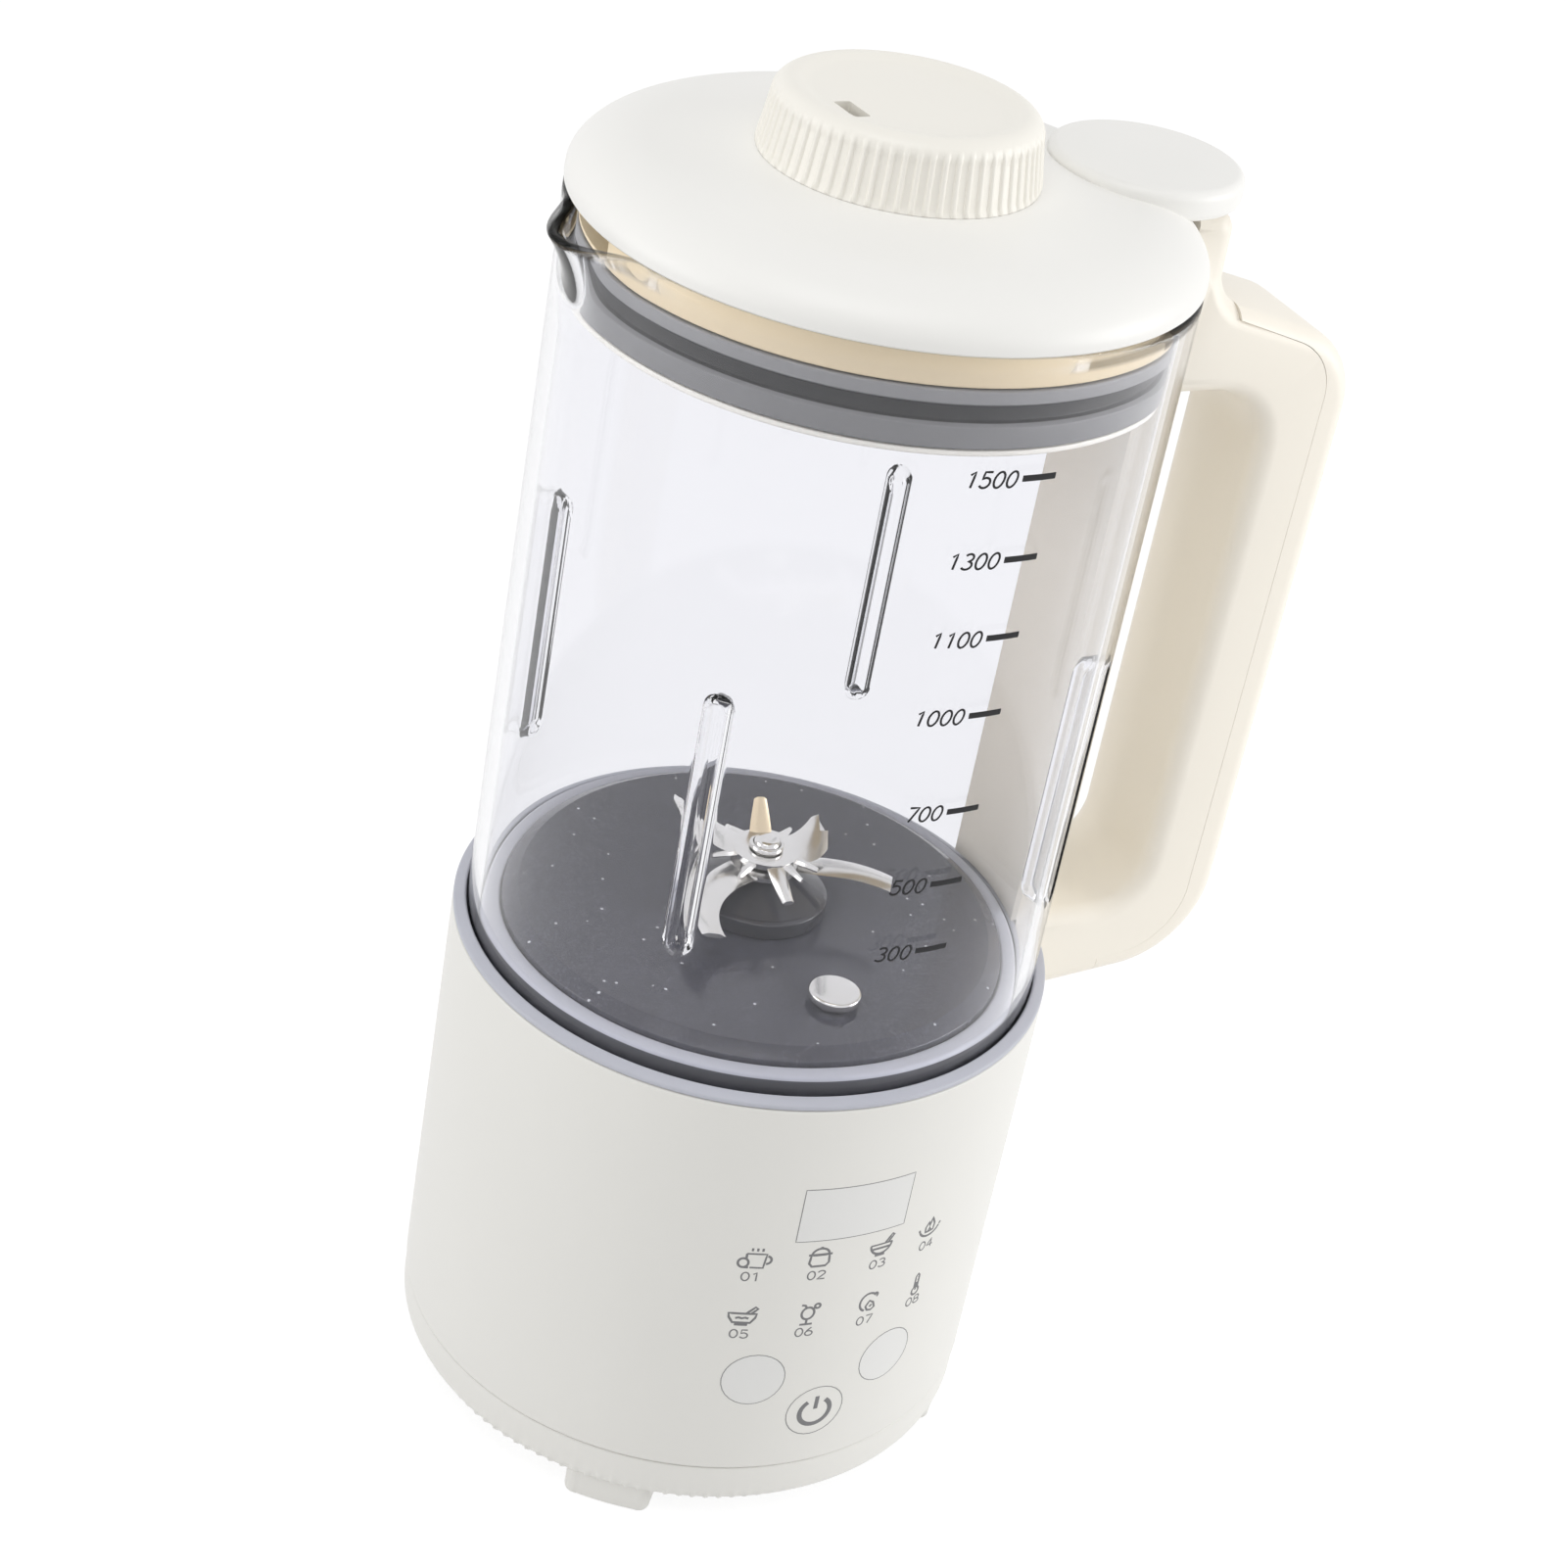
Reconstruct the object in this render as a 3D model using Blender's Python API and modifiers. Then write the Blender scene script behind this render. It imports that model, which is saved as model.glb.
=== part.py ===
"""Countertop soy milk maker, modelled as separate pieces. Metres, +Z up, front panel towards -Y,
handle towards +X, pouring lip towards -X. Heights count from the surface under the feet, and
radii count from the machine's own axis, on which the jar, the blades and the motor stand."""

import math

import bmesh
import bpy
from mathutils import Matrix, Vector

# Fits and counts
FIT = 0.0003
OVERRUN = 0.003
WELD = 0.00001
FACET_SHARE = 0.3
STEPS = 36
JAR_STEPS = 60
SMALL_STEPS = 16
TINY_STEPS = 12
FULL_TURN = 2 * math.pi
QUARTER = math.pi / 2
SHARP = math.radians(35)

# Feet and bottom cover
FOOT_HEIGHT = 0.0065
FOOT_INSET = 0.0017
FOOT_DEPTH = 0.0135
FOOT_LENGTH = 0.0200
FOOT_ROUNDING = 0.0025
FOOT_COUNT = 4
FOOT_EDGE_POINTS = 4
FOOT_TURN = math.radians(-38)
COVER_HEIGHT = 0.0111
COVER_INSET = 0.0003
COVER_WALL = 0.0025
COVER_EDGE_RADIUS = 0.0040
COVER_LIP_HEIGHT = 0.0030
COVER_LIP_WALL = 0.0016
VENT_COUNT = 8
VENT_RADIUS = 0.0280
VENT_LENGTH = 0.0200
VENT_WIDTH = 0.0030

# Housing
HOUSING_RADIUS = 0.0672
HOUSING_WALL = 0.0025
HOUSING_HEIGHT = 0.1016
HOUSING_RIM_WALL = 0.0013
SEAT_DEPTH = 0.0082
LEDGE_THICKNESS = 0.0025
LEDGE_WIDTH = 0.0125

# Cover screws and their posts in the housing
POST_RADIUS = 0.0040
POST_INSET = 0.0087
POST_TOP = 0.0450
POST_RIB = 0.0030
POST_TURN = math.radians(-22)
COVER_SCREW_RADIUS = 0.0015
COVER_SCREW_LENGTH = 0.0140
COVER_SCREW_HEAD_RADIUS = 0.0030
COVER_SCREW_HEAD_HEIGHT = 0.0016

# Silicone seat ring and glass jar
RING_RISE = 0.0024
RING_SETBACK = 0.0001
RING_SIDE = 0.0019
RING_BASE_THICKNESS = 0.0024
RING_LAP = 0.0040
RING_INNER_LEG_RISE = 0.0022
GLASS_WALL = 0.0030
GLASS_HEIGHT = 0.1673
LIP_REACH = 0.0080
LIP_DROP = 0.0015
LIP_HEIGHT = 0.0240
LIP_HALF_ANGLE = math.radians(17)
LIP_RING_SHARES = (0.75, 0.5, 0.2)
FLUTE_BOTTOM = 0.0270
FLUTE_TOP = 0.0890
FLUTE_DEPTH = 0.0045
FLUTE_WIDTH = 0.0064
FLUTE_WALL = 0.0020
FLUTE_CORNER = 0.0055
FLUTE_TURNS = (46, 136, 226, 316)

# Heating plate and what hangs under it
PLATE_GAP = 0.0045
PLATE_RISE = 0.0050
PLATE_CHAMFER_WIDTH = 0.0033
PLATE_CHAMFER_HEIGHT = 0.0018
PLATE_THICKNESS = 0.0025
PLATE_SKIRT_WALL = 0.0025
STUD_RADIUS = 0.0025
STUD_INSET = 0.0195
STUD_TURNS = (60, 180, 300)
STUD_NUT_RADIUS = 0.0045
STUD_NUT_HEIGHT = 0.0030
ELEMENT_RADIUS = 0.0035
ELEMENT_INSET = 0.0084
ELEMENT_GAP_ANGLE = math.radians(16)
ELEMENT_POINTS = 24
ELEMENT_TAIL = 0.0240
ELEMENT_BEND_SHARE = 1.5
TAIL_RUN_SHARE = 0.6
TAIL_DROP_SHARE = 0.4
CUTOUT_RADIUS = 0.0080
CUTOUT_HEIGHT = 0.0060
CUTOUT_INSET = 0.0310

# Temperature probe
PROBE_INSET = 0.0173
PROBE_HEAD_RADIUS = 0.0057
PROBE_HEAD_HEIGHT = 0.0019
PROBE_HEX_RADIUS = 0.0045
PROBE_HEX_HEIGHT = 0.0013
PROBE_THREAD_RADIUS = 0.0030
PROBE_THREAD_LENGTH = 0.0100
PROBE_NUT_HEIGHT = 0.0030

# Blade pedestal, its seal and bearings
PEDESTAL_FLANGE_RADIUS = 0.0155
PEDESTAL_FLANGE_HEIGHT = 0.0024
PEDESTAL_STEP = 0.0008
PEDESTAL_HEIGHT = 0.0094
PEDESTAL_TOP_RADIUS = 0.0056
CONE_SHARES = (0.3, 0.6, 0.8, 1.0)
PEDESTAL_TUBE_RADIUS = 0.0088
PEDESTAL_TUBE_LENGTH = 0.0140
PEDESTAL_GASKET_HEIGHT = 0.0008
PEDESTAL_NUT_RADIUS = 0.0125
PEDESTAL_NUT_HEIGHT = 0.0040
SHAFT_RADIUS = 0.0030
SHAFT_CLEARANCE = 0.0003
BEARING_RADIUS = 0.0066
BEARING_HEIGHT = 0.0050
SEAL_HEIGHT = 0.0025
PEDESTAL_SHELF = 0.0020

# Blades
BLADE_SHEET = 0.0012
BLADE_HUB_RADIUS = 0.0075
BLADE_TOOTH_REACH = 0.0125
BLADE_TOOTH_WIDTH = 0.0034
BLADE_TOOTH_COUNT = 8
SPACER_HEIGHT = 0.0016
SPACER_RADIUS = 0.0050
BLADE_NUT_RADIUS = 0.0042
BLADE_NUT_HEIGHT = 0.0020
BLADE_ROWS = 5
LONG_WING_TURN = math.radians(73)
LONG_WING_SWEEP = math.radians(-15)
LONG_WING_REACH = 0.0288
LONG_WING_ROOT = 0.0054
LONG_WING_TIP = 0.0038
LONG_WING_LIFT = 0.0015
BROAD_WING_TURN = math.radians(-71)
BROAD_WING_SWEEP = math.radians(26)
BROAD_WING_REACH = 0.0300
BROAD_WING_ROOT = 0.0090
BROAD_WING_TIP = 0.0054
BROAD_WING_LIFT = -0.0030
HIGH_WING_TURN = math.radians(-128)
HIGH_WING_SWEEP = math.radians(8)
HIGH_WING_REACH = 0.0220
HIGH_WING_ROOT = 0.0095
HIGH_WING_TIP = 0.0075
HIGH_WING_LIFT = 0.0120
LOBED_WING_TURN = math.radians(80)
LOBED_WING_SWEEP = math.radians(20)
LOBED_WING_REACH = 0.0152
LOBED_WING_ROOT = 0.0092
LOBED_WING_TIP = 0.0088
LOBED_WING_LIFT = 0.0050
WING_START_SHARE = 0.6
WING_SHEET_SHARE = 0.9
LIFT_START_SHARE = 0.25
LIFT_POWER = 1.5
TOOTH_TIP_SHARE = 1 / 3
TOOTH_TURN_SHARE = 0.35

# Motor
BRACKET_THICKNESS = 0.0030
BRACKET_LAP = 0.0035
BRACKET_DROP = 0.0004
MOTOR_STUD_GAP = 0.0010
END_FRAME_THICKNESS = 0.0030
END_FRAME_HUB_RADIUS = 0.0100
WINDING_HEIGHT = 0.0070
WINDING_DOME_SHARE = 0.7
WINDING_THICKNESS = 0.0065
STATOR_RIM = 0.0055
WINDING_LEG_WIDTH = 0.0090
WINDING_LEG_DEPTH = 0.0045
POLE_THICKNESS = 0.0015
ROTOR_AIR_GAP = 0.0006
ARMATURE_WINDING_INSET = 0.0035
COMMUTATOR_RADIUS = 0.0085
COMMUTATOR_HEIGHT = 0.0090
BRUSH_WIDTH = 0.0060
BRUSH_HEIGHT = 0.0060
BRUSH_LENGTH = 0.0120
BRUSH_SLEEVE_WALL = 0.0010
BRUSH_SLEEVE_SHARE = 0.8
MOTOR_BOLT_RADIUS = 0.0016
MOTOR_BOLT_INSET = 0.0030
MOTOR_BOLT_TURN = math.radians(67.5)
FAN_INSET = 0.0040
FAN_CLEARANCE = 0.0143
FAN_HUB_RADIUS = 0.0070
FAN_HEIGHT = 0.0070
FAN_PLATE = 0.0014
FAN_BLADE_COUNT = 8
FAN_BLADE_THICKNESS = 0.0012
FAN_BLADE_SHARE = 0.9

# Power board, touch board, display and inlet
BOARD_THICKNESS = 0.0016
POWER_BOARD_LENGTH = 0.0760
POWER_BOARD_WIDTH = 0.0500
POWER_BOARD_POST = 0.0030
POWER_BOARD_POST_RADIUS = 0.0030
POWER_BOARD_EDGE = 0.0040
TRANSFORMER_SIZE = (0.0160, 0.0180, 0.0120)
RELAY_SIZE = (0.0160, 0.0110, 0.0120)
CAPACITOR_RADIUS = 0.0050
CAPACITOR_HEIGHT = 0.0120
CAPACITOR_PITCH = 0.0130
TOUCH_BOARD_WIDTH = 0.0480
TOUCH_BOARD_MARGIN = 0.0083
TOUCH_BOARD_LAP = 0.0046
TOUCH_BOARD_SETBACK = 0.0067
TOUCH_RAIL = 0.0028
TOUCH_RAIL_DEPTH = 0.0050
TOUCH_SPRING_RADIUS = 0.0025
WINDOW_WIDTH = 0.0270
WINDOW_HEIGHT = 0.0150
WINDOW_DROP = 0.0288
KEY_ROW_STEPS = (0.0130, 0.0293)
KEY_TURNS = (-18.7, -6.1, 6.7, 18.7)
ROUND_KEY_TURNS = (-14.1, 0.0, 14.2)
ROUND_KEY_STEPS = (0.0459, 0.0571, 0.0462)
INLET_WIDTH = 0.0270
INLET_HEIGHT = 0.0195
INLET_CENTRE_Z = 0.0500
INLET_WALL = 0.0022
INLET_CAVITY_DEPTH = 0.0150
INLET_FACE_SETBACK = 0.0022
INLET_FLANGE = 0.0045
INLET_FLANGE_THICKNESS = 0.0020
INLET_PIN_SIZE = (0.0020, 0.0090, 0.0040)
INLET_PIN_SPREAD = 0.0070
INLET_PIN_STEP = 0.0020

# Lid
LID_OVERHANG = 0.0001
LID_EDGE_WALL_HEIGHT = 0.0014
LID_ROUND_WIDTH = 0.0170
LID_ROUND_HEIGHT = 0.0088
LID_RISE = 0.0118
LID_WALL = 0.0025
LID_ROUND_POINTS = 5
CAP_SEAT_RADIUS = 0.0292
CAP_BORE_RADIUS = 0.0200
CAP_COLLAR_WALL = 0.0022
CAP_COLLAR_DEPTH = 0.0200
SKIRT_GAP = 0.0008
SKIRT_WALL = 0.0020
SKIRT_WEB_THICKNESS = 0.0018
SKIRT_WEB_DROP = 0.0010
SKIRT_GROOVE_DEPTH = 0.0024
WINDOW_SILL = 0.0010
WINDOW_ARC = math.radians(56)
WINDOW_TURNS = (-116, 64)
GASKET_LIP_GAP = 0.0004
GASKET_BACK_WALL = 0.0010
GASKET_TOP_LIP = 0.0036
GASKET_GAP = 0.0028
GASKET_LOW_LIP = 0.0055
RETAINER_THICKNESS = 0.0012
RETAINER_HOOK_HEIGHT = 0.0040
RETAINER_HOOK_WALL = 0.0016
PAD_RADIUS = 0.0205
PAD_INSET = 0.0066
PAD_THICKNESS = 0.0063
PAD_RISE = 0.0010
PAD_ROUNDING = 0.0022

# Ribbed vent cap
CAP_BASE_RADIUS = 0.0290
CAP_TOP_RADIUS = 0.0268
CAP_HEIGHT = 0.0136
CAP_ROUNDING = 0.0026
CAP_DISH = 0.0010
DISH_SHARE = 0.6
CAP_WALL = 0.0024
CAP_PLUG_RADIUS = 0.0195
CAP_PLUG_WALL = 0.0020
CAP_PLUG_DEPTH = 0.0170
CAP_SEAL_GROOVE = 0.0014
CAP_SEAL_HEIGHT = 0.0030
CAP_SEAL_PLACE = 0.0040
NOTCH_PLACE_RADIUS = 0.0166
NOTCH_TURN = math.radians(-70)
NOTCH_SKEW = math.radians(-15)
NOTCH_LENGTH = 0.0080
NOTCH_WIDTH = 0.0038

# Handle
HANDLE_HALF_WIDTH = 0.0160
HANDLE_EDGE_ROUNDING = 0.0045
HANDLE_ROOT_OVERLAP = 0.0020
SPINE_THICKNESS = 0.0023
SPINE_HALF_ANGLE = math.radians(14)
SPINE_TOP_DROP = 0.0010
NECK_DEPTH = 0.0115
NECK_GAP = 0.0017
NECK_CORNER = 0.0050
SHOULDER_INNER_DROP = 0.0190
SHOULDER_OUTER_DROP = 0.0300
SHOULDER_INNER_FILLET = 0.0070
SHOULDER_FILLET = 0.0190
GRIP_THICKNESS = 0.0210
FINGER_GAP = 0.0285
HEEL_OUTER_DROP = 0.0127
HEEL_INNER_DROP = 0.0187
HEEL_FILLET = 0.0240
GAP_TOP_DROP = 0.0395
GAP_BOTTOM_RISE = 0.0012
GAP_TOP_FILLET = 0.0140
GAP_BOTTOM_FILLET = 0.0120
SEAM_START_STEP = 0.0040
SEAM_DEPTH = 0.0078
SEAM_START_DROP = 0.0034
SEAM_SHOULDER_DROP = 0.0009
SEAM_HEEL_RISE = 0.0050
SEAM_END_RISE = 0.0080
SEAM_HEEL_STEP = 0.0095
SEAM_TOP_FILLET = 0.0140
SEAM_HEEL_FILLET = 0.0170
GRIP_CAVITY_WALL = 0.0028
GRIP_CAVITY_END = 0.00585
HANDLE_SCREW_RADIUS = 0.0015
HANDLE_SCREW_LENGTH = 0.0120
HANDLE_SCREW_HEAD_RADIUS = 0.0030
HANDLE_SCREW_HEAD_HEIGHT = 0.0020
HANDLE_SCREW_SPREAD = 0.0070

# Interlock in the handle's neck
PLUNGER_RADIUS = 0.0026
PLUNGER_LENGTH = 0.0120
SPRING_LENGTH = 0.0100
SPRING_WIRE = 0.0003
SPRING_TURNS = 5
SPRING_POINTS_PER_TURN = 8
SWITCH_SIZE = (0.0060, 0.0120, 0.0090)

# Heights and radii that follow from the sizes above
FLOOR_TOP = FOOT_HEIGHT + COVER_WALL
SEAM_Z = FOOT_HEIGHT + COVER_HEIGHT
HOUSING_TOP = SEAM_Z + HOUSING_HEIGHT
HOUSING_BORE = HOUSING_RADIUS - HOUSING_WALL
SEAT_Z = HOUSING_TOP - SEAT_DEPTH
RING_TOP = HOUSING_TOP + RING_RISE
FOOT_OUTER_RADIUS = HOUSING_RADIUS - FOOT_INSET
FOOT_INNER_RADIUS = FOOT_OUTER_RADIUS - FOOT_DEPTH
LEDGE_RADIUS = HOUSING_BORE - LEDGE_WIDTH
POST_PLACE_RADIUS = HOUSING_BORE - POST_INSET
RING_OUTER_RADIUS = HOUSING_RADIUS - RING_SETBACK
GLASS_RADIUS = HOUSING_RADIUS - HOUSING_RIM_WALL - RING_SIDE
GLASS_INNER = GLASS_RADIUS - GLASS_WALL
PLATE_RADIUS = GLASS_INNER - PLATE_GAP
RING_INNER_RADIUS = PLATE_RADIUS - RING_LAP
STUD_PLACE_RADIUS = PLATE_RADIUS - STUD_INSET
PROBE_PLACE_RADIUS = PLATE_RADIUS - PROBE_INSET
ELEMENT_PLACE_RADIUS = PLATE_RADIUS - ELEMENT_INSET
CUTOUT_PLACE_RADIUS = PLATE_RADIUS - CUTOUT_INSET
BRACKET_RADIUS = LEDGE_RADIUS + BRACKET_LAP
MOTOR_RADIUS = STUD_PLACE_RADIUS - STUD_NUT_RADIUS - MOTOR_STUD_GAP
MOTOR_BOLT_PLACE_RADIUS = MOTOR_RADIUS - MOTOR_BOLT_INSET
WINDING_OUTER_RADIUS = MOTOR_RADIUS - STATOR_RIM
WINDING_INNER_RADIUS = WINDING_OUTER_RADIUS - WINDING_THICKNESS
ROTOR_RADIUS = WINDING_INNER_RADIUS - POLE_THICKNESS
ARMATURE_WINDING_RADIUS = ROTOR_RADIUS - ARMATURE_WINDING_INSET
FAN_RADIUS = MOTOR_RADIUS - FAN_INSET
TOUCH_BOARD_PLACE = HOUSING_BORE - TOUCH_BOARD_SETBACK
WINDOW_CENTRE_Z = HOUSING_TOP - WINDOW_DROP
TOUCH_BOARD_BOTTOM = WINDOW_CENTRE_Z - max(ROUND_KEY_STEPS) - TOUCH_BOARD_MARGIN
TOUCH_BOARD_HEIGHT = WINDOW_CENTRE_Z + TOUCH_BOARD_LAP - TOUCH_BOARD_BOTTOM
RING_BASE_TOP = SEAT_Z + FIT + RING_BASE_THICKNESS
GLASS_BOTTOM = RING_BASE_TOP + FIT
GLASS_TOP = RING_TOP + GLASS_HEIGHT
PLATE_TOP = RING_TOP + PLATE_RISE
PLATE_UNDER = PLATE_TOP - PLATE_THICKNESS
BRACKET_TOP = SEAT_Z - LEDGE_THICKNESS - BRACKET_DROP
BRACKET_UNDER = BRACKET_TOP - BRACKET_THICKNESS
PEDESTAL_UNDER = PLATE_TOP + FIT + PEDESTAL_GASKET_HEIGHT + FIT
PEDESTAL_TOP = PLATE_TOP + PEDESTAL_HEIGHT
TUBE_BOTTOM = PLATE_TOP - PEDESTAL_TUBE_LENGTH
BORE_RADIUS = SHAFT_RADIUS + SHAFT_CLEARANCE
BEARING_SEAT_RADIUS = BEARING_RADIUS + FIT
BLADE_LOW_Z = PEDESTAL_TOP + FIT
SPACER_Z = BLADE_LOW_Z + BLADE_SHEET + FIT
BLADE_HIGH_Z = SPACER_Z + SPACER_HEIGHT + FIT
BLADE_NUT_Z = BLADE_HIGH_Z + BLADE_SHEET + FIT
SHAFT_TOP = BLADE_NUT_Z + BLADE_NUT_HEIGHT + SHAFT_CLEARANCE
UPPER_FRAME_TOP = BRACKET_UNDER - FIT
UPPER_FRAME_UNDER = UPPER_FRAME_TOP - END_FRAME_THICKNESS
STATOR_TOP = UPPER_FRAME_UNDER - WINDING_HEIGHT
POWER_BOARD_Z = FLOOR_TOP + POWER_BOARD_POST + FIT
FAN_BOTTOM = POWER_BOARD_Z + BOARD_THICKNESS + CAPACITOR_HEIGHT + FAN_CLEARANCE
FAN_TOP = FAN_BOTTOM + FAN_HEIGHT
SHAFT_BOTTOM = FAN_BOTTOM
LOWER_FRAME_UNDER = FAN_TOP + BEARING_HEIGHT
LOWER_FRAME_TOP = LOWER_FRAME_UNDER + END_FRAME_THICKNESS
COMMUTATOR_BOTTOM = LOWER_FRAME_TOP + FIT
COMMUTATOR_TOP = COMMUTATOR_BOTTOM + COMMUTATOR_HEIGHT
STATOR_BOTTOM = COMMUTATOR_TOP + FIT + WINDING_HEIGHT
STATOR_HEIGHT = STATOR_TOP - STATOR_BOTTOM
LID_RADIUS = GLASS_RADIUS + LID_OVERHANG
SKIRT_RADIUS = GLASS_INNER - SKIRT_GAP
SKIRT_GROOVE_RADIUS = SKIRT_RADIUS - SKIRT_GROOVE_DEPTH
GASKET_LIP_RADIUS = GLASS_INNER - GASKET_LIP_GAP
PAD_PLACE_RADIUS = LID_RADIUS - PAD_INSET
LID_EDGE_Z = GLASS_TOP + FIT
LID_TOP = LID_EDGE_Z + LID_RISE
WEB_TOP = LID_EDGE_Z - SKIRT_WEB_DROP
WEB_UNDER = WEB_TOP - SKIRT_WEB_THICKNESS
SKIRT_STEP_Z = GLASS_TOP - 2 * GASKET_TOP_LIP
GASKET_HEIGHT = GASKET_TOP_LIP + GASKET_GAP + GASKET_LOW_LIP
SKIRT_BOTTOM = SKIRT_STEP_Z - FIT - GASKET_HEIGHT
CAP_BOTTOM = LID_TOP + FIT
CAP_TOP = CAP_BOTTOM + CAP_HEIGHT
PAD_TOP = LID_TOP + PAD_RISE
PAD_UNDER = PAD_TOP - PAD_THICKNESS
NECK_TOP = PAD_UNDER - NECK_GAP
HEEL_OUTER_Z = HOUSING_TOP - HEEL_OUTER_DROP
HEEL_INNER_Z = HOUSING_TOP - HEEL_INNER_DROP
GAP_TOP_Z = NECK_TOP - GAP_TOP_DROP
GAP_BOTTOM_Z = RING_TOP + GAP_BOTTOM_RISE
HANDLE_ROOT_RADIUS = GLASS_RADIUS - HANDLE_ROOT_OVERLAP
NECK_RADIUS = GLASS_RADIUS + NECK_DEPTH
GRIP_INNER_RADIUS = GLASS_RADIUS + FINGER_GAP
GRIP_OUTER_RADIUS = GRIP_INNER_RADIUS + GRIP_THICKNESS
SEAM_START_RADIUS = NECK_RADIUS + SEAM_START_STEP
SEAM_HEEL_RADIUS = NECK_RADIUS + SEAM_HEEL_STEP
GRIP_CAVITY_LENGTH = GAP_TOP_Z - GAP_BOTTOM_Z - 2 * GRIP_CAVITY_END
SPINE_INNER = GLASS_RADIUS + FIT
SPINE_OUTER = SPINE_INNER + SPINE_THICKNESS
HANDLE_ROOT = SPINE_OUTER + FIT
PLUNGER_TOP = PAD_UNDER - FIT
PLUNGER_BOTTOM = PLUNGER_TOP - PLUNGER_LENGTH
SPRING_TOP = PLUNGER_BOTTOM - FIT
SPRING_BOTTOM = SPRING_TOP - SPRING_LENGTH
SWITCH_TOP = SPRING_BOTTOM - FIT
HANDLE_SCREW_Z = SEAT_Z - LEDGE_THICKNESS - HANDLE_SCREW_HEAD_RADIUS - 2 * FIT
PLUNGER_PLACE = (HANDLE_ROOT + NECK_RADIUS) / 2
LIP_RADIUS = GLASS_RADIUS + LIP_REACH
AXIS_X = (LIP_RADIUS - GRIP_OUTER_RADIUS) / 2

PARTS = bpy.data.collections.new("soy_milk_maker")
CUTTERS = bpy.data.collections.new("cutters")
MATERIALS = {}
MATERIAL_LOOKS = {
    "shell_cream": ((0.80, 0.77, 0.71), 0.45, 0.0),
    "lid_white": ((0.88, 0.87, 0.84), 0.45, 0.0),
    "skirt_tan": ((0.74, 0.63, 0.48), 0.50, 0.0),
    "silicone_grey": ((0.38, 0.40, 0.45), 0.60, 0.0),
    "clear_glass": ((0.90, 0.92, 0.95), 0.05, 0.0),
    "plate_coating": ((0.10, 0.10, 0.12), 0.40, 0.2),
    "dark_plastic": ((0.06, 0.06, 0.07), 0.40, 0.0),
    "blade_steel": ((0.75, 0.75, 0.76), 0.20, 1.0),
    "plain_steel": ((0.55, 0.55, 0.56), 0.35, 1.0),
    "copper": ((0.72, 0.38, 0.20), 0.35, 1.0),
    "board_green": ((0.08, 0.25, 0.14), 0.55, 0.0),
    "black_rubber": ((0.03, 0.03, 0.03), 0.70, 0.0),
    "brass_contact": ((0.75, 0.60, 0.30), 0.30, 1.0),
}


def clear_scene():
    for old in list(bpy.data.objects):
        bpy.data.objects.remove(old, do_unlink=True)
    for collection in (PARTS, CUTTERS):
        bpy.context.scene.collection.children.link(collection)


def make_materials():
    for name, (color, roughness, metallic) in MATERIAL_LOOKS.items():
        material = bpy.data.materials.new(name)
        material.use_nodes = True
        shader = material.node_tree.nodes["Principled BSDF"]
        shader.inputs["Base Color"].default_value = (*color, 1.0)
        shader.inputs["Roughness"].default_value = roughness
        shader.inputs["Metallic"].default_value = metallic
        MATERIALS[name] = material


def make_empty(name, parent=None, place=(0, 0, 0)):
    empty = bpy.data.objects.new(name, None)
    empty.location = place
    empty.parent = parent
    PARTS.objects.link(empty)
    return empty


def add_piece(name, data, material, parent, place=(0, 0, 0), turn=0.0, tilt=0.0):
    """One object of the machine, or a hidden cutter where the material is None."""
    piece = bpy.data.objects.new(name, data)
    piece.location = place
    piece.rotation_euler = (0, tilt, turn)
    piece.parent = parent
    if material is None:
        piece.hide_render = True
        piece.display_type = "WIRE"
        CUTTERS.objects.link(piece)
    else:
        data.materials.append(MATERIALS[material])
        PARTS.objects.link(piece)
    return piece


def signed_area(points):
    return sum(a[0] * b[1] - b[0] * a[1] for a, b in zip(points, points[1:] + points[:1])) / 2


def turned(name, profile, material, parent, place=(0, 0, 0), steps=STEPS, tilt=0.0):
    """Turns a profile of (radius, height) points. A profile that starts on the axis ends there too."""
    solid = profile[0][0] == 0
    if signed_area(profile) > 0:
        profile = profile[::-1]
    if solid:
        on_axis = [index for index, point in enumerate(profile) if point[0] == 0]
        first = max(on_axis, key=lambda index: profile[index][1])
        profile = profile[first:] + profile[:first]
    mesh = bpy.data.meshes.new(name)
    shape = bmesh.new()
    corners = [shape.verts.new((radius, 0, height)) for radius, height in profile]
    for start, end in zip(corners, corners[1:]):
        shape.edges.new((start, end))
    if not solid:
        shape.edges.new((corners[-1], corners[0]))
    shape.to_mesh(mesh)
    shape.free()
    piece = add_piece(name, mesh, material, parent, place, tilt=tilt)
    screw = piece.modifiers.new("turn", "SCREW")
    screw.angle = FULL_TURN
    screw.steps = steps
    screw.render_steps = steps
    screw.use_merge_vertices = True
    screw.merge_threshold = WELD
    return piece


def block(name, size, place, material, parent, turn=0.0):
    mesh = bpy.data.meshes.new(name)
    shape = bmesh.new()
    bmesh.ops.create_cube(shape, size=1)
    bmesh.ops.scale(shape, vec=size, verts=shape.verts)
    shape.to_mesh(mesh)
    shape.free()
    return add_piece(name, mesh, material, parent, place, turn)


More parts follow.
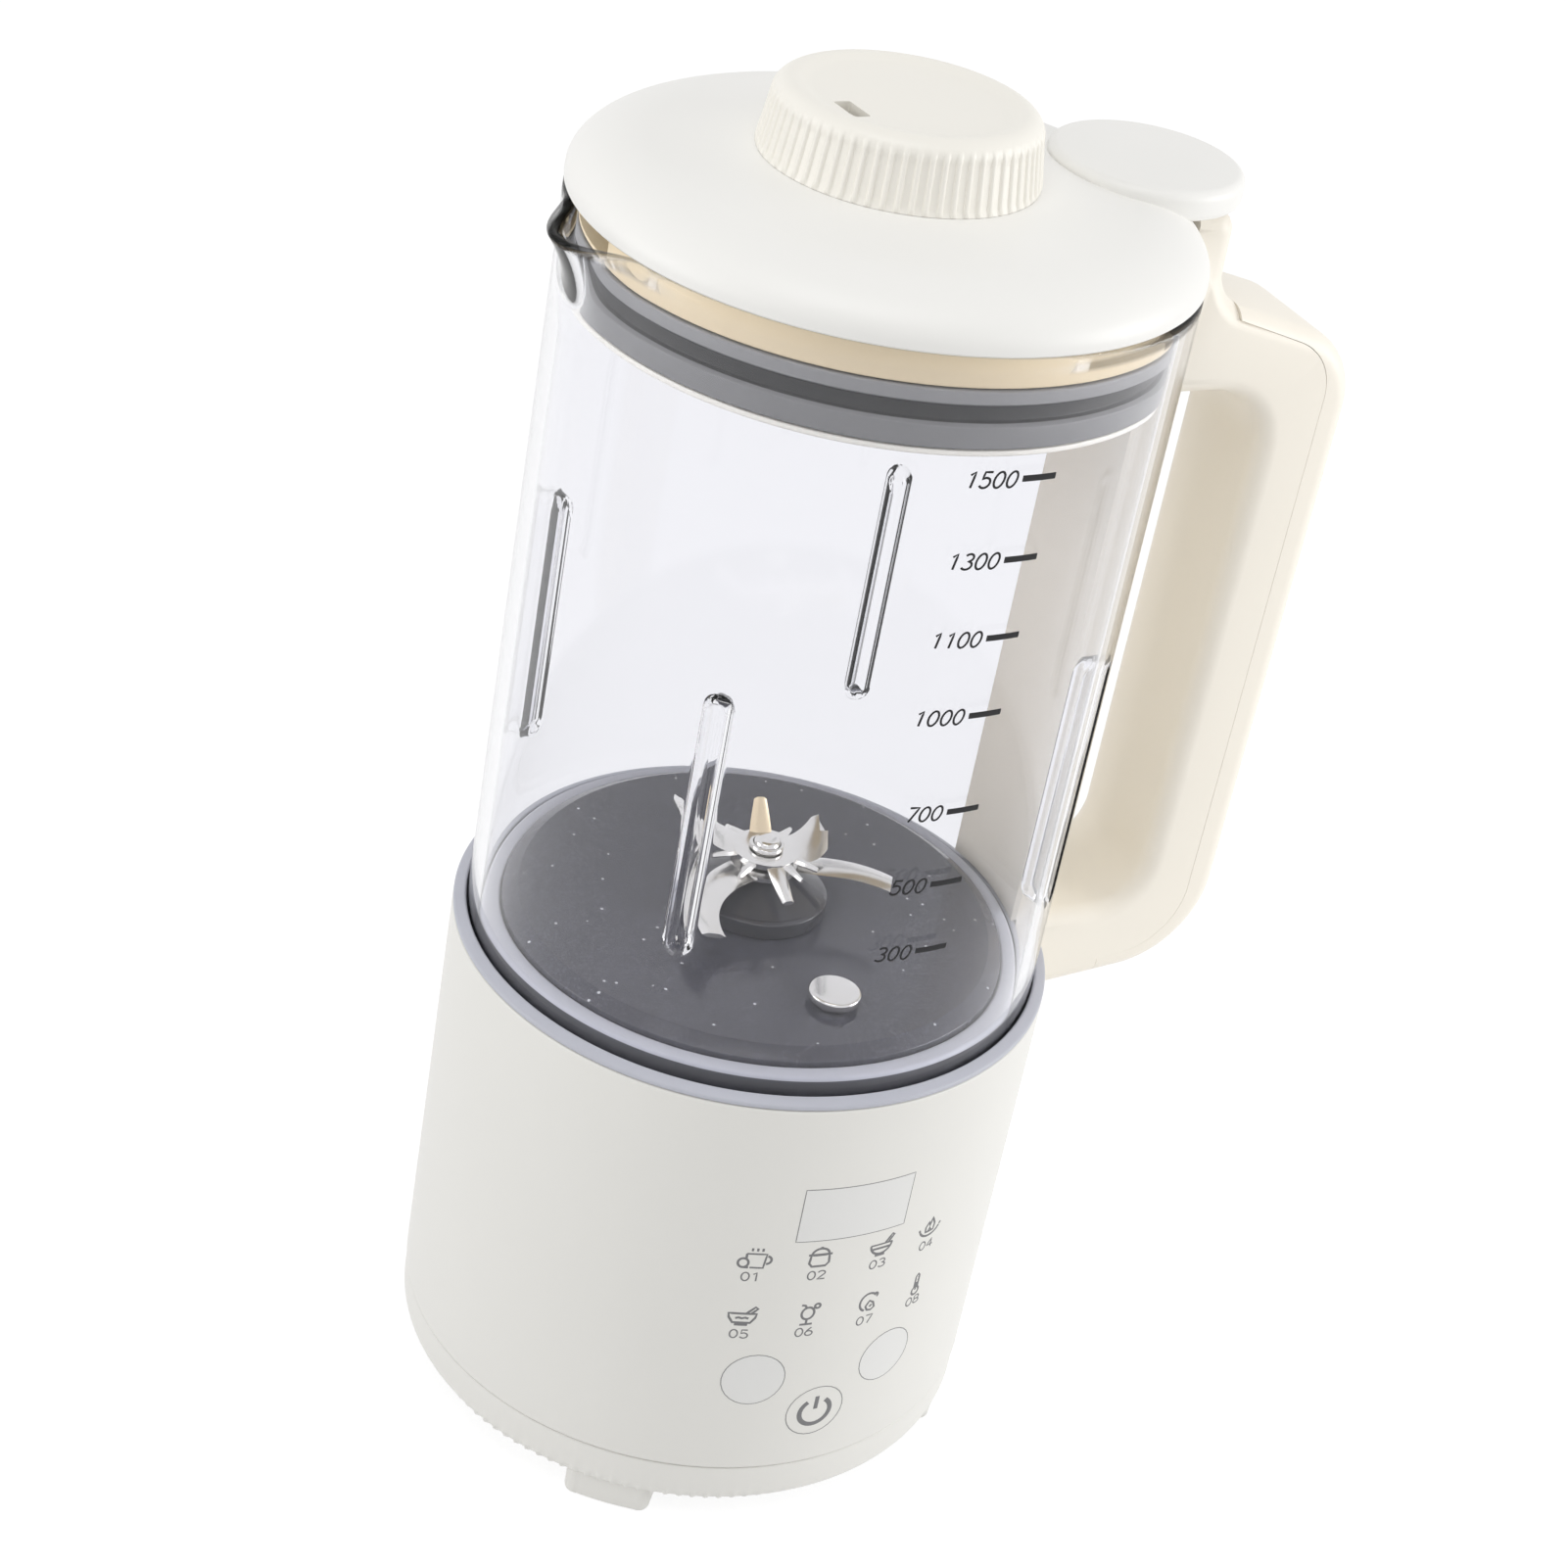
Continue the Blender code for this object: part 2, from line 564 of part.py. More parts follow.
def rod(name, radius, length, place, material, parent, steps=TINY_STEPS, along="Z"):
    """A cylinder whose middle lies at the place."""
    mesh = bpy.data.meshes.new(name)
    shape = bmesh.new()
    bmesh.ops.create_cone(shape, cap_ends=True, segments=steps, radius1=radius, radius2=radius, depth=length)
    if along == "Y":
        bmesh.ops.rotate(shape, matrix=Matrix.Rotation(QUARTER, 3, "X"), verts=shape.verts)
    if along == "X":
        bmesh.ops.rotate(shape, matrix=Matrix.Rotation(QUARTER, 3, "Y"), verts=shape.verts)
    shape.to_mesh(mesh)
    shape.free()
    mesh.shade_smooth()
    mesh.set_sharp_from_angle(angle=SHARP)
    return add_piece(name, mesh, material, parent, place)


def boolean(piece, tool, operation="DIFFERENCE"):
    modifier = piece.modifiers.new(tool.name, "BOOLEAN")
    modifier.operation = operation
    modifier.object = tool
    modifier.solver = "EXACT"
    return piece


def bevel(piece, width, segments=2, angle=math.radians(50)):
    modifier = piece.modifiers.new("rounding", "BEVEL")
    modifier.width = width
    modifier.segments = segments
    modifier.limit_method = "ANGLE"
    modifier.angle_limit = angle
    return piece


def baked_mesh(source):
    """The evaluated mesh of an object, welded; the object itself is removed."""
    bpy.context.view_layer.update()
    evaluated = source.evaluated_get(bpy.context.evaluated_depsgraph_get())
    mesh = bpy.data.meshes.new_from_object(evaluated)
    shape = bmesh.new()
    shape.from_mesh(mesh)
    bmesh.ops.remove_doubles(shape, verts=shape.verts, dist=WELD)
    shape.to_mesh(mesh)
    shape.free()
    matrix = source.matrix_world.copy()
    bpy.data.objects.remove(source, do_unlink=True)
    mesh.materials.clear()
    mesh.shade_smooth()
    mesh.set_sharp_from_angle(angle=SHARP)
    return mesh, matrix


def extruded(name, outline, half_thickness, material, parent, place=(0, 0, 0), turn=0.0, upright=True):
    """Extrudes a flat outline both ways. An upright outline holds (radius, height) points."""
    curve = bpy.data.curves.new(name, "CURVE")
    curve.dimensions = "2D"
    curve.fill_mode = "BOTH"
    curve.extrude = half_thickness
    spline = curve.splines.new("POLY")
    spline.points.add(len(outline) - 1)
    for point, (across, up) in zip(spline.points, outline):
        point.co = (across, up, 0, 1)
    spline.use_cyclic_u = True
    flat = bpy.data.objects.new(name, curve)
    PARTS.objects.link(flat)
    if upright:
        flat.rotation_euler = (QUARTER, 0, 0)
    mesh, matrix = baked_mesh(flat)
    mesh.transform(matrix)
    bpy.data.curves.remove(curve)
    return add_piece(name, mesh, material, parent, place, turn)


def tube(name, points, radius, material, parent, resolution=2):
    curve = bpy.data.curves.new(name, "CURVE")
    curve.dimensions = "3D"
    curve.bevel_depth = radius
    curve.bevel_resolution = resolution
    curve.use_fill_caps = True
    spline = curve.splines.new("POLY")
    spline.points.add(len(points) - 1)
    for point, where in zip(spline.points, points):
        point.co = (*where, 1)
    return add_piece(name, curve, material, parent)


def rounded(corners, steps=6):
    """The outline through corners of (across, up, fillet radius), each fillet drawn as an arc."""
    outline = []
    count = len(corners)
    for index, (across, up, radius) in enumerate(corners):
        here = Vector((across, up))
        if radius == 0:
            outline.append((here.x, here.y))
            continue
        before = (Vector(corners[index - 1][:2]) - here).normalized()
        after = (Vector(corners[(index + 1) % count][:2]) - here).normalized()
        half = before.angle(after) / 2
        centre = here + (before + after).normalized() * (radius / math.sin(half))
        start = here + before * (radius / math.tan(half)) - centre
        end = here + after * (radius / math.tan(half)) - centre
        sweep = start.angle_signed(end)
        for step in range(steps + 1):
            turn = -sweep * step / steps
            outline.append((centre.x + start.x * math.cos(turn) - start.y * math.sin(turn),
                            centre.y + start.x * math.sin(turn) + start.y * math.cos(turn)))
    return outline


def ring(inner, outer, bottom, top):
    """The profile of a plain ring."""
    return [(outer, top), (outer, bottom), (inner, bottom), (inner, top)]


def polar(radius, turn, height):
    """A place at an angle in radians counted from the front panel towards the handle."""
    return (radius * math.sin(turn), -radius * math.cos(turn), height)


def arc_profile(centre, radii, start, end, points):
    """Points on an ellipse arc in a profile, from one angle to another."""
    angles = [start + (end - start) * step / points for step in range(points + 1)]
    return [(centre[0] + radii[0] * math.cos(a), centre[1] + radii[1] * math.sin(a)) for a in angles]


def sector(name, inner, outer, half_angle, parent, bottom, top, turn):
    """A cutter in the shape of a ring's sector, centred on an angle counted from the front."""
    steps = 8
    angles = [half_angle * (2 * step / steps - 1) for step in range(steps + 1)]
    outline = [(outer * math.cos(a), outer * math.sin(a)) for a in angles]
    outline += [(inner * math.cos(a), inner * math.sin(a)) for a in reversed(angles)]
    return extruded(name, outline, (top - bottom) / 2, None, parent,
                    (0, 0, (top + bottom) / 2), turn - QUARTER, upright=False)


def tool_of(name, pieces, parent):
    """One hidden tool made of pieces that don't touch each other. The pieces have no parent."""
    shape = bmesh.new()
    for piece in pieces:
        mesh, matrix = baked_mesh(piece)
        mesh.transform(matrix)
        shape.from_mesh(mesh)
    joined = bpy.data.meshes.new(name)
    shape.to_mesh(joined)
    shape.free()
    return add_piece(name, joined, None, parent)


def joined_mesh(body, additions):
    """The mesh of a body and its additions joined into one solid, in place; all of them have no parent."""
    for addition in additions:
        boolean(body, addition, "UNION")
    mesh, matrix = baked_mesh(body)
    mesh.transform(matrix)
    for addition in additions:
        bpy.data.objects.remove(addition, do_unlink=True)
    return mesh


# Base
def make_bottom_cover(base):
    outer = HOUSING_RADIUS - COVER_INSET
    edge_centre = (outer - COVER_EDGE_RADIUS, FOOT_HEIGHT + COVER_EDGE_RADIUS)
    inner_edge = COVER_EDGE_RADIUS - COVER_WALL
    lip_outer = HOUSING_BORE - FIT
    lip_inner = lip_outer - COVER_LIP_WALL
    profile = [(0, FOOT_HEIGHT)]
    profile += arc_profile(edge_centre, (COVER_EDGE_RADIUS, COVER_EDGE_RADIUS), -QUARTER, 0, 3)
    profile += [(outer, SEAM_Z), (lip_outer, SEAM_Z), (lip_outer, SEAM_Z + COVER_LIP_HEIGHT)]
    profile += [(lip_inner, SEAM_Z + COVER_LIP_HEIGHT)]
    profile += [(lip_inner, FLOOR_TOP + inner_edge), (lip_inner - inner_edge, FLOOR_TOP), (0, FLOOR_TOP)]
    cover = turned("bottom_cover", profile, "shell_cream", base)
    slots = []
    for index in range(VENT_COUNT):
        turn = FULL_TURN * index / VENT_COUNT
        slots.append(block("vent_cutter", (VENT_WIDTH, VENT_LENGTH, COVER_WALL + OVERRUN),
                           polar(VENT_RADIUS, turn, (FOOT_HEIGHT + FLOOR_TOP) / 2), None, None, turn))
    for turn in post_turns():
        slots.append(rod("screw_cutter", COVER_SCREW_RADIUS + FIT, COVER_WALL + OVERRUN,
                         polar(POST_PLACE_RADIUS, turn, (FOOT_HEIGHT + FLOOR_TOP) / 2), None, None))
    make_feet(cover, base)
    boolean(cover, tool_of("cover_cutter", slots, base))
    posts = []
    for across, along in power_board_corners():
        posts.append(rod("board_post", POWER_BOARD_POST_RADIUS, POWER_BOARD_POST + COVER_WALL / 2,
                         (across, along, FLOOR_TOP + (POWER_BOARD_POST - COVER_WALL / 2) / 2), None, None))
    return boolean(cover, tool_of("board_posts", posts, base), "UNION")


def post_turns():
    return [FOOT_TURN + POST_TURN + FULL_TURN * index / FOOT_COUNT for index in range(FOOT_COUNT)]


def power_board_corners():
    across = POWER_BOARD_LENGTH / 2 - POWER_BOARD_EDGE
    along = POWER_BOARD_WIDTH / 2 - POWER_BOARD_EDGE
    return [(x, y) for x in (-across, across) for y in (-along, along)]


def make_feet(cover, base):
    """Feet moulded on the cover: sectors with a curved outer edge, one in every quarter."""
    half = FOOT_LENGTH / 2
    half_angle = math.asin(half / FOOT_OUTER_RADIUS)
    outline = []
    for step in range(FOOT_EDGE_POINTS + 1):
        turn = half_angle * (2 * step / FOOT_EDGE_POINTS - 1)
        outline.append((FOOT_OUTER_RADIUS * math.cos(turn), FOOT_OUTER_RADIUS * math.sin(turn)))
    outline += [(FOOT_INNER_RADIUS, half), (FOOT_INNER_RADIUS, -half)]
    top = FLOOR_TOP - FIT
    feet = []
    for index in range(FOOT_COUNT):
        turn = FOOT_TURN + FULL_TURN * index / FOOT_COUNT
        foot = extruded("foot", outline, top / 2, None, None, (0, 0, top / 2), turn - QUARTER, upright=False)
        feet.append(bevel(foot, FOOT_ROUNDING))
    boolean(cover, tool_of("feet", feet, base), "UNION")


def screw_profile(radius, length, head_radius, head_height):
    """A screw that stands on its head at height zero, its shank pointing up."""
    return [(0, length), (radius, length), (radius, head_height), (head_radius, head_height),
            (head_radius, 0), (0, 0)]


def make_cover_screws(base):
    profile = screw_profile(COVER_SCREW_RADIUS, COVER_SCREW_LENGTH, COVER_SCREW_HEAD_RADIUS,
                            COVER_SCREW_HEAD_HEIGHT)
    for index, turn in enumerate(post_turns()):
        turned("cover_screw_%d" % (index + 1), profile, "plain_steel", base,
               polar(POST_PLACE_RADIUS, turn, FOOT_HEIGHT - FIT - COVER_SCREW_HEAD_HEIGHT), TINY_STEPS)


def make_housing(base):
    rim_inner = HOUSING_RADIUS - HOUSING_RIM_WALL
    ledge_under = SEAT_Z - LEDGE_THICKNESS
    low = SEAM_Z + FIT
    profile = [(HOUSING_RADIUS, HOUSING_TOP), (HOUSING_RADIUS, low), (HOUSING_BORE, low),
               (HOUSING_BORE, ledge_under), (LEDGE_RADIUS, ledge_under), (LEDGE_RADIUS, SEAT_Z),
               (rim_inner, SEAT_Z), (rim_inner, HOUSING_TOP)]
    housing = turned("housing", profile, "shell_cream", base)
    make_posts(housing, base)
    make_touch_rails(housing, base)
    size = (INLET_WIDTH + 2 * FIT, HOUSING_WALL + 2 * OVERRUN, INLET_HEIGHT + 2 * FIT)
    opening = block("inlet_opening", size, (0, HOUSING_RADIUS - HOUSING_WALL / 2, INLET_CENTRE_Z), None, base)
    boolean(housing, opening)
    for side in (-1, 1):
        hole = rod("handle_screw_hole", HANDLE_SCREW_RADIUS + FIT, HOUSING_WALL + 4 * OVERRUN,
                   (HOUSING_BORE, side * HANDLE_SCREW_SPREAD, HANDLE_SCREW_Z), None, base, along="X")
        boolean(housing, hole)


def make_posts(housing, base):
    """Screw posts inside the housing, each tied to the wall by a rib."""
    post_low = FLOOR_TOP + FIT
    rib_low = SEAM_Z + COVER_LIP_HEIGHT + FIT
    posts = []
    holes = []
    for turn in post_turns():
        post = rod("post", POST_RADIUS, POST_TOP - post_low,
                   polar(POST_PLACE_RADIUS, turn, (POST_TOP + post_low) / 2), None, None)
        reach = HOUSING_RADIUS - HOUSING_WALL / 2 - POST_PLACE_RADIUS
        rib = block("rib", (POST_RIB, reach, POST_TOP - rib_low),
                    polar(POST_PLACE_RADIUS + reach / 2, turn, (POST_TOP + rib_low) / 2), None, None, turn)
        posts.append(add_piece("post", joined_mesh(post, [rib]), None, None))
        depth = COVER_SCREW_LENGTH + OVERRUN
        holes.append(rod("hole", COVER_SCREW_RADIUS + FIT, depth,
                         polar(POST_PLACE_RADIUS, turn, FOOT_HEIGHT + depth / 2), None, None))
    boolean(housing, tool_of("posts", posts, base), "UNION")
    boolean(housing, tool_of("post_holes", holes, base))


def make_touch_rails(housing, base):
    """Two upright rails behind the front panel that hold the touch board by its edges."""
    place = TOUCH_BOARD_WIDTH / 2 + FIT + TOUCH_RAIL / 2
    wall_y = math.sqrt(HOUSING_BORE ** 2 - place ** 2)
    front = wall_y + HOUSING_WALL / 2
    back = TOUCH_BOARD_PLACE - TOUCH_RAIL_DEPTH / 2
    middle = TOUCH_BOARD_BOTTOM + TOUCH_BOARD_HEIGHT / 2
    rails = [block("rail", (TOUCH_RAIL, front - back, TOUCH_BOARD_HEIGHT),
                   (side * place, -(front + back) / 2, middle), None, None) for side in (-1, 1)]
    boolean(housing, tool_of("touch_rails", rails, base), "UNION")


def make_jar_seal(base):
    """One silicone channel: the outer lip on the housing, the base under the glass, the inner leg."""
    rim_inner = HOUSING_RADIUS - HOUSING_RIM_WALL
    leg_outer = GLASS_INNER - FIT
    leg_inner = PLATE_RADIUS + FIT
    glass_side = GLASS_RADIUS + FIT
    low = SEAT_Z + FIT
    profile = [(glass_side, RING_TOP), (RING_OUTER_RADIUS, HOUSING_TOP + FIT + RING_RISE / 3),
               (RING_OUTER_RADIUS, HOUSING_TOP + FIT), (rim_inner - FIT, HOUSING_TOP + FIT),
               (rim_inner - FIT, low), (RING_INNER_RADIUS, low), (RING_INNER_RADIUS, RING_BASE_TOP),
               (leg_inner, RING_BASE_TOP), (leg_inner, RING_TOP + RING_INNER_LEG_RISE),
               (leg_outer, RING_TOP + RING_INNER_LEG_RISE), (leg_outer, RING_BASE_TOP),
               (glass_side, RING_BASE_TOP)]
    turned("jar_seal", profile, "silicone_grey", base)


def make_heating_plate(base):
    low = RING_BASE_TOP + FIT
    skirt_inner = PLATE_RADIUS - PLATE_SKIRT_WALL
    bore = PEDESTAL_TUBE_RADIUS + FIT
    shoulder = PLATE_TOP - PLATE_CHAMFER_HEIGHT
    profile = [(bore, PLATE_TOP), (PLATE_RADIUS - PLATE_CHAMFER_WIDTH, PLATE_TOP), (PLATE_RADIUS, shoulder),
               (PLATE_RADIUS, low), (skirt_inner, low), (skirt_inner, PLATE_UNDER - PLATE_THICKNESS / 2),
               (skirt_inner - PLATE_THICKNESS / 2, PLATE_UNDER), (bore, PLATE_UNDER)]
    plate = turned("heating_plate", profile, "plate_coating", base)
    stud_low = BRACKET_UNDER - STUD_NUT_HEIGHT - FIT
    stud_top = PLATE_TOP - PLATE_THICKNESS / 2
    studs = [rod("stud", STUD_RADIUS, stud_top - stud_low,
                 polar(STUD_PLACE_RADIUS, math.radians(turn), (stud_top + stud_low) / 2), None, None)
             for turn in STUD_TURNS]
    boolean(plate, tool_of("studs", studs, base), "UNION")
    hole = rod("probe_hole", PROBE_THREAD_RADIUS + FIT, PLATE_THICKNESS + 2 * OVERRUN,
               polar(PROBE_PLACE_RADIUS, 0, PLATE_TOP - PLATE_THICKNESS / 2), None, base)
    boolean(plate, hole)


def hex_nut(name, bore, radius, height, place, base):
    """A six-sided nut that lies under the place and fits a thread of this bore."""
    middle = (place[0], place[1], place[2] - height / 2)
    nut = rod(name, radius, height, middle, "plain_steel", base, 6)
    hole = rod(name + "_hole", bore + FIT, height + OVERRUN, middle, None, base, SMALL_STEPS)
    return boolean(nut, hole)


def make_plate_nuts(base):
    for index, turn in enumerate(STUD_TURNS):
        hex_nut("plate_nut_%d" % (index + 1), STUD_RADIUS, STUD_NUT_RADIUS, STUD_NUT_HEIGHT,
                polar(STUD_PLACE_RADIUS, math.radians(turn), BRACKET_UNDER - FIT), base)


def make_heating_element(base):
    """A tube bent into a ring under the plate, its two tails turned down at the back."""
    height = PLATE_UNDER - FIT - ELEMENT_RADIUS
    sweep = FULL_TURN - 2 * ELEMENT_GAP_ANGLE
    points = []
    for step in range(ELEMENT_POINTS + 1):
        turn = math.pi + ELEMENT_GAP_ANGLE + sweep * step / ELEMENT_POINTS
        points.append(polar(ELEMENT_PLACE_RADIUS, turn, height))
    bend = ELEMENT_RADIUS * ELEMENT_BEND_SHARE
    for side, end in ((-1, points[0]), (1, points[-1])):
        start = Vector(end)
        toward = Vector((start.y, -start.x, 0)).normalized() * side
        tail = [start - toward * bend * TAIL_RUN_SHARE + Vector((0, 0, -bend * TAIL_DROP_SHARE)),
                start - toward * bend + Vector((0, 0, -bend)),
                start - toward * bend + Vector((0, 0, -ELEMENT_TAIL))]
        if side < 0:
            points = [tuple(point) for point in reversed(tail)] + points
        else:
            points = points + [tuple(point) for point in tail]
    tube("heating_element", points, ELEMENT_RADIUS, "plain_steel", base, 1)
    return points[0], points[-1]


def make_thermal_cutout(base):
    top = PLATE_UNDER - FIT
    lip = CUTOUT_HEIGHT / 4
    profile = [(0, top), (CUTOUT_RADIUS, top), (CUTOUT_RADIUS, top - lip),
               (CUTOUT_RADIUS - lip, top - lip), (CUTOUT_RADIUS - lip, top - CUTOUT_HEIGHT),
               (0, top - CUTOUT_HEIGHT)]
    place = polar(CUTOUT_PLACE_RADIUS, -QUARTER, 0)
    turned("thermal_cutout", profile, "dark_plastic", base, place, SMALL_STEPS)


def make_probe(base):
    place = polar(PROBE_PLACE_RADIUS, 0, 0)
    head_low = PLATE_TOP + FIT + PROBE_HEX_HEIGHT
    head_top = head_low + PROBE_HEAD_HEIGHT
    edge = PROBE_HEAD_HEIGHT / 3
    thread_low = PLATE_TOP - PROBE_THREAD_LENGTH
    profile = [(0, head_top), (PROBE_HEAD_RADIUS - edge, head_top), (PROBE_HEAD_RADIUS, head_top - edge),
               (PROBE_HEAD_RADIUS, head_low), (PROBE_THREAD_RADIUS, head_low),
               (PROBE_THREAD_RADIUS, thread_low), (0, thread_low)]
    probe = turned("temperature_probe", profile, "blade_steel", base, place, SMALL_STEPS)
    overlap = PROBE_HEAD_HEIGHT / 4
    hexagon = rod("probe_hexagon", PROBE_HEX_RADIUS, PROBE_HEX_HEIGHT + overlap,
                  polar(PROBE_PLACE_RADIUS, 0, head_low - (PROBE_HEX_HEIGHT - overlap) / 2), None, base, 6)
    boolean(probe, hexagon, "UNION")
    hex_nut("probe_nut", PROBE_THREAD_RADIUS, PROBE_HEX_RADIUS, PROBE_NUT_HEIGHT,
            polar(PROBE_PLACE_RADIUS, 0, PLATE_UNDER - FIT), base)


def make_pedestal(base):
    """The dark cone that carries the upper bearing and stands the blades clear of the plate."""
    low = PEDESTAL_UNDER
    flange_top = low + PEDESTAL_FLANGE_HEIGHT
    shelf = TUBE_BOTTOM + BEARING_HEIGHT + SEAL_HEIGHT + PEDESTAL_SHELF
    step_radius = PEDESTAL_FLANGE_RADIUS - PEDESTAL_STEP
    step_top = flange_top + PEDESTAL_STEP
    cone = [(PEDESTAL_TOP_RADIUS + (step_radius - PEDESTAL_TOP_RADIUS) * (1 - math.sin(QUARTER * share)),
             step_top + (PEDESTAL_TOP - step_top) * (1 - math.cos(QUARTER * share)))
            for share in CONE_SHARES]
    profile = [(BORE_RADIUS, PEDESTAL_TOP)] + cone[::-1]
    profile += [(step_radius, step_top), (PEDESTAL_FLANGE_RADIUS, flange_top),
                (PEDESTAL_FLANGE_RADIUS, low), (PEDESTAL_TUBE_RADIUS, low),
                (PEDESTAL_TUBE_RADIUS, TUBE_BOTTOM), (BEARING_SEAT_RADIUS, TUBE_BOTTOM),
                (BEARING_SEAT_RADIUS, shelf), (BORE_RADIUS, shelf)]
    turned("blade_pedestal", profile, "dark_plastic", base, steps=SMALL_STEPS)
    gasket_low = PLATE_TOP + FIT
    profile = ring(PEDESTAL_TUBE_RADIUS + FIT, PEDESTAL_FLANGE_RADIUS - FIT, gasket_low,
                   gasket_low + PEDESTAL_GASKET_HEIGHT)
    turned("pedestal_gasket", profile, "black_rubber", base, steps=SMALL_STEPS)
    hex_nut("pedestal_nut", PEDESTAL_TUBE_RADIUS, PEDESTAL_NUT_RADIUS, PEDESTAL_NUT_HEIGHT,
            (0, 0, PLATE_UNDER - FIT), base)
    seal_top = shelf - FIT
    turned("shaft_seal", ring(BORE_RADIUS, BEARING_RADIUS, seal_top - SEAL_HEIGHT, seal_top), "black_rubber",
           base, steps=SMALL_STEPS)
    bearing_top = seal_top - SEAL_HEIGHT - FIT
    turned("upper_bearing", ring(BORE_RADIUS, BEARING_RADIUS, bearing_top - BEARING_HEIGHT, bearing_top),
           "plain_steel", base, steps=SMALL_STEPS)


# Glass jar
def lip_push(turn, height):
    """How far the rim is drawn out and down at the pouring lip, for a place on the wall."""
    off = math.remainder(turn + QUARTER, FULL_TURN)
    if abs(off) >= LIP_HALF_ANGLE or height <= GLASS_TOP - LIP_HEIGHT:
        return 0.0, 0.0
    around = math.cos(off / LIP_HALF_ANGLE * QUARTER) ** 2
    up = (height - GLASS_TOP + LIP_HEIGHT) / LIP_HEIGHT
    return LIP_REACH * around * up ** 2, LIP_DROP * around * up ** 2


def make_glass_jar(base):
    lip_levels = [GLASS_TOP - LIP_HEIGHT * (1 - share) for share in LIP_RING_SHARES]
    edge = GLASS_WALL / 4
    profile = [(GLASS_RADIUS - edge, GLASS_TOP), (GLASS_RADIUS, GLASS_TOP - edge)]
    profile += [(GLASS_RADIUS, level) for level in lip_levels]
    profile += [(GLASS_RADIUS, GLASS_BOTTOM), (GLASS_INNER, GLASS_BOTTOM)]
    profile += [(GLASS_INNER, level) for level in reversed(lip_levels)]
    profile += [(GLASS_INNER, GLASS_TOP - edge), (GLASS_INNER + edge, GLASS_TOP)]
    source = turned("glass_jar", profile, "clear_glass", None, steps=JAR_STEPS)
    mesh, _ = baked_mesh(source)
    for vertex in mesh.vertices:
        turn = math.atan2(vertex.co.x, -vertex.co.y)
        out, down = lip_push(turn, vertex.co.z)
        vertex.co.x += out * math.sin(turn)
        vertex.co.y -= out * math.cos(turn)
        vertex.co.z -= down
    jar = add_piece("glass_jar", mesh, "clear_glass", base)
    inner = GLASS_INNER - FLUTE_DEPTH
    ridge = flute_outline(inner, GLASS_RADIUS - GLASS_WALL / 2, 0, FLUTE_CORNER)
    groove = flute_outline(inner + FLUTE_WALL, GLASS_RADIUS + OVERRUN, FLUTE_WALL, FLUTE_CORNER - FLUTE_WALL)
    ridges = [extruded("ridge", ridge, FLUTE_WIDTH / 2, None, None, turn=math.radians(turn))
              for turn in FLUTE_TURNS]
    grooves = [extruded("groove", groove, FLUTE_WIDTH / 2 - FLUTE_WALL, None, None, turn=math.radians(turn))
               for turn in FLUTE_TURNS]
    boolean(jar, tool_of("flute_ridges", ridges, base), "UNION")
    boolean(jar, tool_of("flute_grooves", grooves, base))


def flute_outline(inner, outer, inset, corner):
    low = RING_TOP + FLUTE_BOTTOM + inset
    high = RING_TOP + FLUTE_TOP - inset
    return rounded([(inner, low, corner), (outer, low, 0), (outer, high, 0), (inner, high, corner)], 4)


# Blades and shaft, which turn together
def wing(name, turn, reach, sweep, root_width, tip_width, height, lift, rows=BLADE_ROWS):
    """One blade: a strip that runs out from the hub, sweeps round, narrows and lifts or droops."""
    mesh = bpy.data.meshes.new(name)
    shape = bmesh.new()
    bmesh.ops.create_grid(shape, x_segments=rows, y_segments=1, size=1)
    start = BLADE_HUB_RADIUS * WING_START_SHARE
    for vertex in shape.verts:
        along = (vertex.co.x + 1) / 2
        side = vertex.co.y
        radius = start + (reach - start) * along
        width = root_width + (tip_width - root_width) * along
        angle = turn + sweep * along ** 2
        outward = Vector((math.sin(angle), -math.cos(angle), 0))
        across = Vector((math.cos(angle), math.sin(angle), 0))
        rise = lift * max(0, along - LIFT_START_SHARE) ** LIFT_POWER
        vertex.co = outward * radius + across * side * width / 2 + Vector((0, 0, height + rise))
    bmesh.ops.recalc_face_normals(shape, faces=shape.faces)
    shape.to_mesh(mesh)
    shape.free()
    piece = add_piece(name, mesh, None, None)
    solidify = piece.modifiers.new("sheet", "SOLIDIFY")
    solidify.thickness = BLADE_SHEET * WING_SHEET_SHARE
    solidify.offset = 0
    return piece


def joined_blade(name, hub, wings, rotor):
    blade = add_piece(name, joined_mesh(hub, wings), "blade_steel", rotor)
    bore = rod(name + "_bore", SHAFT_RADIUS + FIT, BLADE_SHEET + 4 * OVERRUN, (0, 0, BLADE_LOW_Z),
               None, rotor, SMALL_STEPS)
    return boolean(blade, bore)


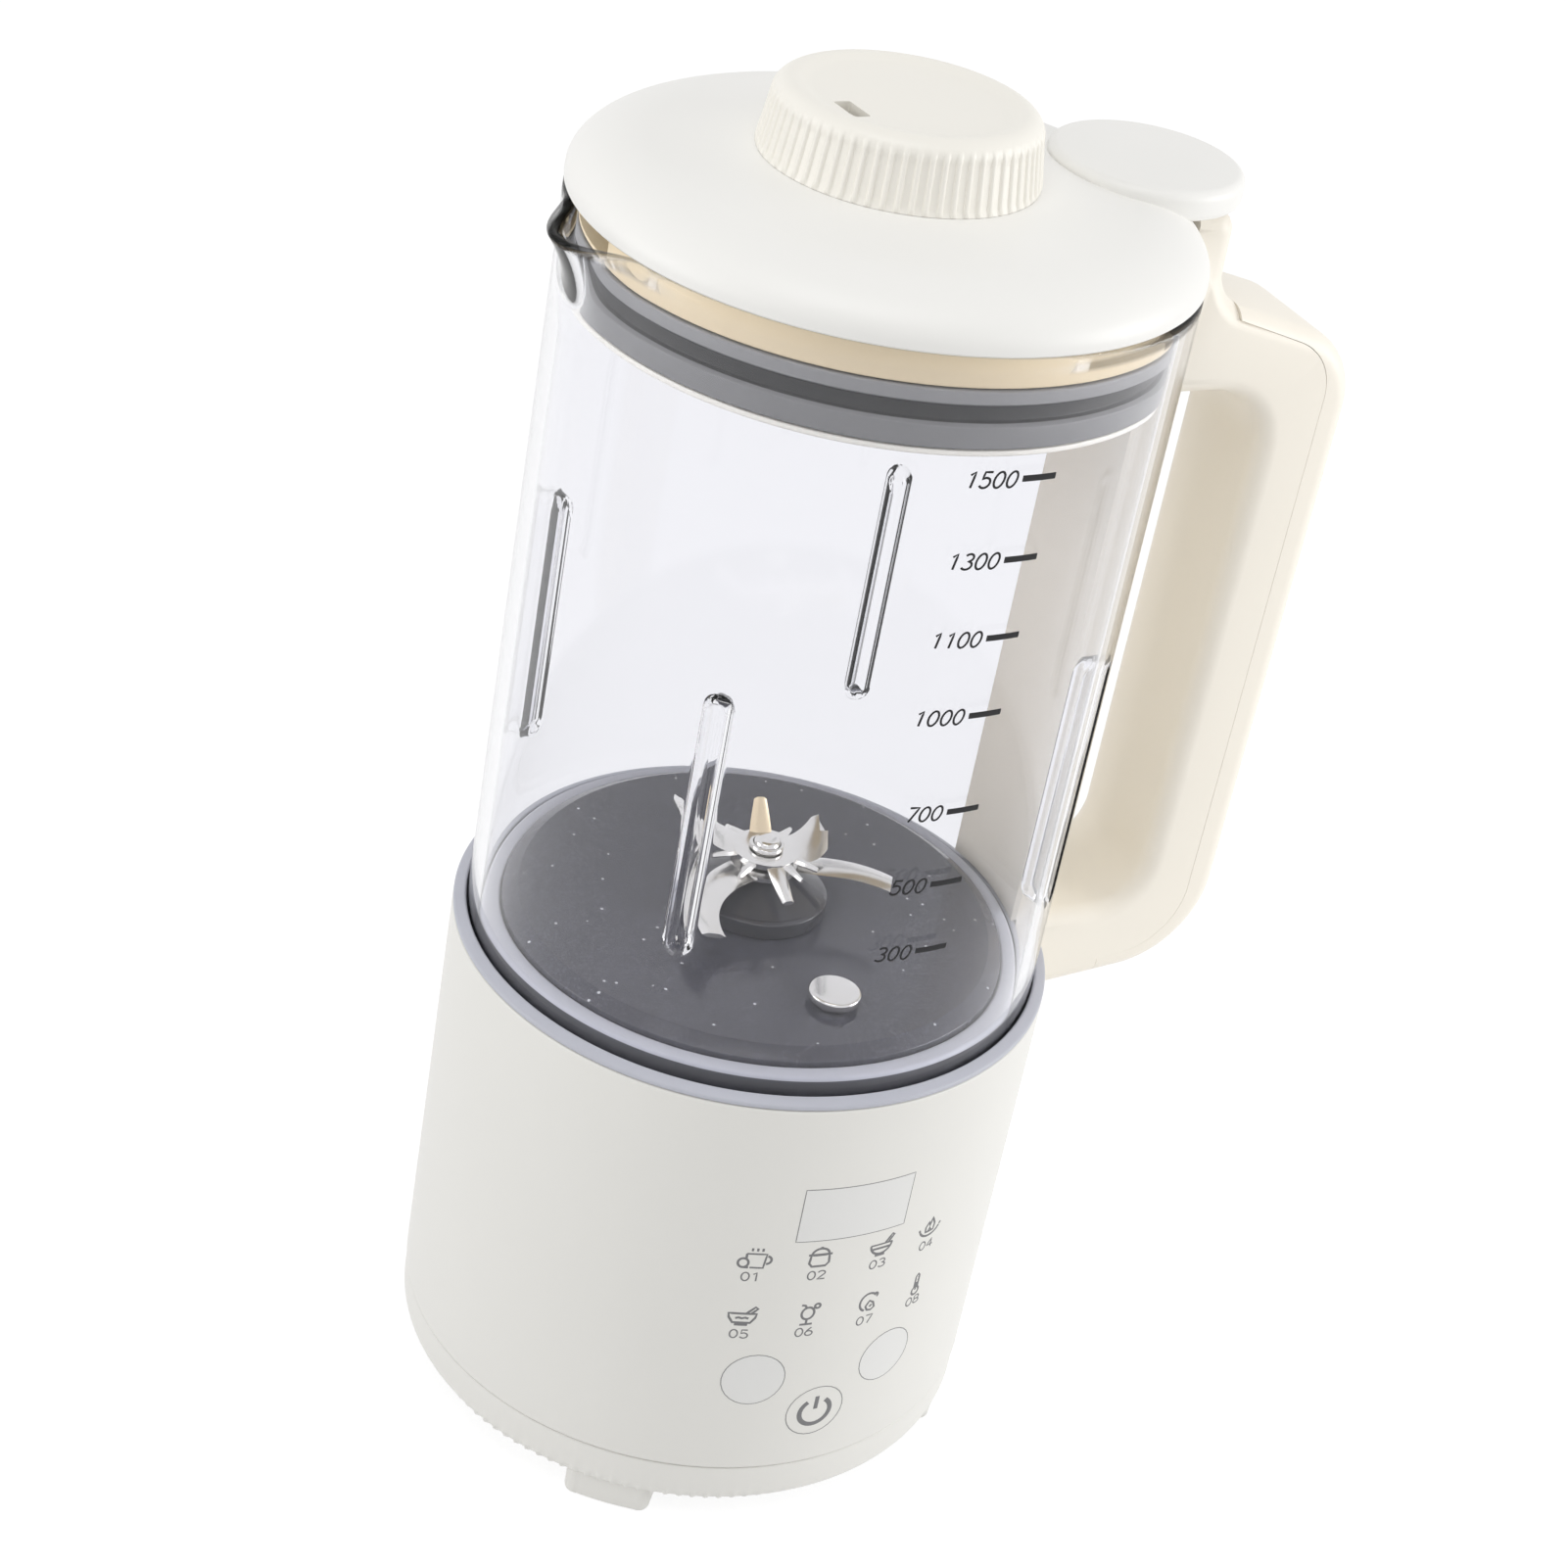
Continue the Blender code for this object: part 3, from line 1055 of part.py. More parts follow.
def make_blades(rotor):
    low_middle = BLADE_LOW_Z + BLADE_SHEET / 2
    hub = turned("hub", [(0, BLADE_LOW_Z + BLADE_SHEET), (BLADE_HUB_RADIUS, BLADE_LOW_Z + BLADE_SHEET),
                         (BLADE_HUB_RADIUS, BLADE_LOW_Z), (0, BLADE_LOW_Z)], None, None, steps=SMALL_STEPS)
    wings = [wing("wing", LONG_WING_TURN, LONG_WING_REACH, LONG_WING_SWEEP, LONG_WING_ROOT, LONG_WING_TIP,
                  low_middle, LONG_WING_LIFT),
             wing("wing", BROAD_WING_TURN, BROAD_WING_REACH, BROAD_WING_SWEEP, BROAD_WING_ROOT,
                  BROAD_WING_TIP, low_middle, BROAD_WING_LIFT)]
    joined_blade("lower_blade", hub, wings, rotor)
    high_middle = BLADE_HIGH_Z + BLADE_SHEET / 2
    hub = turned("hub", [(0, BLADE_HIGH_Z + BLADE_SHEET), (BLADE_HUB_RADIUS, BLADE_HIGH_Z + BLADE_SHEET),
                         (BLADE_HUB_RADIUS, BLADE_HIGH_Z), (0, BLADE_HIGH_Z)], None, None, steps=SMALL_STEPS)
    wings = [wing("wing", HIGH_WING_TURN, HIGH_WING_REACH, HIGH_WING_SWEEP, HIGH_WING_ROOT, HIGH_WING_TIP,
                  high_middle, HIGH_WING_LIFT),
             wing("wing", LOBED_WING_TURN, LOBED_WING_REACH, LOBED_WING_SWEEP, LOBED_WING_ROOT,
                  LOBED_WING_TIP, high_middle, LOBED_WING_LIFT)]
    for index in range(BLADE_TOOTH_COUNT):
        turn = FULL_TURN * (index + TOOTH_TURN_SHARE) / BLADE_TOOTH_COUNT
        wings.append(wing("tooth", turn, BLADE_TOOTH_REACH, 0, BLADE_TOOTH_WIDTH,
                          BLADE_TOOTH_WIDTH * TOOTH_TIP_SHARE, high_middle, 0, 1))
    joined_blade("upper_blade", hub, wings, rotor)
    bore = SHAFT_RADIUS + FIT
    turned("blade_spacer", ring(bore, SPACER_RADIUS, SPACER_Z, SPACER_Z + SPACER_HEIGHT),
           "blade_steel", rotor, steps=SMALL_STEPS)
    turned("blade_nut", ring(bore, BLADE_NUT_RADIUS, BLADE_NUT_Z, BLADE_NUT_Z + BLADE_NUT_HEIGHT),
           "blade_steel", rotor, steps=SMALL_STEPS)
    rod("drive_shaft", SHAFT_RADIUS, SHAFT_TOP - SHAFT_BOTTOM, (0, 0, (SHAFT_TOP + SHAFT_BOTTOM) / 2),
        "blade_steel", rotor, SMALL_STEPS)


# Motor
def bolt_turns():
    return [MOTOR_BOLT_TURN, MOTOR_BOLT_TURN + math.pi]


def leg_turns():
    return [QUARTER * (index + 0.5) for index in range(4)]


def make_bracket(base, tails):
    """The metal disc under the housing's ledge that the plate's studs and the motor hang from."""
    hub = PEDESTAL_TUBE_RADIUS + 2 * FIT
    profile = ring(hub, BRACKET_RADIUS, BRACKET_UNDER, BRACKET_TOP)
    bracket = turned("motor_bracket", profile, "plain_steel", base)
    holes = []
    middle = (BRACKET_TOP + BRACKET_UNDER) / 2
    depth = BRACKET_THICKNESS + OVERRUN
    for turn in STUD_TURNS:
        holes.append(rod("hole", STUD_RADIUS + FIT, depth,
                         polar(STUD_PLACE_RADIUS, math.radians(turn), middle), None, None))
    for tail in tails:
        holes.append(rod("hole", ELEMENT_RADIUS + 2 * FIT, depth, (tail[0], tail[1], middle), None, None))
    boolean(bracket, tool_of("bracket_holes", holes, base))


def frame_with_bolt_holes(name, profile, base):
    """One of the plates that hold the motor's bearings, with a hole for each long bolt."""
    frame = turned(name, profile, "plain_steel", base, steps=SMALL_STEPS)
    middle = (profile[0][1] + profile[2][1]) / 2
    holes = [rod("hole", MOTOR_BOLT_RADIUS + FIT, END_FRAME_THICKNESS + OVERRUN,
                 polar(MOTOR_BOLT_PLACE_RADIUS, turn, middle), None, None) for turn in bolt_turns()]
    return boolean(frame, tool_of(name + "_holes", holes, base))


def make_motor(base, rotor):
    bore = BEARING_RADIUS + FIT
    cup_low = LOWER_FRAME_UNDER - BEARING_HEIGHT / 2
    frame_with_bolt_holes("motor_upper_frame",
                          ring(bore, MOTOR_RADIUS, UPPER_FRAME_UNDER, UPPER_FRAME_TOP), base)
    frame_with_bolt_holes("motor_lower_frame", [(bore, LOWER_FRAME_TOP), (MOTOR_RADIUS, LOWER_FRAME_TOP),
                                                (MOTOR_RADIUS, LOWER_FRAME_UNDER),
                                                (END_FRAME_HUB_RADIUS, LOWER_FRAME_UNDER),
                                                (END_FRAME_HUB_RADIUS, cup_low), (bore, cup_low)], base)
    profile = ring(BORE_RADIUS, BEARING_RADIUS, cup_low, cup_low + BEARING_HEIGHT)
    turned("lower_bearing", profile, "plain_steel", base, steps=SMALL_STEPS)
    profile = ring(ROTOR_RADIUS + ROTOR_AIR_GAP, MOTOR_RADIUS, STATOR_BOTTOM, STATOR_TOP)
    stator = turned("motor_stator", profile, "plain_steel", base, steps=SMALL_STEPS)
    holes = [rod("hole", MOTOR_BOLT_RADIUS + FIT, STATOR_HEIGHT + OVERRUN,
                 polar(MOTOR_BOLT_PLACE_RADIUS, turn, (STATOR_BOTTOM + STATOR_TOP) / 2), None, None)
             for turn in bolt_turns()]
    boolean(stator, tool_of("stator_holes", holes, base))
    boolean(stator, tool_of("winding_slots", winding_legs(FIT), base))
    coil_height = WINDING_HEIGHT - 2 * FIT
    coils = [turned("coil", ring(WINDING_INNER_RADIUS, WINDING_OUTER_RADIUS, low, low + coil_height),
                    None, None, steps=SMALL_STEPS)
             for low in (STATOR_TOP + FIT, STATOR_BOTTOM - WINDING_HEIGHT + FIT)]
    legs = winding_legs(0)
    add_piece("field_winding", joined_mesh(coils[0], [coils[1]] + legs), "copper", base)
    middle = (UPPER_FRAME_TOP + LOWER_FRAME_UNDER) / 2
    for side, turn in zip(("right", "left"), bolt_turns()):
        rod("motor_bolt_" + side, MOTOR_BOLT_RADIUS, UPPER_FRAME_TOP - LOWER_FRAME_UNDER,
            polar(MOTOR_BOLT_PLACE_RADIUS, turn, middle), "plain_steel", base)
    make_brushes(base)
    make_armature(rotor)


def winding_legs(gap):
    """The coil's sides, which pass down through the stator's slots, or the slots, wider by a gap."""
    middle = (WINDING_INNER_RADIUS + WINDING_OUTER_RADIUS) / 2
    reach = STATOR_HEIGHT + WINDING_HEIGHT
    size = (WINDING_LEG_WIDTH + 2 * gap, WINDING_LEG_DEPTH + 2 * gap, reach)
    return [block("leg", size, polar(middle, turn, (STATOR_TOP + STATOR_BOTTOM) / 2), None, None, turn)
            for turn in leg_turns()]


def make_brushes(base):
    """Two carbon brushes in their sleeves, facing each other across the commutator."""
    middle = (COMMUTATOR_TOP + COMMUTATOR_BOTTOM) / 2
    centre = COMMUTATOR_RADIUS + FIT + BRUSH_LENGTH / 2
    sleeve_height = COMMUTATOR_TOP - LOWER_FRAME_TOP - 2 * FIT
    sleeve_middle = LOWER_FRAME_TOP + FIT + sleeve_height / 2
    for name, side in (("right", 1), ("left", -1)):
        block("carbon_brush_" + name, (BRUSH_LENGTH, BRUSH_WIDTH, BRUSH_HEIGHT), (side * centre, 0, middle),
              "dark_plastic", base)
        size = (BRUSH_LENGTH * BRUSH_SLEEVE_SHARE, BRUSH_WIDTH + 2 * BRUSH_SLEEVE_WALL, sleeve_height)
        sleeve = block("brush_holder_" + name, size,
                       (side * (centre + BRUSH_LENGTH * (1 - BRUSH_SLEEVE_SHARE)), 0, sleeve_middle),
                       "brass_contact", base)
        slot = block("brush_slot_" + name, (BRUSH_LENGTH * 2, BRUSH_WIDTH + 2 * FIT, BRUSH_HEIGHT + 2 * FIT),
                     (side * centre, 0, middle), None, base)
        boolean(sleeve, slot)


def make_armature(rotor):
    bore = SHAFT_RADIUS + FIT
    dome = WINDING_HEIGHT * WINDING_DOME_SHARE
    waist = ARMATURE_WINDING_RADIUS
    profile = [(bore, STATOR_TOP + dome), (waist * WINDING_DOME_SHARE, STATOR_TOP + dome),
               (waist, STATOR_TOP), (ROTOR_RADIUS, STATOR_TOP), (ROTOR_RADIUS, STATOR_BOTTOM),
               (waist, STATOR_BOTTOM),
               (waist * WINDING_DOME_SHARE, STATOR_BOTTOM - dome), (bore, STATOR_BOTTOM - dome)]
    turned("motor_rotor", profile, "copper", rotor, steps=SMALL_STEPS)
    turned("commutator", ring(bore, COMMUTATOR_RADIUS, COMMUTATOR_BOTTOM + FIT, STATOR_BOTTOM - dome - FIT),
           "brass_contact", rotor, steps=SMALL_STEPS)
    plate_top = FAN_BOTTOM + FAN_PLATE
    fan = turned("cooling_fan", [(bore, FAN_TOP - FIT), (FAN_HUB_RADIUS, FAN_TOP - FIT),
                                 (FAN_HUB_RADIUS, plate_top), (FAN_RADIUS, plate_top),
                                 (FAN_RADIUS, FAN_BOTTOM), (bore, FAN_BOTTOM)],
                 "dark_plastic", rotor, steps=SMALL_STEPS)
    reach = FAN_RADIUS - FAN_HUB_RADIUS
    blades = []
    for index in range(FAN_BLADE_COUNT):
        turn = FULL_TURN * index / FAN_BLADE_COUNT
        low = FAN_BOTTOM + FAN_PLATE / 2
        high = FAN_TOP - 2 * FIT
        blades.append(block("fan_blade", (FAN_BLADE_THICKNESS, reach * FAN_BLADE_SHARE, high - low),
                            polar(FAN_HUB_RADIUS + reach / 2, turn, (low + high) / 2), None, None, turn))
    boolean(fan, tool_of("fan_blades", blades, rotor), "UNION")


# Electrics
def make_power_board(base):
    """The board on the cover's posts, with the parts that are soldered to it."""
    board = block("power_board", (POWER_BOARD_LENGTH, POWER_BOARD_WIDTH, BOARD_THICKNESS),
                  (0, 0, POWER_BOARD_Z + BOARD_THICKNESS / 2), "board_green", base)
    low = POWER_BOARD_Z + BOARD_THICKNESS / 2
    across = POWER_BOARD_LENGTH / 2 - POWER_BOARD_EDGE
    along = POWER_BOARD_WIDTH / 2 - POWER_BOARD_EDGE
    parts = [block("transformer", TRANSFORMER_SIZE,
                   (across - TRANSFORMER_SIZE[0] / 2, 0, low + TRANSFORMER_SIZE[2] / 2), None, None),
             block("relay", RELAY_SIZE, (RELAY_SIZE[0] / 2 - across, along - RELAY_SIZE[1] / 2,
                                         low + RELAY_SIZE[2] / 2), None, None)]
    for row in (0, 1):
        parts.append(rod("capacitor", CAPACITOR_RADIUS, CAPACITOR_HEIGHT,
                         (CAPACITOR_RADIUS - across + row * CAPACITOR_PITCH, CAPACITOR_RADIUS - along,
                          low + CAPACITOR_HEIGHT / 2), None, None))
    boolean(board, tool_of("soldered_parts", parts, base), "UNION")


def make_touch_board(base):
    """The board behind the front panel, with the contact springs that reach from it to the wall."""
    front = TOUCH_BOARD_PLACE + BOARD_THICKNESS / 2
    board = block("touch_board", (TOUCH_BOARD_WIDTH, BOARD_THICKNESS, TOUCH_BOARD_HEIGHT),
                  (0, -TOUCH_BOARD_PLACE, TOUCH_BOARD_BOTTOM + TOUCH_BOARD_HEIGHT / 2), "board_green", base)
    springs = []
    keys = [(turn, WINDOW_CENTRE_Z - step) for step in KEY_ROW_STEPS for turn in KEY_TURNS]
    keys += [(turn, WINDOW_CENTRE_Z - step) for turn, step in zip(ROUND_KEY_TURNS, ROUND_KEY_STEPS)]
    for turn, height in keys:
        across = HOUSING_BORE * math.sin(math.radians(turn))
        wall = flat_wall(abs(across) + TOUCH_SPRING_RADIUS)
        springs.append(rod("touch_spring", TOUCH_SPRING_RADIUS, wall - TOUCH_BOARD_PLACE,
                           (across, -(TOUCH_BOARD_PLACE + wall) / 2, height), None, None, 8, along="Y"))
    boolean(board, tool_of("touch_springs", springs, base), "UNION")
    depth = flat_wall(WINDOW_WIDTH / 2) - front - FIT
    block("display_module", (WINDOW_WIDTH, depth, WINDOW_HEIGHT),
          (0, -(front + FIT + depth / 2), WINDOW_CENTRE_Z), "dark_plastic", base)


def flat_wall(half_width):
    """How far out a flat face of this half width can lie inside the housing's faceted wall."""
    return math.sqrt(HOUSING_BORE ** 2 - half_width ** 2) * math.cos(math.pi / STEPS) - FIT


def make_power_inlet(base):
    """The socket at the back: a sleeve through the wall, a flange inside it and three moulded-in pins."""
    face = math.sqrt(HOUSING_RADIUS ** 2 - (INLET_WIDTH / 2) ** 2) - INLET_FACE_SETBACK / 2
    back = face - INLET_CAVITY_DEPTH - INLET_WALL
    inlet = block("power_inlet", (INLET_WIDTH, face - back, INLET_HEIGHT),
                  (0, (face + back) / 2, INLET_CENTRE_Z), "dark_plastic", base)
    flange_half = INLET_WIDTH / 2 + INLET_FLANGE
    flange = block("inlet_flange", (2 * flange_half, INLET_FLANGE_THICKNESS, INLET_HEIGHT + 2 * INLET_FLANGE),
                   (0, flat_wall(flange_half) - INLET_FLANGE_THICKNESS / 2, INLET_CENTRE_Z), None, base)
    boolean(inlet, flange, "UNION")
    cavity = block("inlet_cavity", (INLET_WIDTH - 2 * INLET_WALL, INLET_CAVITY_DEPTH + OVERRUN,
                                    INLET_HEIGHT - 2 * INLET_WALL),
                   (0, face - INLET_CAVITY_DEPTH / 2 + OVERRUN / 2, INLET_CENTRE_Z), None, base)
    boolean(inlet, cavity)
    width, length, height = INLET_PIN_SIZE
    start = back + INLET_WALL / 2
    end = back + INLET_WALL + length
    places = [(side * INLET_PIN_SPREAD, INLET_CENTRE_Z - INLET_PIN_STEP) for side in (-1, 1)]
    places.append((0, INLET_CENTRE_Z + INLET_PIN_STEP))
    pins = [block("pin", (width, end - start, height), (across, (start + end) / 2, up), None, None)
            for across, up in places]
    boolean(inlet, tool_of("inlet_pins", pins, base), "UNION")


# Lid, which lifts off
def lid_outline(drop):
    """Half of the lid's top from its centre bore to its edge, moved in by a wall thickness."""
    round_centre = (LID_RADIUS - LID_ROUND_WIDTH, LID_EDGE_Z + LID_EDGE_WALL_HEIGHT)
    radii = (LID_ROUND_WIDTH - drop, LID_ROUND_HEIGHT - drop)
    arc = arc_profile(round_centre, radii, QUARTER, 0, LID_ROUND_POINTS)
    return [(CAP_SEAT_RADIUS, LID_TOP - drop)] + arc


def make_lid(lid):
    bore = CAP_BORE_RADIUS
    collar = CAP_BORE_RADIUS + CAP_COLLAR_WALL
    collar_low = LID_TOP - CAP_COLLAR_DEPTH
    outer = lid_outline(0)
    inner = lid_outline(LID_WALL)
    rim_inner = SKIRT_RADIUS - SKIRT_WALL
    profile = [(bore, LID_TOP)] + outer + [(LID_RADIUS, LID_EDGE_Z), (rim_inner, LID_EDGE_Z)]
    profile += [(rim_inner, inner[-1][1])] + [point for point in inner[::-1] if point[0] < rim_inner]
    profile += [(collar, LID_TOP - LID_WALL), (collar, collar_low), (bore, collar_low)]
    dome = turned("lid_dome", profile, "lid_white", lid)
    pad = turned("pad", [(0, PAD_TOP), (PAD_RADIUS - PAD_ROUNDING, PAD_TOP),
                         (PAD_RADIUS - PAD_ROUNDING * FACET_SHARE, PAD_TOP - PAD_ROUNDING * FACET_SHARE),
                         (PAD_RADIUS, PAD_TOP - PAD_ROUNDING), (PAD_RADIUS, PAD_UNDER + PAD_ROUNDING / 2),
                         (PAD_RADIUS - PAD_ROUNDING / 2, PAD_UNDER), (0, PAD_UNDER)], None, lid,
                 (PAD_PLACE_RADIUS, 0, 0), STEPS // 2)
    boolean(dome, pad, "UNION")


def make_skirt(lid):
    web_bore = CAP_BORE_RADIUS + CAP_COLLAR_WALL + FIT
    inner = SKIRT_RADIUS - SKIRT_WALL
    low_inner = SKIRT_GROOVE_RADIUS - SKIRT_WALL
    shelf = SKIRT_STEP_Z + SKIRT_WALL
    profile = [(web_bore, WEB_TOP), (SKIRT_RADIUS, WEB_TOP), (SKIRT_RADIUS, SKIRT_STEP_Z),
               (SKIRT_GROOVE_RADIUS, SKIRT_STEP_Z), (SKIRT_GROOVE_RADIUS, SKIRT_BOTTOM),
               (low_inner, SKIRT_BOTTOM), (low_inner, shelf - SKIRT_WALL / 2), (inner, shelf),
               (inner, WEB_UNDER), (web_bore, WEB_UNDER)]
    skirt = turned("lid_skirt", profile, "skirt_tan", lid)
    for index, turn in enumerate(WINDOW_TURNS):
        window = sector("skirt_window_%d" % index, low_inner - SKIRT_WALL, SKIRT_RADIUS + OVERRUN,
                        WINDOW_ARC / 2, lid, SKIRT_STEP_Z + WINDOW_SILL, WEB_TOP + OVERRUN,
                        math.radians(turn))
        boolean(skirt, window)


def make_gasket(lid):
    back = SKIRT_GROOVE_RADIUS + FIT
    valley = back + GASKET_BACK_WALL
    top = SKIRT_STEP_Z - FIT
    lip_low = top - GASKET_TOP_LIP
    groove_low = lip_low - GASKET_GAP
    low = groove_low - GASKET_LOW_LIP
    slope = GASKET_TOP_LIP / 4
    profile = [(back, top), (GASKET_LIP_RADIUS, top), (GASKET_LIP_RADIUS, lip_low + slope),
               (valley, lip_low), (valley, groove_low), (GASKET_LIP_RADIUS, groove_low - slope),
               (GASKET_LIP_RADIUS, low), (back, low)]
    turned("lid_gasket", profile, "silicone_grey", lid)
    hook_outer = SKIRT_GROOVE_RADIUS - SKIRT_WALL - FIT
    hook_inner = hook_outer - RETAINER_HOOK_WALL
    plate_top = SKIRT_BOTTOM - FIT
    plate_low = plate_top - RETAINER_THICKNESS
    hook_top = plate_top + RETAINER_HOOK_HEIGHT
    profile = [(hook_outer, plate_top), (GASKET_LIP_RADIUS - FIT, plate_top),
               (GASKET_LIP_RADIUS - FIT, plate_low), (hook_inner, plate_low),
               (hook_inner, hook_top), (hook_outer, hook_top)]
    turned("gasket_retainer", profile, "lid_white", lid)


# Ribbed cap, which twists in the lid's bore
def make_vent_cap(cap):
    side_low = CAP_BOTTOM
    side_top = CAP_TOP - CAP_ROUNDING
    plug_low = CAP_BOTTOM - CAP_PLUG_DEPTH
    plug_inner = CAP_PLUG_RADIUS - CAP_PLUG_WALL
    groove = CAP_PLUG_RADIUS - CAP_SEAL_GROOVE
    seal_low = plug_low + CAP_SEAL_PLACE
    seal_top = seal_low + CAP_SEAL_HEIGHT
    roof = CAP_TOP - CAP_DISH - CAP_WALL
    wall_inner = CAP_BASE_RADIUS - CAP_WALL
    profile = [(0, CAP_TOP - CAP_DISH), (CAP_TOP_RADIUS * DISH_SHARE, CAP_TOP - CAP_DISH * DISH_SHARE),
               (CAP_TOP_RADIUS - CAP_ROUNDING, CAP_TOP),
               (CAP_TOP_RADIUS - CAP_ROUNDING * FACET_SHARE, CAP_TOP - CAP_ROUNDING * FACET_SHARE),
               (CAP_TOP_RADIUS, side_top), (CAP_BASE_RADIUS, side_low), (wall_inner, side_low),
               (CAP_TOP_RADIUS - CAP_WALL, roof), (CAP_PLUG_RADIUS, roof), (CAP_PLUG_RADIUS, seal_top),
               (groove, seal_top), (groove, seal_low), (CAP_PLUG_RADIUS, seal_low),
               (CAP_PLUG_RADIUS, plug_low), (plug_inner, plug_low), (plug_inner, roof), (0, roof)]
    vent_cap = turned("vent_cap", profile, "lid_white", cap)
    notch = block("cap_notch", (NOTCH_LENGTH, NOTCH_WIDTH, CAP_WALL + 2 * OVERRUN),
                  polar(NOTCH_PLACE_RADIUS, NOTCH_TURN, CAP_TOP - CAP_WALL / 2), None, cap,
                  NOTCH_TURN + NOTCH_SKEW)
    boolean(vent_cap, notch)
    turned("vent_cap_seal", ring(groove + FIT, CAP_BORE_RADIUS - FIT, seal_low + FIT, seal_top - FIT),
           "silicone_grey", cap)


# Handle
def handle_outline():
    """The handle from the side, as (radius, height, fillet) corners from the neck round to the finger gap."""
    shoulder_low = NECK_TOP - SHOULDER_INNER_DROP
    return rounded([
        (HANDLE_ROOT_RADIUS, NECK_TOP, 0),
        (NECK_RADIUS, NECK_TOP, NECK_CORNER),
        (NECK_RADIUS, shoulder_low, SHOULDER_INNER_FILLET),
        (GRIP_OUTER_RADIUS, NECK_TOP - SHOULDER_OUTER_DROP, SHOULDER_FILLET),
        (GRIP_OUTER_RADIUS, HEEL_OUTER_Z, HEEL_FILLET),
        (HANDLE_ROOT_RADIUS, HEEL_INNER_Z, 0),
        (HANDLE_ROOT_RADIUS, GAP_BOTTOM_Z, 0),
        (GRIP_INNER_RADIUS, GAP_BOTTOM_Z, GAP_BOTTOM_FILLET),
        (GRIP_INNER_RADIUS, GAP_TOP_Z, GAP_TOP_FILLET),
        (HANDLE_ROOT_RADIUS, GAP_TOP_Z, 0),
    ])


def seam_outline(gap):
    """The region of the outer cover, bounded inwards by the seam that shows on the handle's side."""
    beyond = GRIP_OUTER_RADIUS + HEEL_FILLET
    over = NECK_TOP + HEEL_FILLET
    below = HEEL_INNER_Z - HEEL_FILLET
    line = GRIP_OUTER_RADIUS - SEAM_DEPTH - gap
    start = SEAM_START_RADIUS - gap
    heel = SEAM_HEEL_RADIUS - gap
    top = NECK_TOP - SHOULDER_INNER_DROP - SEAM_START_DROP - gap
    return rounded([
        (start, over, 0),
        (start, top, 0),
        (line, NECK_TOP - SHOULDER_OUTER_DROP - SEAM_SHOULDER_DROP - gap, SEAM_TOP_FILLET),
        (line, HEEL_OUTER_Z + SEAM_HEEL_RISE + gap, SEAM_HEEL_FILLET),
        (heel, HEEL_INNER_Z + SEAM_END_RISE + gap, 0),
        (heel, below, 0),
        (beyond, below, 0),
        (beyond, over, 0),
    ])


def handle_body(name, base):
    body = extruded(name, handle_outline(), HANDLE_HALF_WIDTH, "shell_cream", base)
    bevel(body, HANDLE_EDGE_ROUNDING, 3, math.radians(60))
    return body


def make_handle(base):
    cover = handle_body("handle_cover", base)
    region = extruded("cover_region", seam_outline(0), HANDLE_HALF_WIDTH + OVERRUN, None, base)
    boolean(cover, region, "INTERSECT")
    grip = handle_body("handle_grip", base)
    wider = extruded("cover_region_with_gap", seam_outline(FIT), HANDLE_HALF_WIDTH + OVERRUN, None, base)
    boolean(grip, wider)
    middle_z = (GAP_TOP_Z + GAP_BOTTOM_Z) / 2
    inner = GRIP_INNER_RADIUS + GRIP_CAVITY_WALL
    outer = GRIP_OUTER_RADIUS - GRIP_CAVITY_WALL
    cavity_width = 2 * (HANDLE_HALF_WIDTH - GRIP_CAVITY_WALL)
    cavity = block("grip_cavity", (outer - inner, cavity_width, GRIP_CAVITY_LENGTH),
                   ((inner + outer) / 2, 0, middle_z), None, base)
    boolean(grip, cavity)
    boolean(cover, cavity)
    high = NECK_TOP + OVERRUN
    low = HEEL_INNER_Z - OVERRUN
    clear_glass = turned("spine_space", [(0, high), (HANDLE_ROOT, high), (HANDLE_ROOT, RING_TOP + FIT),
                                         (HOUSING_RADIUS + FIT, RING_TOP + FIT),
                                         (HOUSING_RADIUS + FIT, low), (0, low)], None, base)
    boolean(grip, clear_glass)
    bore = rod("plunger_bore", PLUNGER_RADIUS + FIT, NECK_TOP - SWITCH_TOP + OVERRUN,
               (PLUNGER_PLACE, 0, (NECK_TOP + SWITCH_TOP + OVERRUN) / 2), None, base)
    boolean(grip, bore)
    room = block("switch_room", tuple(side + 2 * FIT for side in SWITCH_SIZE),
                 (PLUNGER_PLACE, 0, SWITCH_TOP - SWITCH_SIZE[2] / 2), None, base)
    boolean(grip, room)
    for side in (-1, 1):
        hole = rod("handle_screw_bore", HANDLE_SCREW_RADIUS + FIT, 2 * HANDLE_SCREW_LENGTH,
                   (HOUSING_BORE, side * HANDLE_SCREW_SPREAD, HANDLE_SCREW_Z), None, base, along="X")
        boolean(grip, hole)
    return grip


def make_spine(base):
    """The cream strip that lies on the outside of the glass between the handle's two arms."""
    low = RING_TOP + 2 * FIT
    high = GLASS_TOP - SPINE_TOP_DROP
    spine = turned("handle_spine", ring(SPINE_INNER, SPINE_OUTER, low, high), "shell_cream", base)
    boolean(spine, sector("spine_sector", GLASS_INNER, HOUSING_RADIUS + OVERRUN, SPINE_HALF_ANGLE, base,
                          low - OVERRUN, high + OVERRUN, QUARTER), "INTERSECT")


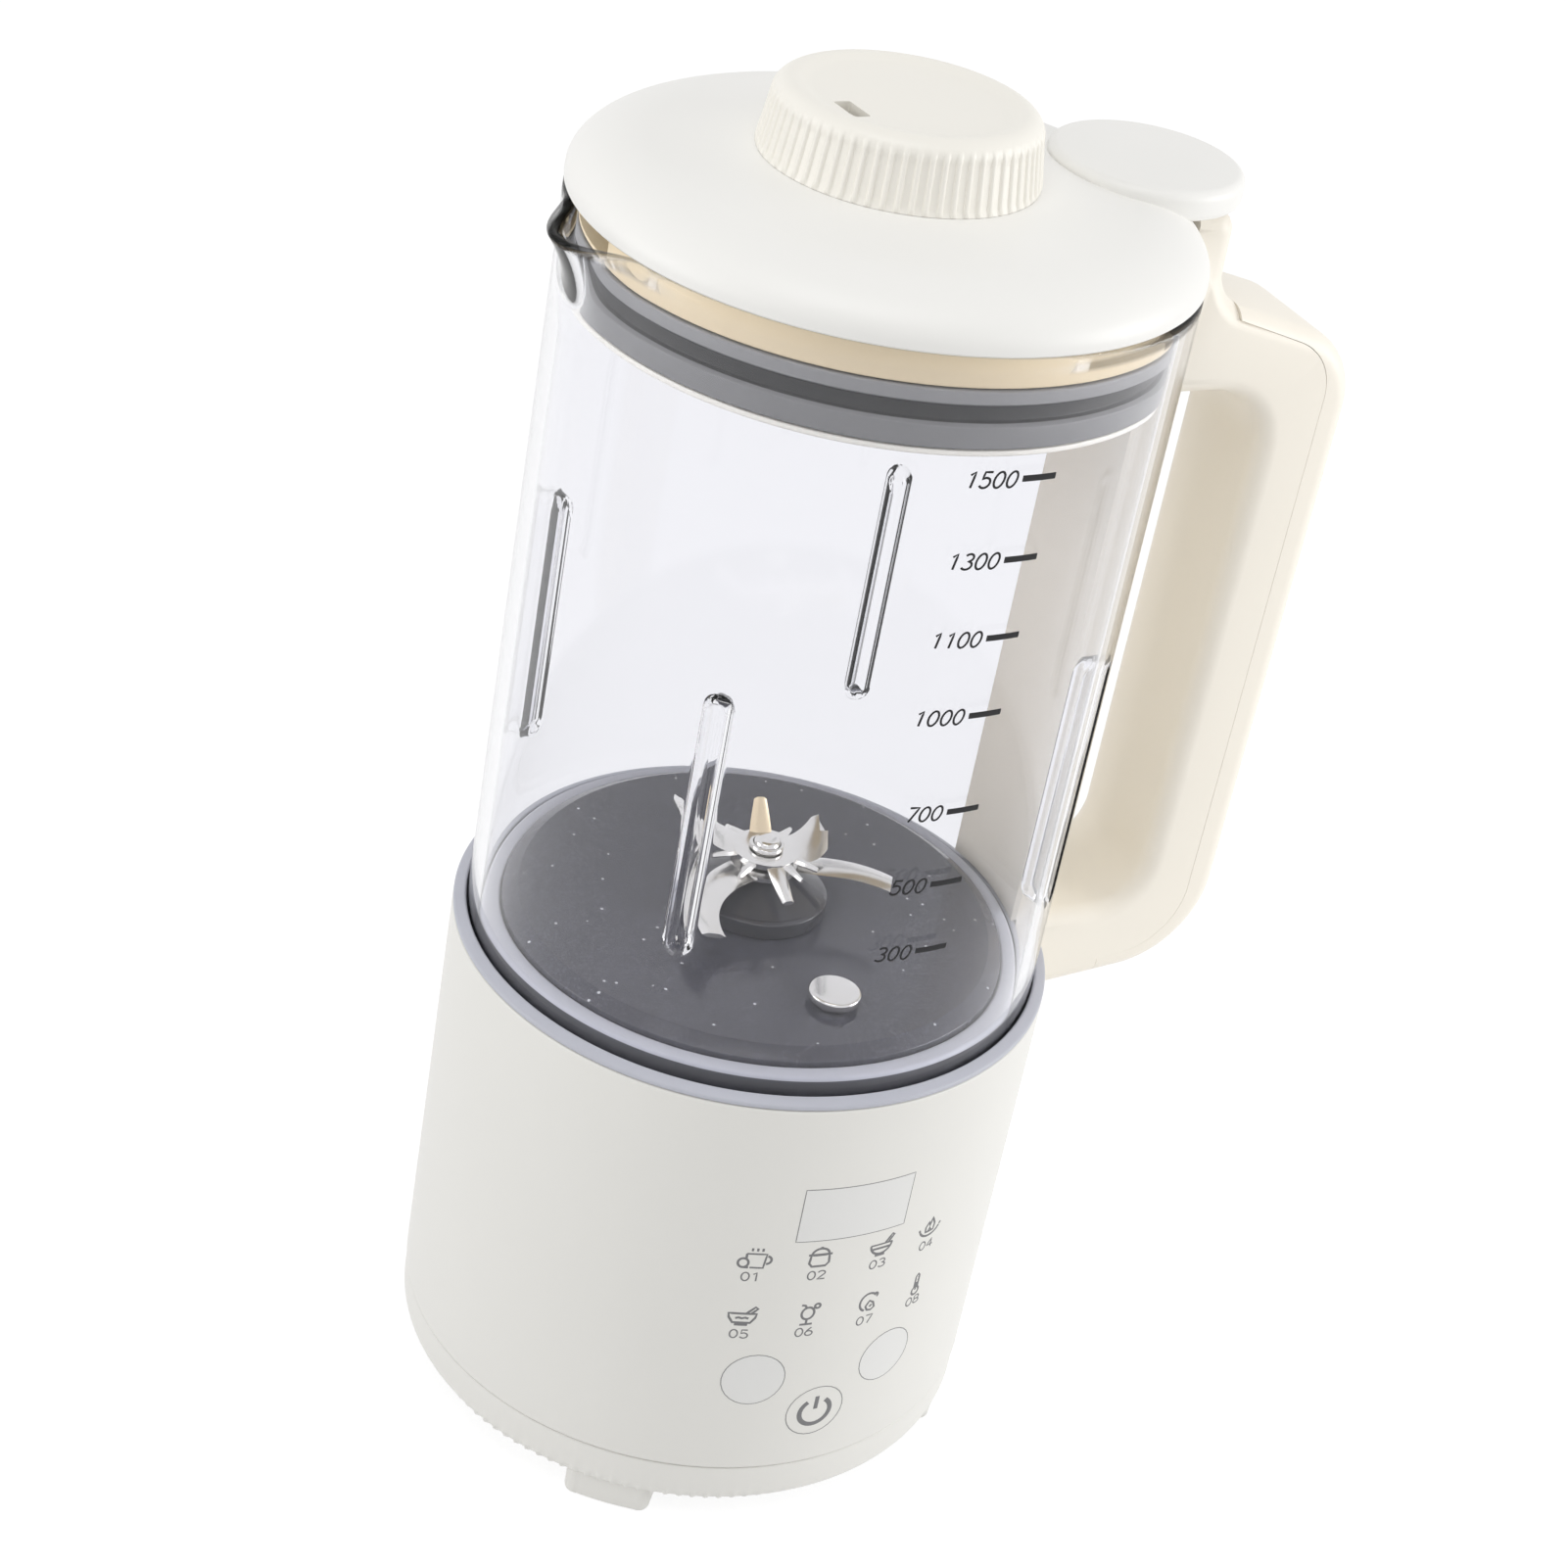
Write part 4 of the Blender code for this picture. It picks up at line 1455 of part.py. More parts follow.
def make_handle_screws(base):
    """Screws from inside the housing, through its wall and into the handle's lower arm."""
    profile = screw_profile(HANDLE_SCREW_RADIUS, HANDLE_SCREW_LENGTH, HANDLE_SCREW_HEAD_RADIUS,
                            HANDLE_SCREW_HEAD_HEIGHT)
    seat = flat_wall(HANDLE_SCREW_SPREAD + HANDLE_SCREW_HEAD_RADIUS)
    for name, side in (("rear", 1), ("front", -1)):
        place = (seat - HANDLE_SCREW_HEAD_HEIGHT, side * HANDLE_SCREW_SPREAD, HANDLE_SCREW_Z)
        turned("handle_screw_" + name, profile, "plain_steel", base, place, TINY_STEPS, QUARTER)


def make_interlock(base, plunger):
    rod("interlock_plunger", PLUNGER_RADIUS, PLUNGER_LENGTH, (0, 0, -PLUNGER_LENGTH / 2),
        "dark_plastic", plunger)
    radius = PLUNGER_RADIUS - SPRING_WIRE - FIT
    steps = SPRING_TURNS * SPRING_POINTS_PER_TURN
    low = SPRING_BOTTOM + SPRING_WIRE
    climb = SPRING_LENGTH - 2 * SPRING_WIRE
    points = []
    for step in range(steps + 1):
        turn = FULL_TURN * step / SPRING_POINTS_PER_TURN
        points.append((PLUNGER_PLACE + radius * math.cos(turn), radius * math.sin(turn),
                       low + climb * step / steps))
    tube("interlock_spring", points, SPRING_WIRE, "plain_steel", base, 0)
    block("interlock_switch", SWITCH_SIZE, (PLUNGER_PLACE, 0, SWITCH_TOP - SWITCH_SIZE[2] / 2),
          "dark_plastic", base)


def main():
    clear_scene()
    make_materials()
    base = make_empty("base_axis", place=(AXIS_X, 0, 0))
    rotor = make_empty("rotor_axis", base)
    lid = make_empty("lid_axis", base)
    cap = make_empty("cap_axis", lid)
    plunger = make_empty("plunger_axis", base, (PLUNGER_PLACE, 0, PLUNGER_TOP))
    make_bottom_cover(base)
    make_cover_screws(base)
    make_housing(base)
    make_jar_seal(base)
    make_glass_jar(base)
    make_heating_plate(base)
    make_plate_nuts(base)
    tails = make_heating_element(base)
    make_thermal_cutout(base)
    make_probe(base)
    make_pedestal(base)
    make_blades(rotor)
    make_bracket(base, tails)
    make_motor(base, rotor)
    make_power_board(base)
    make_touch_board(base)
    make_power_inlet(base)
    make_spine(base)
    make_handle(base)
    make_handle_screws(base)
    make_interlock(base, plunger)
    make_lid(lid)
    make_skirt(lid)
    make_gasket(lid)
    make_vent_cap(cap)


if __name__ == "__main__":
    main()
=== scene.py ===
"""The finished look of a countertop soy milk maker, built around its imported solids.

Lengths are millimetres: radii from the machine's own axis, heights from the surface under its feet.
A turn is counted in degrees from the control panel towards the handle, seen from above.
"""

import logging
import math
from dataclasses import dataclass, field
from enum import Enum, IntEnum
from typing import Callable, Iterable, Sequence

import bmesh
import bpy
from mathutils import Matrix, Vector


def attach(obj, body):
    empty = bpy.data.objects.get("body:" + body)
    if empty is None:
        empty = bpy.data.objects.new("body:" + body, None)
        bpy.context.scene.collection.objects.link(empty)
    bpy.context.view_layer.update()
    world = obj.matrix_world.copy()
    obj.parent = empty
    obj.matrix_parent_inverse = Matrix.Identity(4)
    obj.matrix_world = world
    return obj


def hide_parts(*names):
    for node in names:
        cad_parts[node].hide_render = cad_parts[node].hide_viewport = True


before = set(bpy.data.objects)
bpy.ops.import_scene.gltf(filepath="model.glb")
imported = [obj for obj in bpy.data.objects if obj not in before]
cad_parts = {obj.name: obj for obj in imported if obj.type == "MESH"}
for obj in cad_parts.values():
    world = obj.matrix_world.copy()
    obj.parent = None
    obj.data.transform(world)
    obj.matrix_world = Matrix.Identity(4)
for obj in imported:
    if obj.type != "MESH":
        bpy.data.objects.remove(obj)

LOG = logging.getLogger("soy_milk_maker")
MM = 0.001  # metres in a millimetre
AXIS_X = -20.75  # the machine's axis, from the middle of its box
WELD = 0.0005  # corners nearer than this are one
FULL_TURN = 2 * math.pi
QUARTER = math.pi / 2
WHITE = (1, 1, 1, 1)

Point = tuple[float, float]
Corner = tuple[float, float, float]
Colour = tuple[float, float, float]


class Body(Enum):
    """The bodies that pieces ride on."""

    BASE = "base"
    ROTOR = "rotor"
    LID = "lid"
    CAP = "vent_cap"
    PLUNGER = "plunger"


class Slot(Enum):
    """The material slots of the part."""

    SHELL = "cream_shell"
    LID = "lid_white"
    SKIRT = "skirt_tan"
    SILICONE = "silicone_grey"
    GLASS = "clear_glass"
    COATING = "plate_coating"
    DARK = "dark_plastic"
    POLISHED = "polished_steel"
    STEEL = "plain_steel"
    COPPER = "copper"
    BRASS = "brass_contact"
    BOARD = "board_green"
    RUBBER = "black_rubber"


class Cut(Enum):
    """What a tool does to a form."""

    TAKE = "DIFFERENCE"
    JOIN = "UNION"
    KEEP = "INTERSECT"


class Sides(IntEnum):
    """How many steps a turned piece has round it."""

    SHAFT = 72
    HUB = 96
    CAP = 144
    DRUM = 240
    WALL = 480


def clamp(share: float) -> float:
    """A number held between zero and one."""
    return max(0.0, min(1.0, share))


def eased(share: float) -> float:
    """A share from zero to one that starts and ends gently."""
    return share * share * (3 - 2 * share)


# Shader expressions
class Value:
    """An output of a material's tree that Python's operators turn into Math nodes."""

    def __init__(self, paint: "Paint", socket: bpy.types.NodeSocket) -> None:
        """Wraps one output socket of a paint."""
        self.paint = paint
        self.socket = socket

    def _math(self, operation: str, first: object, second: object = 0.0) -> "Value":
        """Adds a Math node for two values or numbers."""
        return self.paint.node("ShaderNodeMath", {"operation": operation}, {0: first, 1: second})

    def __add__(self, other: object) -> "Value":
        """This value plus another."""
        return self._math("ADD", self, other)

    def __radd__(self, other: object) -> "Value":
        """A number plus this value."""
        return self._math("ADD", other, self)

    def __sub__(self, other: object) -> "Value":
        """This value less another."""
        return self._math("SUBTRACT", self, other)

    def __rsub__(self, other: object) -> "Value":
        """A number less this value."""
        return self._math("SUBTRACT", other, self)

    def __mul__(self, other: object) -> "Value":
        """This value times another."""
        return self._math("MULTIPLY", self, other)

    def __rmul__(self, other: object) -> "Value":
        """A number times this value."""
        return self._math("MULTIPLY", other, self)

    def __gt__(self, other: object) -> "Value":
        """One where this value is above another, else zero."""
        return self._math("GREATER_THAN", self, other)

    def __lt__(self, other: object) -> "Value":
        """One where this value is below another, else zero."""
        return self._math("LESS_THAN", self, other)


class Paint:
    """A material's or a world's tree and the one way in which nodes are added to it."""

    def __init__(self, name: str, world: bool = False) -> None:
        """Starts an empty material or world."""
        self.owner = (bpy.data.worlds if world else bpy.data.materials).new(name)
        self.owner.use_nodes = True
        self.tree = self.owner.node_tree
        self.tree.nodes.clear()

    def node(self, kind: str, settings: dict[str, object] | None = None,
             inputs: dict[str | int, object] | None = None, output: str | int = 0) -> Value:
        """Adds a node.

        Args:
            kind: The node's type.
            settings: Its properties, set first; "stops" holds a ramp's positions and colours.
            inputs: Numbers, colours or values for its sockets, by name or index.
            output: The output to return.

        Returns:
            The chosen output.
        """
        made = self.tree.nodes.new(kind)
        for name, setting in (settings or {}).items():
            if name == "stops":
                self._set_stops(made.color_ramp, setting)
            else:
                setattr(made, name, setting)
        for name, value in (inputs or {}).items():
            if isinstance(value, Value):
                self.tree.links.new(value.socket, made.inputs[name])
            else:
                made.inputs[name].default_value = value
        return Value(self, made.outputs[output])

    @staticmethod
    def _set_stops(ramp: bpy.types.ColorRamp, stops: Sequence[tuple[float, object]]) -> None:
        """Gives a colour ramp its stops.

        Args:
            ramp: The ramp, which starts with two stops.
            stops: Each stop's position, and its colour or grey level.
        """
        while len(ramp.elements) < len(stops):
            ramp.elements.new(0.5)
        for element, (position, colour) in zip(ramp.elements, stops):
            element.position = position
            element.color = (*colour, 1) if isinstance(colour, tuple) else (colour,) * 3 + (1,)

    def place(self, scale: Colour = (1, 1, 1), turn: Colour = (0, 0, 0)) -> Value:
        """Object coordinates in metres from the machine's axis, then turned and scaled."""
        spot = self.node("ShaderNodeTexCoord", output="Object")
        axis = (AXIS_X * MM, 0, 0)
        centred = self.node("ShaderNodeVectorMath", {"operation": "SUBTRACT"}, {0: spot, 1: axis})
        inputs = {"Vector": centred, "Scale": scale, "Rotation": turn}
        return self.node("ShaderNodeMapping", {}, inputs)

    def height(self) -> Value:
        """The height above the surface under the feet, in metres."""
        return self.node("ShaderNodeSeparateXYZ", {}, {0: self.place()}, "Z")

    def noise(self, where: Value, scale: float, detail: float = 3, roughness: float = 0.5) -> Value:
        """Cloudy noise from zero to one, with so many clouds to the metre."""
        inputs = {"Vector": where, "Scale": scale, "Detail": detail, "Roughness": roughness}
        return self.node("ShaderNodeTexNoise", {}, inputs)

    def cells(self, where: Value, scale: float, output: str = "Distance") -> Value:
        """Voronoi cells, with so many to the metre."""
        return self.node("ShaderNodeTexVoronoi", {}, {"Vector": where, "Scale": scale}, output)

    def ramp(self, factor: Value, *stops: tuple[float, object]) -> Value:
        """A value recoloured through a ramp's stops."""
        return self.node("ShaderNodeValToRGB", {"stops": stops}, {0: factor}, "Color")

    def mix(self, factor: object, first: object, second: object) -> Value:
        """A colour between two colours."""
        inputs = {0: factor, 6: self.full(first), 7: self.full(second)}
        return self.node("ShaderNodeMix", {"data_type": "RGBA"}, inputs, 2)

    def shaded(self, factor: object, colour: Colour, dark: float, pale: float) -> Value:
        """A colour that runs between a darker and a paler shade of itself."""
        return self.mix(factor, shade(colour, dark), shade(colour, pale))

    def higher(self, first: object, second: object) -> Value:
        """The higher of two values."""
        return self.node("ShaderNodeMath", {"operation": "MAXIMUM"}, {0: first, 1: second})

    @staticmethod
    def full(colour: object) -> object:
        """A colour with its alpha, or a value as it is."""
        return colour if isinstance(colour, Value) else (*colour[:3], 1)

    def bump(self, height: Value, distance: float, strength: float = 1.0) -> Value:
        """A normal tilted by a height, whose full range is so many millimetres."""
        inputs = {"Height": height, "Distance": distance * MM, "Strength": strength}
        return self.node("ShaderNodeBump", {}, inputs)

    def surface(self, inputs: dict[str, object]) -> bpy.types.Material:
        """Ends the material in one Principled shader.

        Args:
            inputs: The shader's sockets.

        Returns:
            The material.
        """
        self.end("ShaderNodeOutputMaterial", self.node("ShaderNodeBsdfPrincipled", {}, inputs))
        return self.owner

    def end(self, kind: str, shader: Value) -> None:
        """Links a shader to the tree's output."""
        output = self.tree.nodes.new(kind)
        self.tree.links.new(shader.socket, output.inputs["Surface"])


# Finishes
def shade(colour: Colour, factor: float) -> Colour:
    """A colour made lighter or darker."""
    return tuple(min(1.0, channel * factor) for channel in colour)


@dataclass(frozen=True)
class Moulded:
    """Satin moulded plastic with a fine spark-eroded grain and a slight drift of colour."""

    name: str
    slot: Slot
    colour: Colour
    roughness: float = 0.42
    grain: float = 0.006
    drift: float = 0.025
    coat: float = 0.0

    def make(self) -> bpy.types.Material:
        """Builds the material."""
        paint = Paint(self.name)
        spot = paint.place()
        cloud = paint.noise(spot, 22, 2)
        speck = paint.noise(spot, 900, 2, 0.6)
        colour = paint.shaded(cloud, self.colour, 1 - self.drift, 1 + self.drift)
        fine = paint.shaded(speck, self.colour, 0.985, 1.015)
        return paint.surface({
            "Base Color": paint.mix(0.35, colour, fine),
            "Roughness": self.roughness + (speck - 0.5) * 0.10 + (cloud - 0.5) * 0.06,
            "Coat Weight": self.coat,
            "Coat Roughness": 0.12,
            "IOR": 1.46,
            "Normal": paint.bump(speck, self.grain),
        })


@dataclass(frozen=True)
class Silicone:
    """Soft silicone: a dusty, slightly uneven sheen."""

    name: str
    slot: Slot
    colour: Colour
    roughness: float = 0.5
    drift: float = 0.07

    def make(self) -> bpy.types.Material:
        """Builds the material."""
        paint = Paint(self.name)
        cloud = paint.noise(paint.place(), 60, 3)
        base = paint.shaded(cloud, self.colour, 1 - self.drift, 1 + self.drift)
        return paint.surface({
            "Base Color": self.darkened(paint, base),
            "Roughness": self.roughness + (cloud - 0.5) * 0.15,
            "Specular IOR Level": 0.4,
            "Normal": paint.bump(paint.noise(paint.place(), 1400, 2), 0.008),
        })

    def darkened(self, paint: Paint, base: Value) -> Value:
        """The colour with its deep shade, which plain silicone doesn't have."""
        return base


@dataclass(frozen=True)
class Seat(Silicone):
    """Silicone of the jar's seat, in deep shade in the groove that the glass stands in."""

    groove: Point = (60.55, 64.32)
    mouth: float = 122.9
    shadow: float = 0.20

    def darkened(self, paint: Paint, base: Value) -> Value:
        """The colour, dark in the groove."""
        flat = paint.place((1, 1, 0))
        radius = paint.node("ShaderNodeVectorMath", {"operation": "LENGTH"}, {0: flat}, "Value")
        inner, outer = (level * MM for level in self.groove)
        inside = (radius > inner) * (radius < outer) * (paint.height() < self.mouth * MM)
        return paint.mix(inside, base, shade(self.colour, self.shadow))


@dataclass(frozen=True)
class Gasket(Silicone):
    """Silicone of a gasket whose valley between two lips is in deep shade."""

    valley: Point = (274.6, 278.2)
    upper_lift: float = 1.25
    shadow: float = 0.22

    def darkened(self, paint: Paint, base: Value) -> Value:
        """The colour, dark in the valley and paler on the lip above it."""
        height = paint.height()
        low, high = (level * MM for level in self.valley)
        lips = paint.mix(height > high, base, shade(self.colour, self.upper_lift))
        return paint.mix((height > low) * (height < high), lips, shade(self.colour, self.shadow))


@dataclass(frozen=True)
class Glass:
    """Clear borosilicate glass, drawn with faint upright waves."""

    name: str = "drawn_glass"
    slot: Slot = Slot.GLASS
    colour: Colour = (0.910, 0.911, 0.933)
    rim: Point = (285.4, 286.4)
    rim_thinning: float = 0.5

    def make(self) -> bpy.types.Material:
        """Builds the material."""
        paint = Paint(self.name)
        low, high = (level * MM for level in self.rim)
        inputs = {"Value": paint.height(), "From Min": low, "From Max": high}
        above = paint.node("ShaderNodeMapRange", {}, inputs)
        wave = paint.noise(paint.place((1, 1, 0.06)), 30, 1)
        haze = paint.noise(paint.place(), 14, 4)
        return paint.surface({
            "Base Color": (*self.colour, 1),
            "Roughness": paint.ramp(haze, (0.45, 0.0), (0.9, 0.02)),
            "Transmission Weight": 1.0,
            "IOR": 1.32,
            "Alpha": 1 - above * self.rim_thinning,
            "Normal": paint.bump(wave, 0.05, 0.35),
        })


@dataclass(frozen=True)
class Coating:
    """Slate non-stick coating with fine metallic flakes."""

    name: str
    slot: Slot
    colour: Colour
    roughness: float = 0.42
    flakes: float = 0.5

    def make(self) -> bpy.types.Material:
        """Builds the material."""
        paint = Paint(self.name)
        spot = paint.place()
        faint = (self.pick(paint, spot, 1500) > 0.60) * (paint.cells(spot, 1500) < 0.45)
        bright = (self.pick(paint, spot, 420) > 0.88) * (paint.cells(spot, 420) < 0.15)
        cloud = paint.noise(spot, 45, 4)
        base = paint.shaded(cloud, self.colour, 0.88, 1.12)
        dusted = paint.mix(faint * 0.45 * self.flakes, base, shade(self.colour, 2.8))
        return paint.surface({
            "Base Color": paint.mix(bright * self.flakes, dusted, (0.75, 0.76, 0.80)),
            "Metallic": bright * 0.6 + faint * 0.15,
            "Roughness": self.roughness + (cloud - 0.5) * 0.12 - bright * 0.15,
        })

    @staticmethod
    def pick(paint: Paint, spot: Value, scale: float) -> Value:
        """A random level for each of so many cells to the metre."""
        colours = paint.cells(spot, scale, "Color")
        return paint.node("ShaderNodeSeparateColor", {}, {0: colours}, "Red")


@dataclass(frozen=True)
class Metal:
    """Bare metal with rolling or turning marks that run one way."""

    name: str
    slot: Slot
    colour: Colour = (0.80, 0.79, 0.77)
    roughness: float = 0.16
    stretch: Colour = (1, 1, 0.05)
    marks: float = 0.006

    def make(self) -> bpy.types.Material:
        """Builds the material."""
        paint = Paint(self.name)
        grain = paint.noise(paint.place(self.stretch), 700, 3, 0.6)
        stain = paint.noise(paint.place(), 70, 3)
        return paint.surface({
            "Base Color": paint.shaded(stain, self.colour, 0.93, 1.05),
            "Metallic": 1.0,
            "Roughness": self.roughness + (grain - 0.5) * 0.14 + (stain - 0.5) * 0.08,
            "Normal": paint.bump(grain, self.marks),
        })


@dataclass(frozen=True)
class Wound:
    """Enamelled copper wire laid side by side, with painted shade in the grooves between the turns.
    """

    name: str = "wound_copper"
    slot: Slot = Slot.COPPER
    colour: Colour = (0.66, 0.27, 0.11)

    def make(self) -> bpy.types.Material:
        """Builds the material."""
        paint = Paint(self.name)
        settings = {"wave_type": "RINGS", "rings_direction": "Z"}
        inputs = {"Vector": paint.place(), "Scale": 420, "Distortion": 1.2, "Detail": 1}
        wire = paint.node("ShaderNodeTexWave", settings, inputs, 1)
        return paint.surface({
            # Painted shade: the colour darkens to 0.35 of itself in the grooves between the turns
            # of wire.
            "Base Color": paint.shaded(wire, self.colour, 0.35, 1.0),
            "Metallic": 0.85,
            "Roughness": 0.45 - wire * 0.18,
            "Normal": paint.bump(wire, 0.25, 0.6),
        })


@dataclass(frozen=True)
class Board:
    """A lacquered circuit board with paler tracks."""

    name: str = "circuit_board"
    slot: Slot = Slot.BOARD
    colour: Colour = (0.03, 0.16, 0.07)
    track: Colour = (0.10, 0.36, 0.15)

    def make(self) -> bpy.types.Material:
        """Builds the material."""
        paint = Paint(self.name)
        track = paint.cells(paint.place((1, 0.35, 1), (0, 0, 0.785)), 260)
        line = (track > 0.30) * (track < 0.42)
        lacquer = paint.noise(paint.place(), 90, 3)
        green = paint.shaded(lacquer, self.colour, 1.0, 1.5)
        return paint.surface({
            "Base Color": paint.mix(line, green, self.track),
            "Roughness": 0.34 + lacquer * 0.12,
            "Coat Weight": 0.3,
            "Normal": paint.bump(line, 0.03),
        })


@dataclass(frozen=True)
class Ink:
    """Printed ink, a little uneven and duller than what it lies on."""

    name: str
    slot: Slot
    colour: Colour
    roughness: float = 0.55

    def make(self) -> bpy.types.Material:
        """Builds the material."""
        paint = Paint(self.name)
        spot = paint.noise(paint.place(), 800, 3, 0.65)
        return paint.surface({
            "Base Color": paint.shaded(spot, self.colour, 0.90, 1.12),
            "Roughness": self.roughness + (spot - 0.5) * 0.2,
            "Specular IOR Level": 0.3,
            "Normal": paint.bump(spot, 0.004),
        })


SHELL = Moulded("cream_moulding", Slot.SHELL, (0.80, 0.79, 0.755), 0.40)
HANDLE = Moulded("handle_moulding", Slot.SHELL, (0.92, 0.87, 0.775), 0.38)
SPINE = Moulded("spine_moulding", Slot.SHELL, (0.97, 0.89, 0.755), 0.45, drift=0.07)
LID_WHITE = Moulded("lid_moulding", Slot.LID, (0.885, 0.877, 0.850), 0.40, 0.005, 0.012)
CAP_WHITE = Moulded("cap_moulding", Slot.LID, (0.89, 0.865, 0.80), 0.38, 0.005, 0.012)
SKIRT_TAN = Moulded("skirt_moulding", Slot.SKIRT, (0.83, 0.70, 0.49), 0.45)
DARK = Moulded("dark_moulding", Slot.DARK, (0.035, 0.035, 0.038), 0.38, 0.01, 0.1)
GASKET = Gasket("gasket_silicone", Slot.SILICONE, (0.24, 0.24, 0.245), 0.48, 0.06)
RING = Silicone("ring_silicone", Slot.SILICONE, (0.24, 0.24, 0.245))
SEAL = Seat("seat_silicone", Slot.SILICONE, (0.50, 0.51, 0.57), 0.42, 0.06)
RUBBER = Silicone("black_rubber_gasket", Slot.RUBBER, (0.02, 0.02, 0.02), 0.6)
GLASS = Glass()
PLATE = Coating("plate_coating_flaked", Slot.COATING, (0.062, 0.062, 0.078), 0.17, 0.9)
PEDESTAL = Moulded("pedestal_moulding", Slot.DARK, (0.045, 0.045, 0.053), 0.17, 0.001, 0.08, 0.3)
BLADE = Metal("blade_steel", Slot.POLISHED, (0.84, 0.83, 0.81), 0.20, (1, 0.15, 1), 0.010)
# Steel of the raised wing, its colour tinted tan as a painted reflection.
TAN_REFLECTION_STEEL = Metal("steel_with_painted_tan_reflection", Slot.POLISHED, (0.80, 0.67, 0.48), 0.30, (1, 0.15, 1), 0.010)
POLISHED = Metal("turned_steel", Slot.POLISHED, (0.82, 0.81, 0.79), 0.12)
STEEL = Metal("plain_steel_sheet", Slot.STEEL, (0.56, 0.56, 0.57), 0.32, (1, 0.2, 1), 0.015)
BRASS = Metal("brass", Slot.BRASS, (0.80, 0.60, 0.28), 0.25)
WOUND = Wound()
BOARD = Board()
MARK_INK = Ink("mark_ink", Slot.GLASS, (0.010, 0.010, 0.012), 0.55)
PANEL_INK = Ink("panel_ink", Slot.SHELL, (0.20, 0.20, 0.205))
LINE_INK = Ink("outline_ink", Slot.SHELL, (0.25, 0.25, 0.25))
WINDOW = Moulded("window_moulding", Slot.SHELL, (0.785, 0.783, 0.768), 0.40)

Finish = Moulded | Silicone | Glass | Coating | Metal | Wound | Board | Ink


# Forms
def polar(radius: float, turn: float, height: float = 0.0) -> Vector:
    """A place at a turn in degrees from the panel towards the handle."""
    angle = math.radians(turn)
    return Vector((radius * math.sin(angle), -radius * math.cos(angle), height))


def bearing(corner: Vector) -> Point:
    """A corner's distance from the axis and its turn in degrees."""
    return math.hypot(corner.x, corner.y), math.degrees(math.atan2(corner.x, -corner.y))


def rounded(corners: Sequence[Corner], steps: int = 6) -> list[Point]:
    """An outline with filleted corners.

    Args:
        corners: Each corner and the radius of its fillet.
        steps: How many parts a fillet has.

    Returns:
        The outline's points.
    """
    outline: list[Point] = []
    for index, (across, up, radius) in enumerate(corners):
        here = Vector((across, up))
        if radius == 0:
            outline.append((across, up))
            continue
        before = (Vector(corners[index - 1][:2]) - here).normalized()
        after = (Vector(corners[(index + 1) % len(corners)][:2]) - here).normalized()
        half = before.angle(after) / 2
        centre = here + (before + after).normalized() * (radius / math.sin(half))
        start = here + before * (radius / math.tan(half)) - centre
        end = here + after * (radius / math.tan(half)) - centre
        sweep = math.atan2(start.x * end.y - start.y * end.x, start.dot(end))
        for step in range(steps + 1):
            turned = Matrix.Rotation(sweep * step / steps, 2) @ start
            outline.append((centre.x + turned.x, centre.y + turned.y))
    return outline


def arc(centre: Point, radii: Point, start: float, end: float, steps: int) -> list[Point]:
    """Points on an ellipse between two angles in degrees, counted from the first axis."""
    angles = [math.radians(start + (end - start) * step / steps) for step in range(steps + 1)]
    return [(centre[0] + radii[0] * math.cos(angle), centre[1] + radii[1] * math.sin(angle))
            for angle in angles]


def stood(name: str, data: bpy.types.ID) -> bpy.types.Object:
    """A mesh, curve, lamp or camera put into the scene as an object."""
    item = bpy.data.objects.new(name, data)
    bpy.context.scene.collection.objects.link(item)
    return item


def settled(item: bpy.types.Object) -> bpy.types.Mesh:
    """The mesh of an object with what shapes it applied."""
    bpy.context.view_layer.update()
    graph = bpy.context.evaluated_depsgraph_get()
    return bpy.data.meshes.new_from_object(item.evaluated_get(graph))


def soften(made: bmesh.types.BMesh, edges: Sequence[bmesh.types.BMEdge], radius: float,
           segments: int) -> None:
    """Rounds edges of a mesh, if their radius isn't zero."""
    if radius:
        bmesh.ops.bevel(made, geom=edges, offset=radius, offset_type="OFFSET", segments=segments,
                        profile=0.5, affect="EDGES", material=-1)


def level_edges(made: bmesh.types.BMesh) -> list[bmesh.types.BMEdge]:
    """The edges of a mesh that lie level."""
    return [edge for edge in made.edges if abs(edge.verts[0].co.z - edge.verts[1].co.z) < WELD]


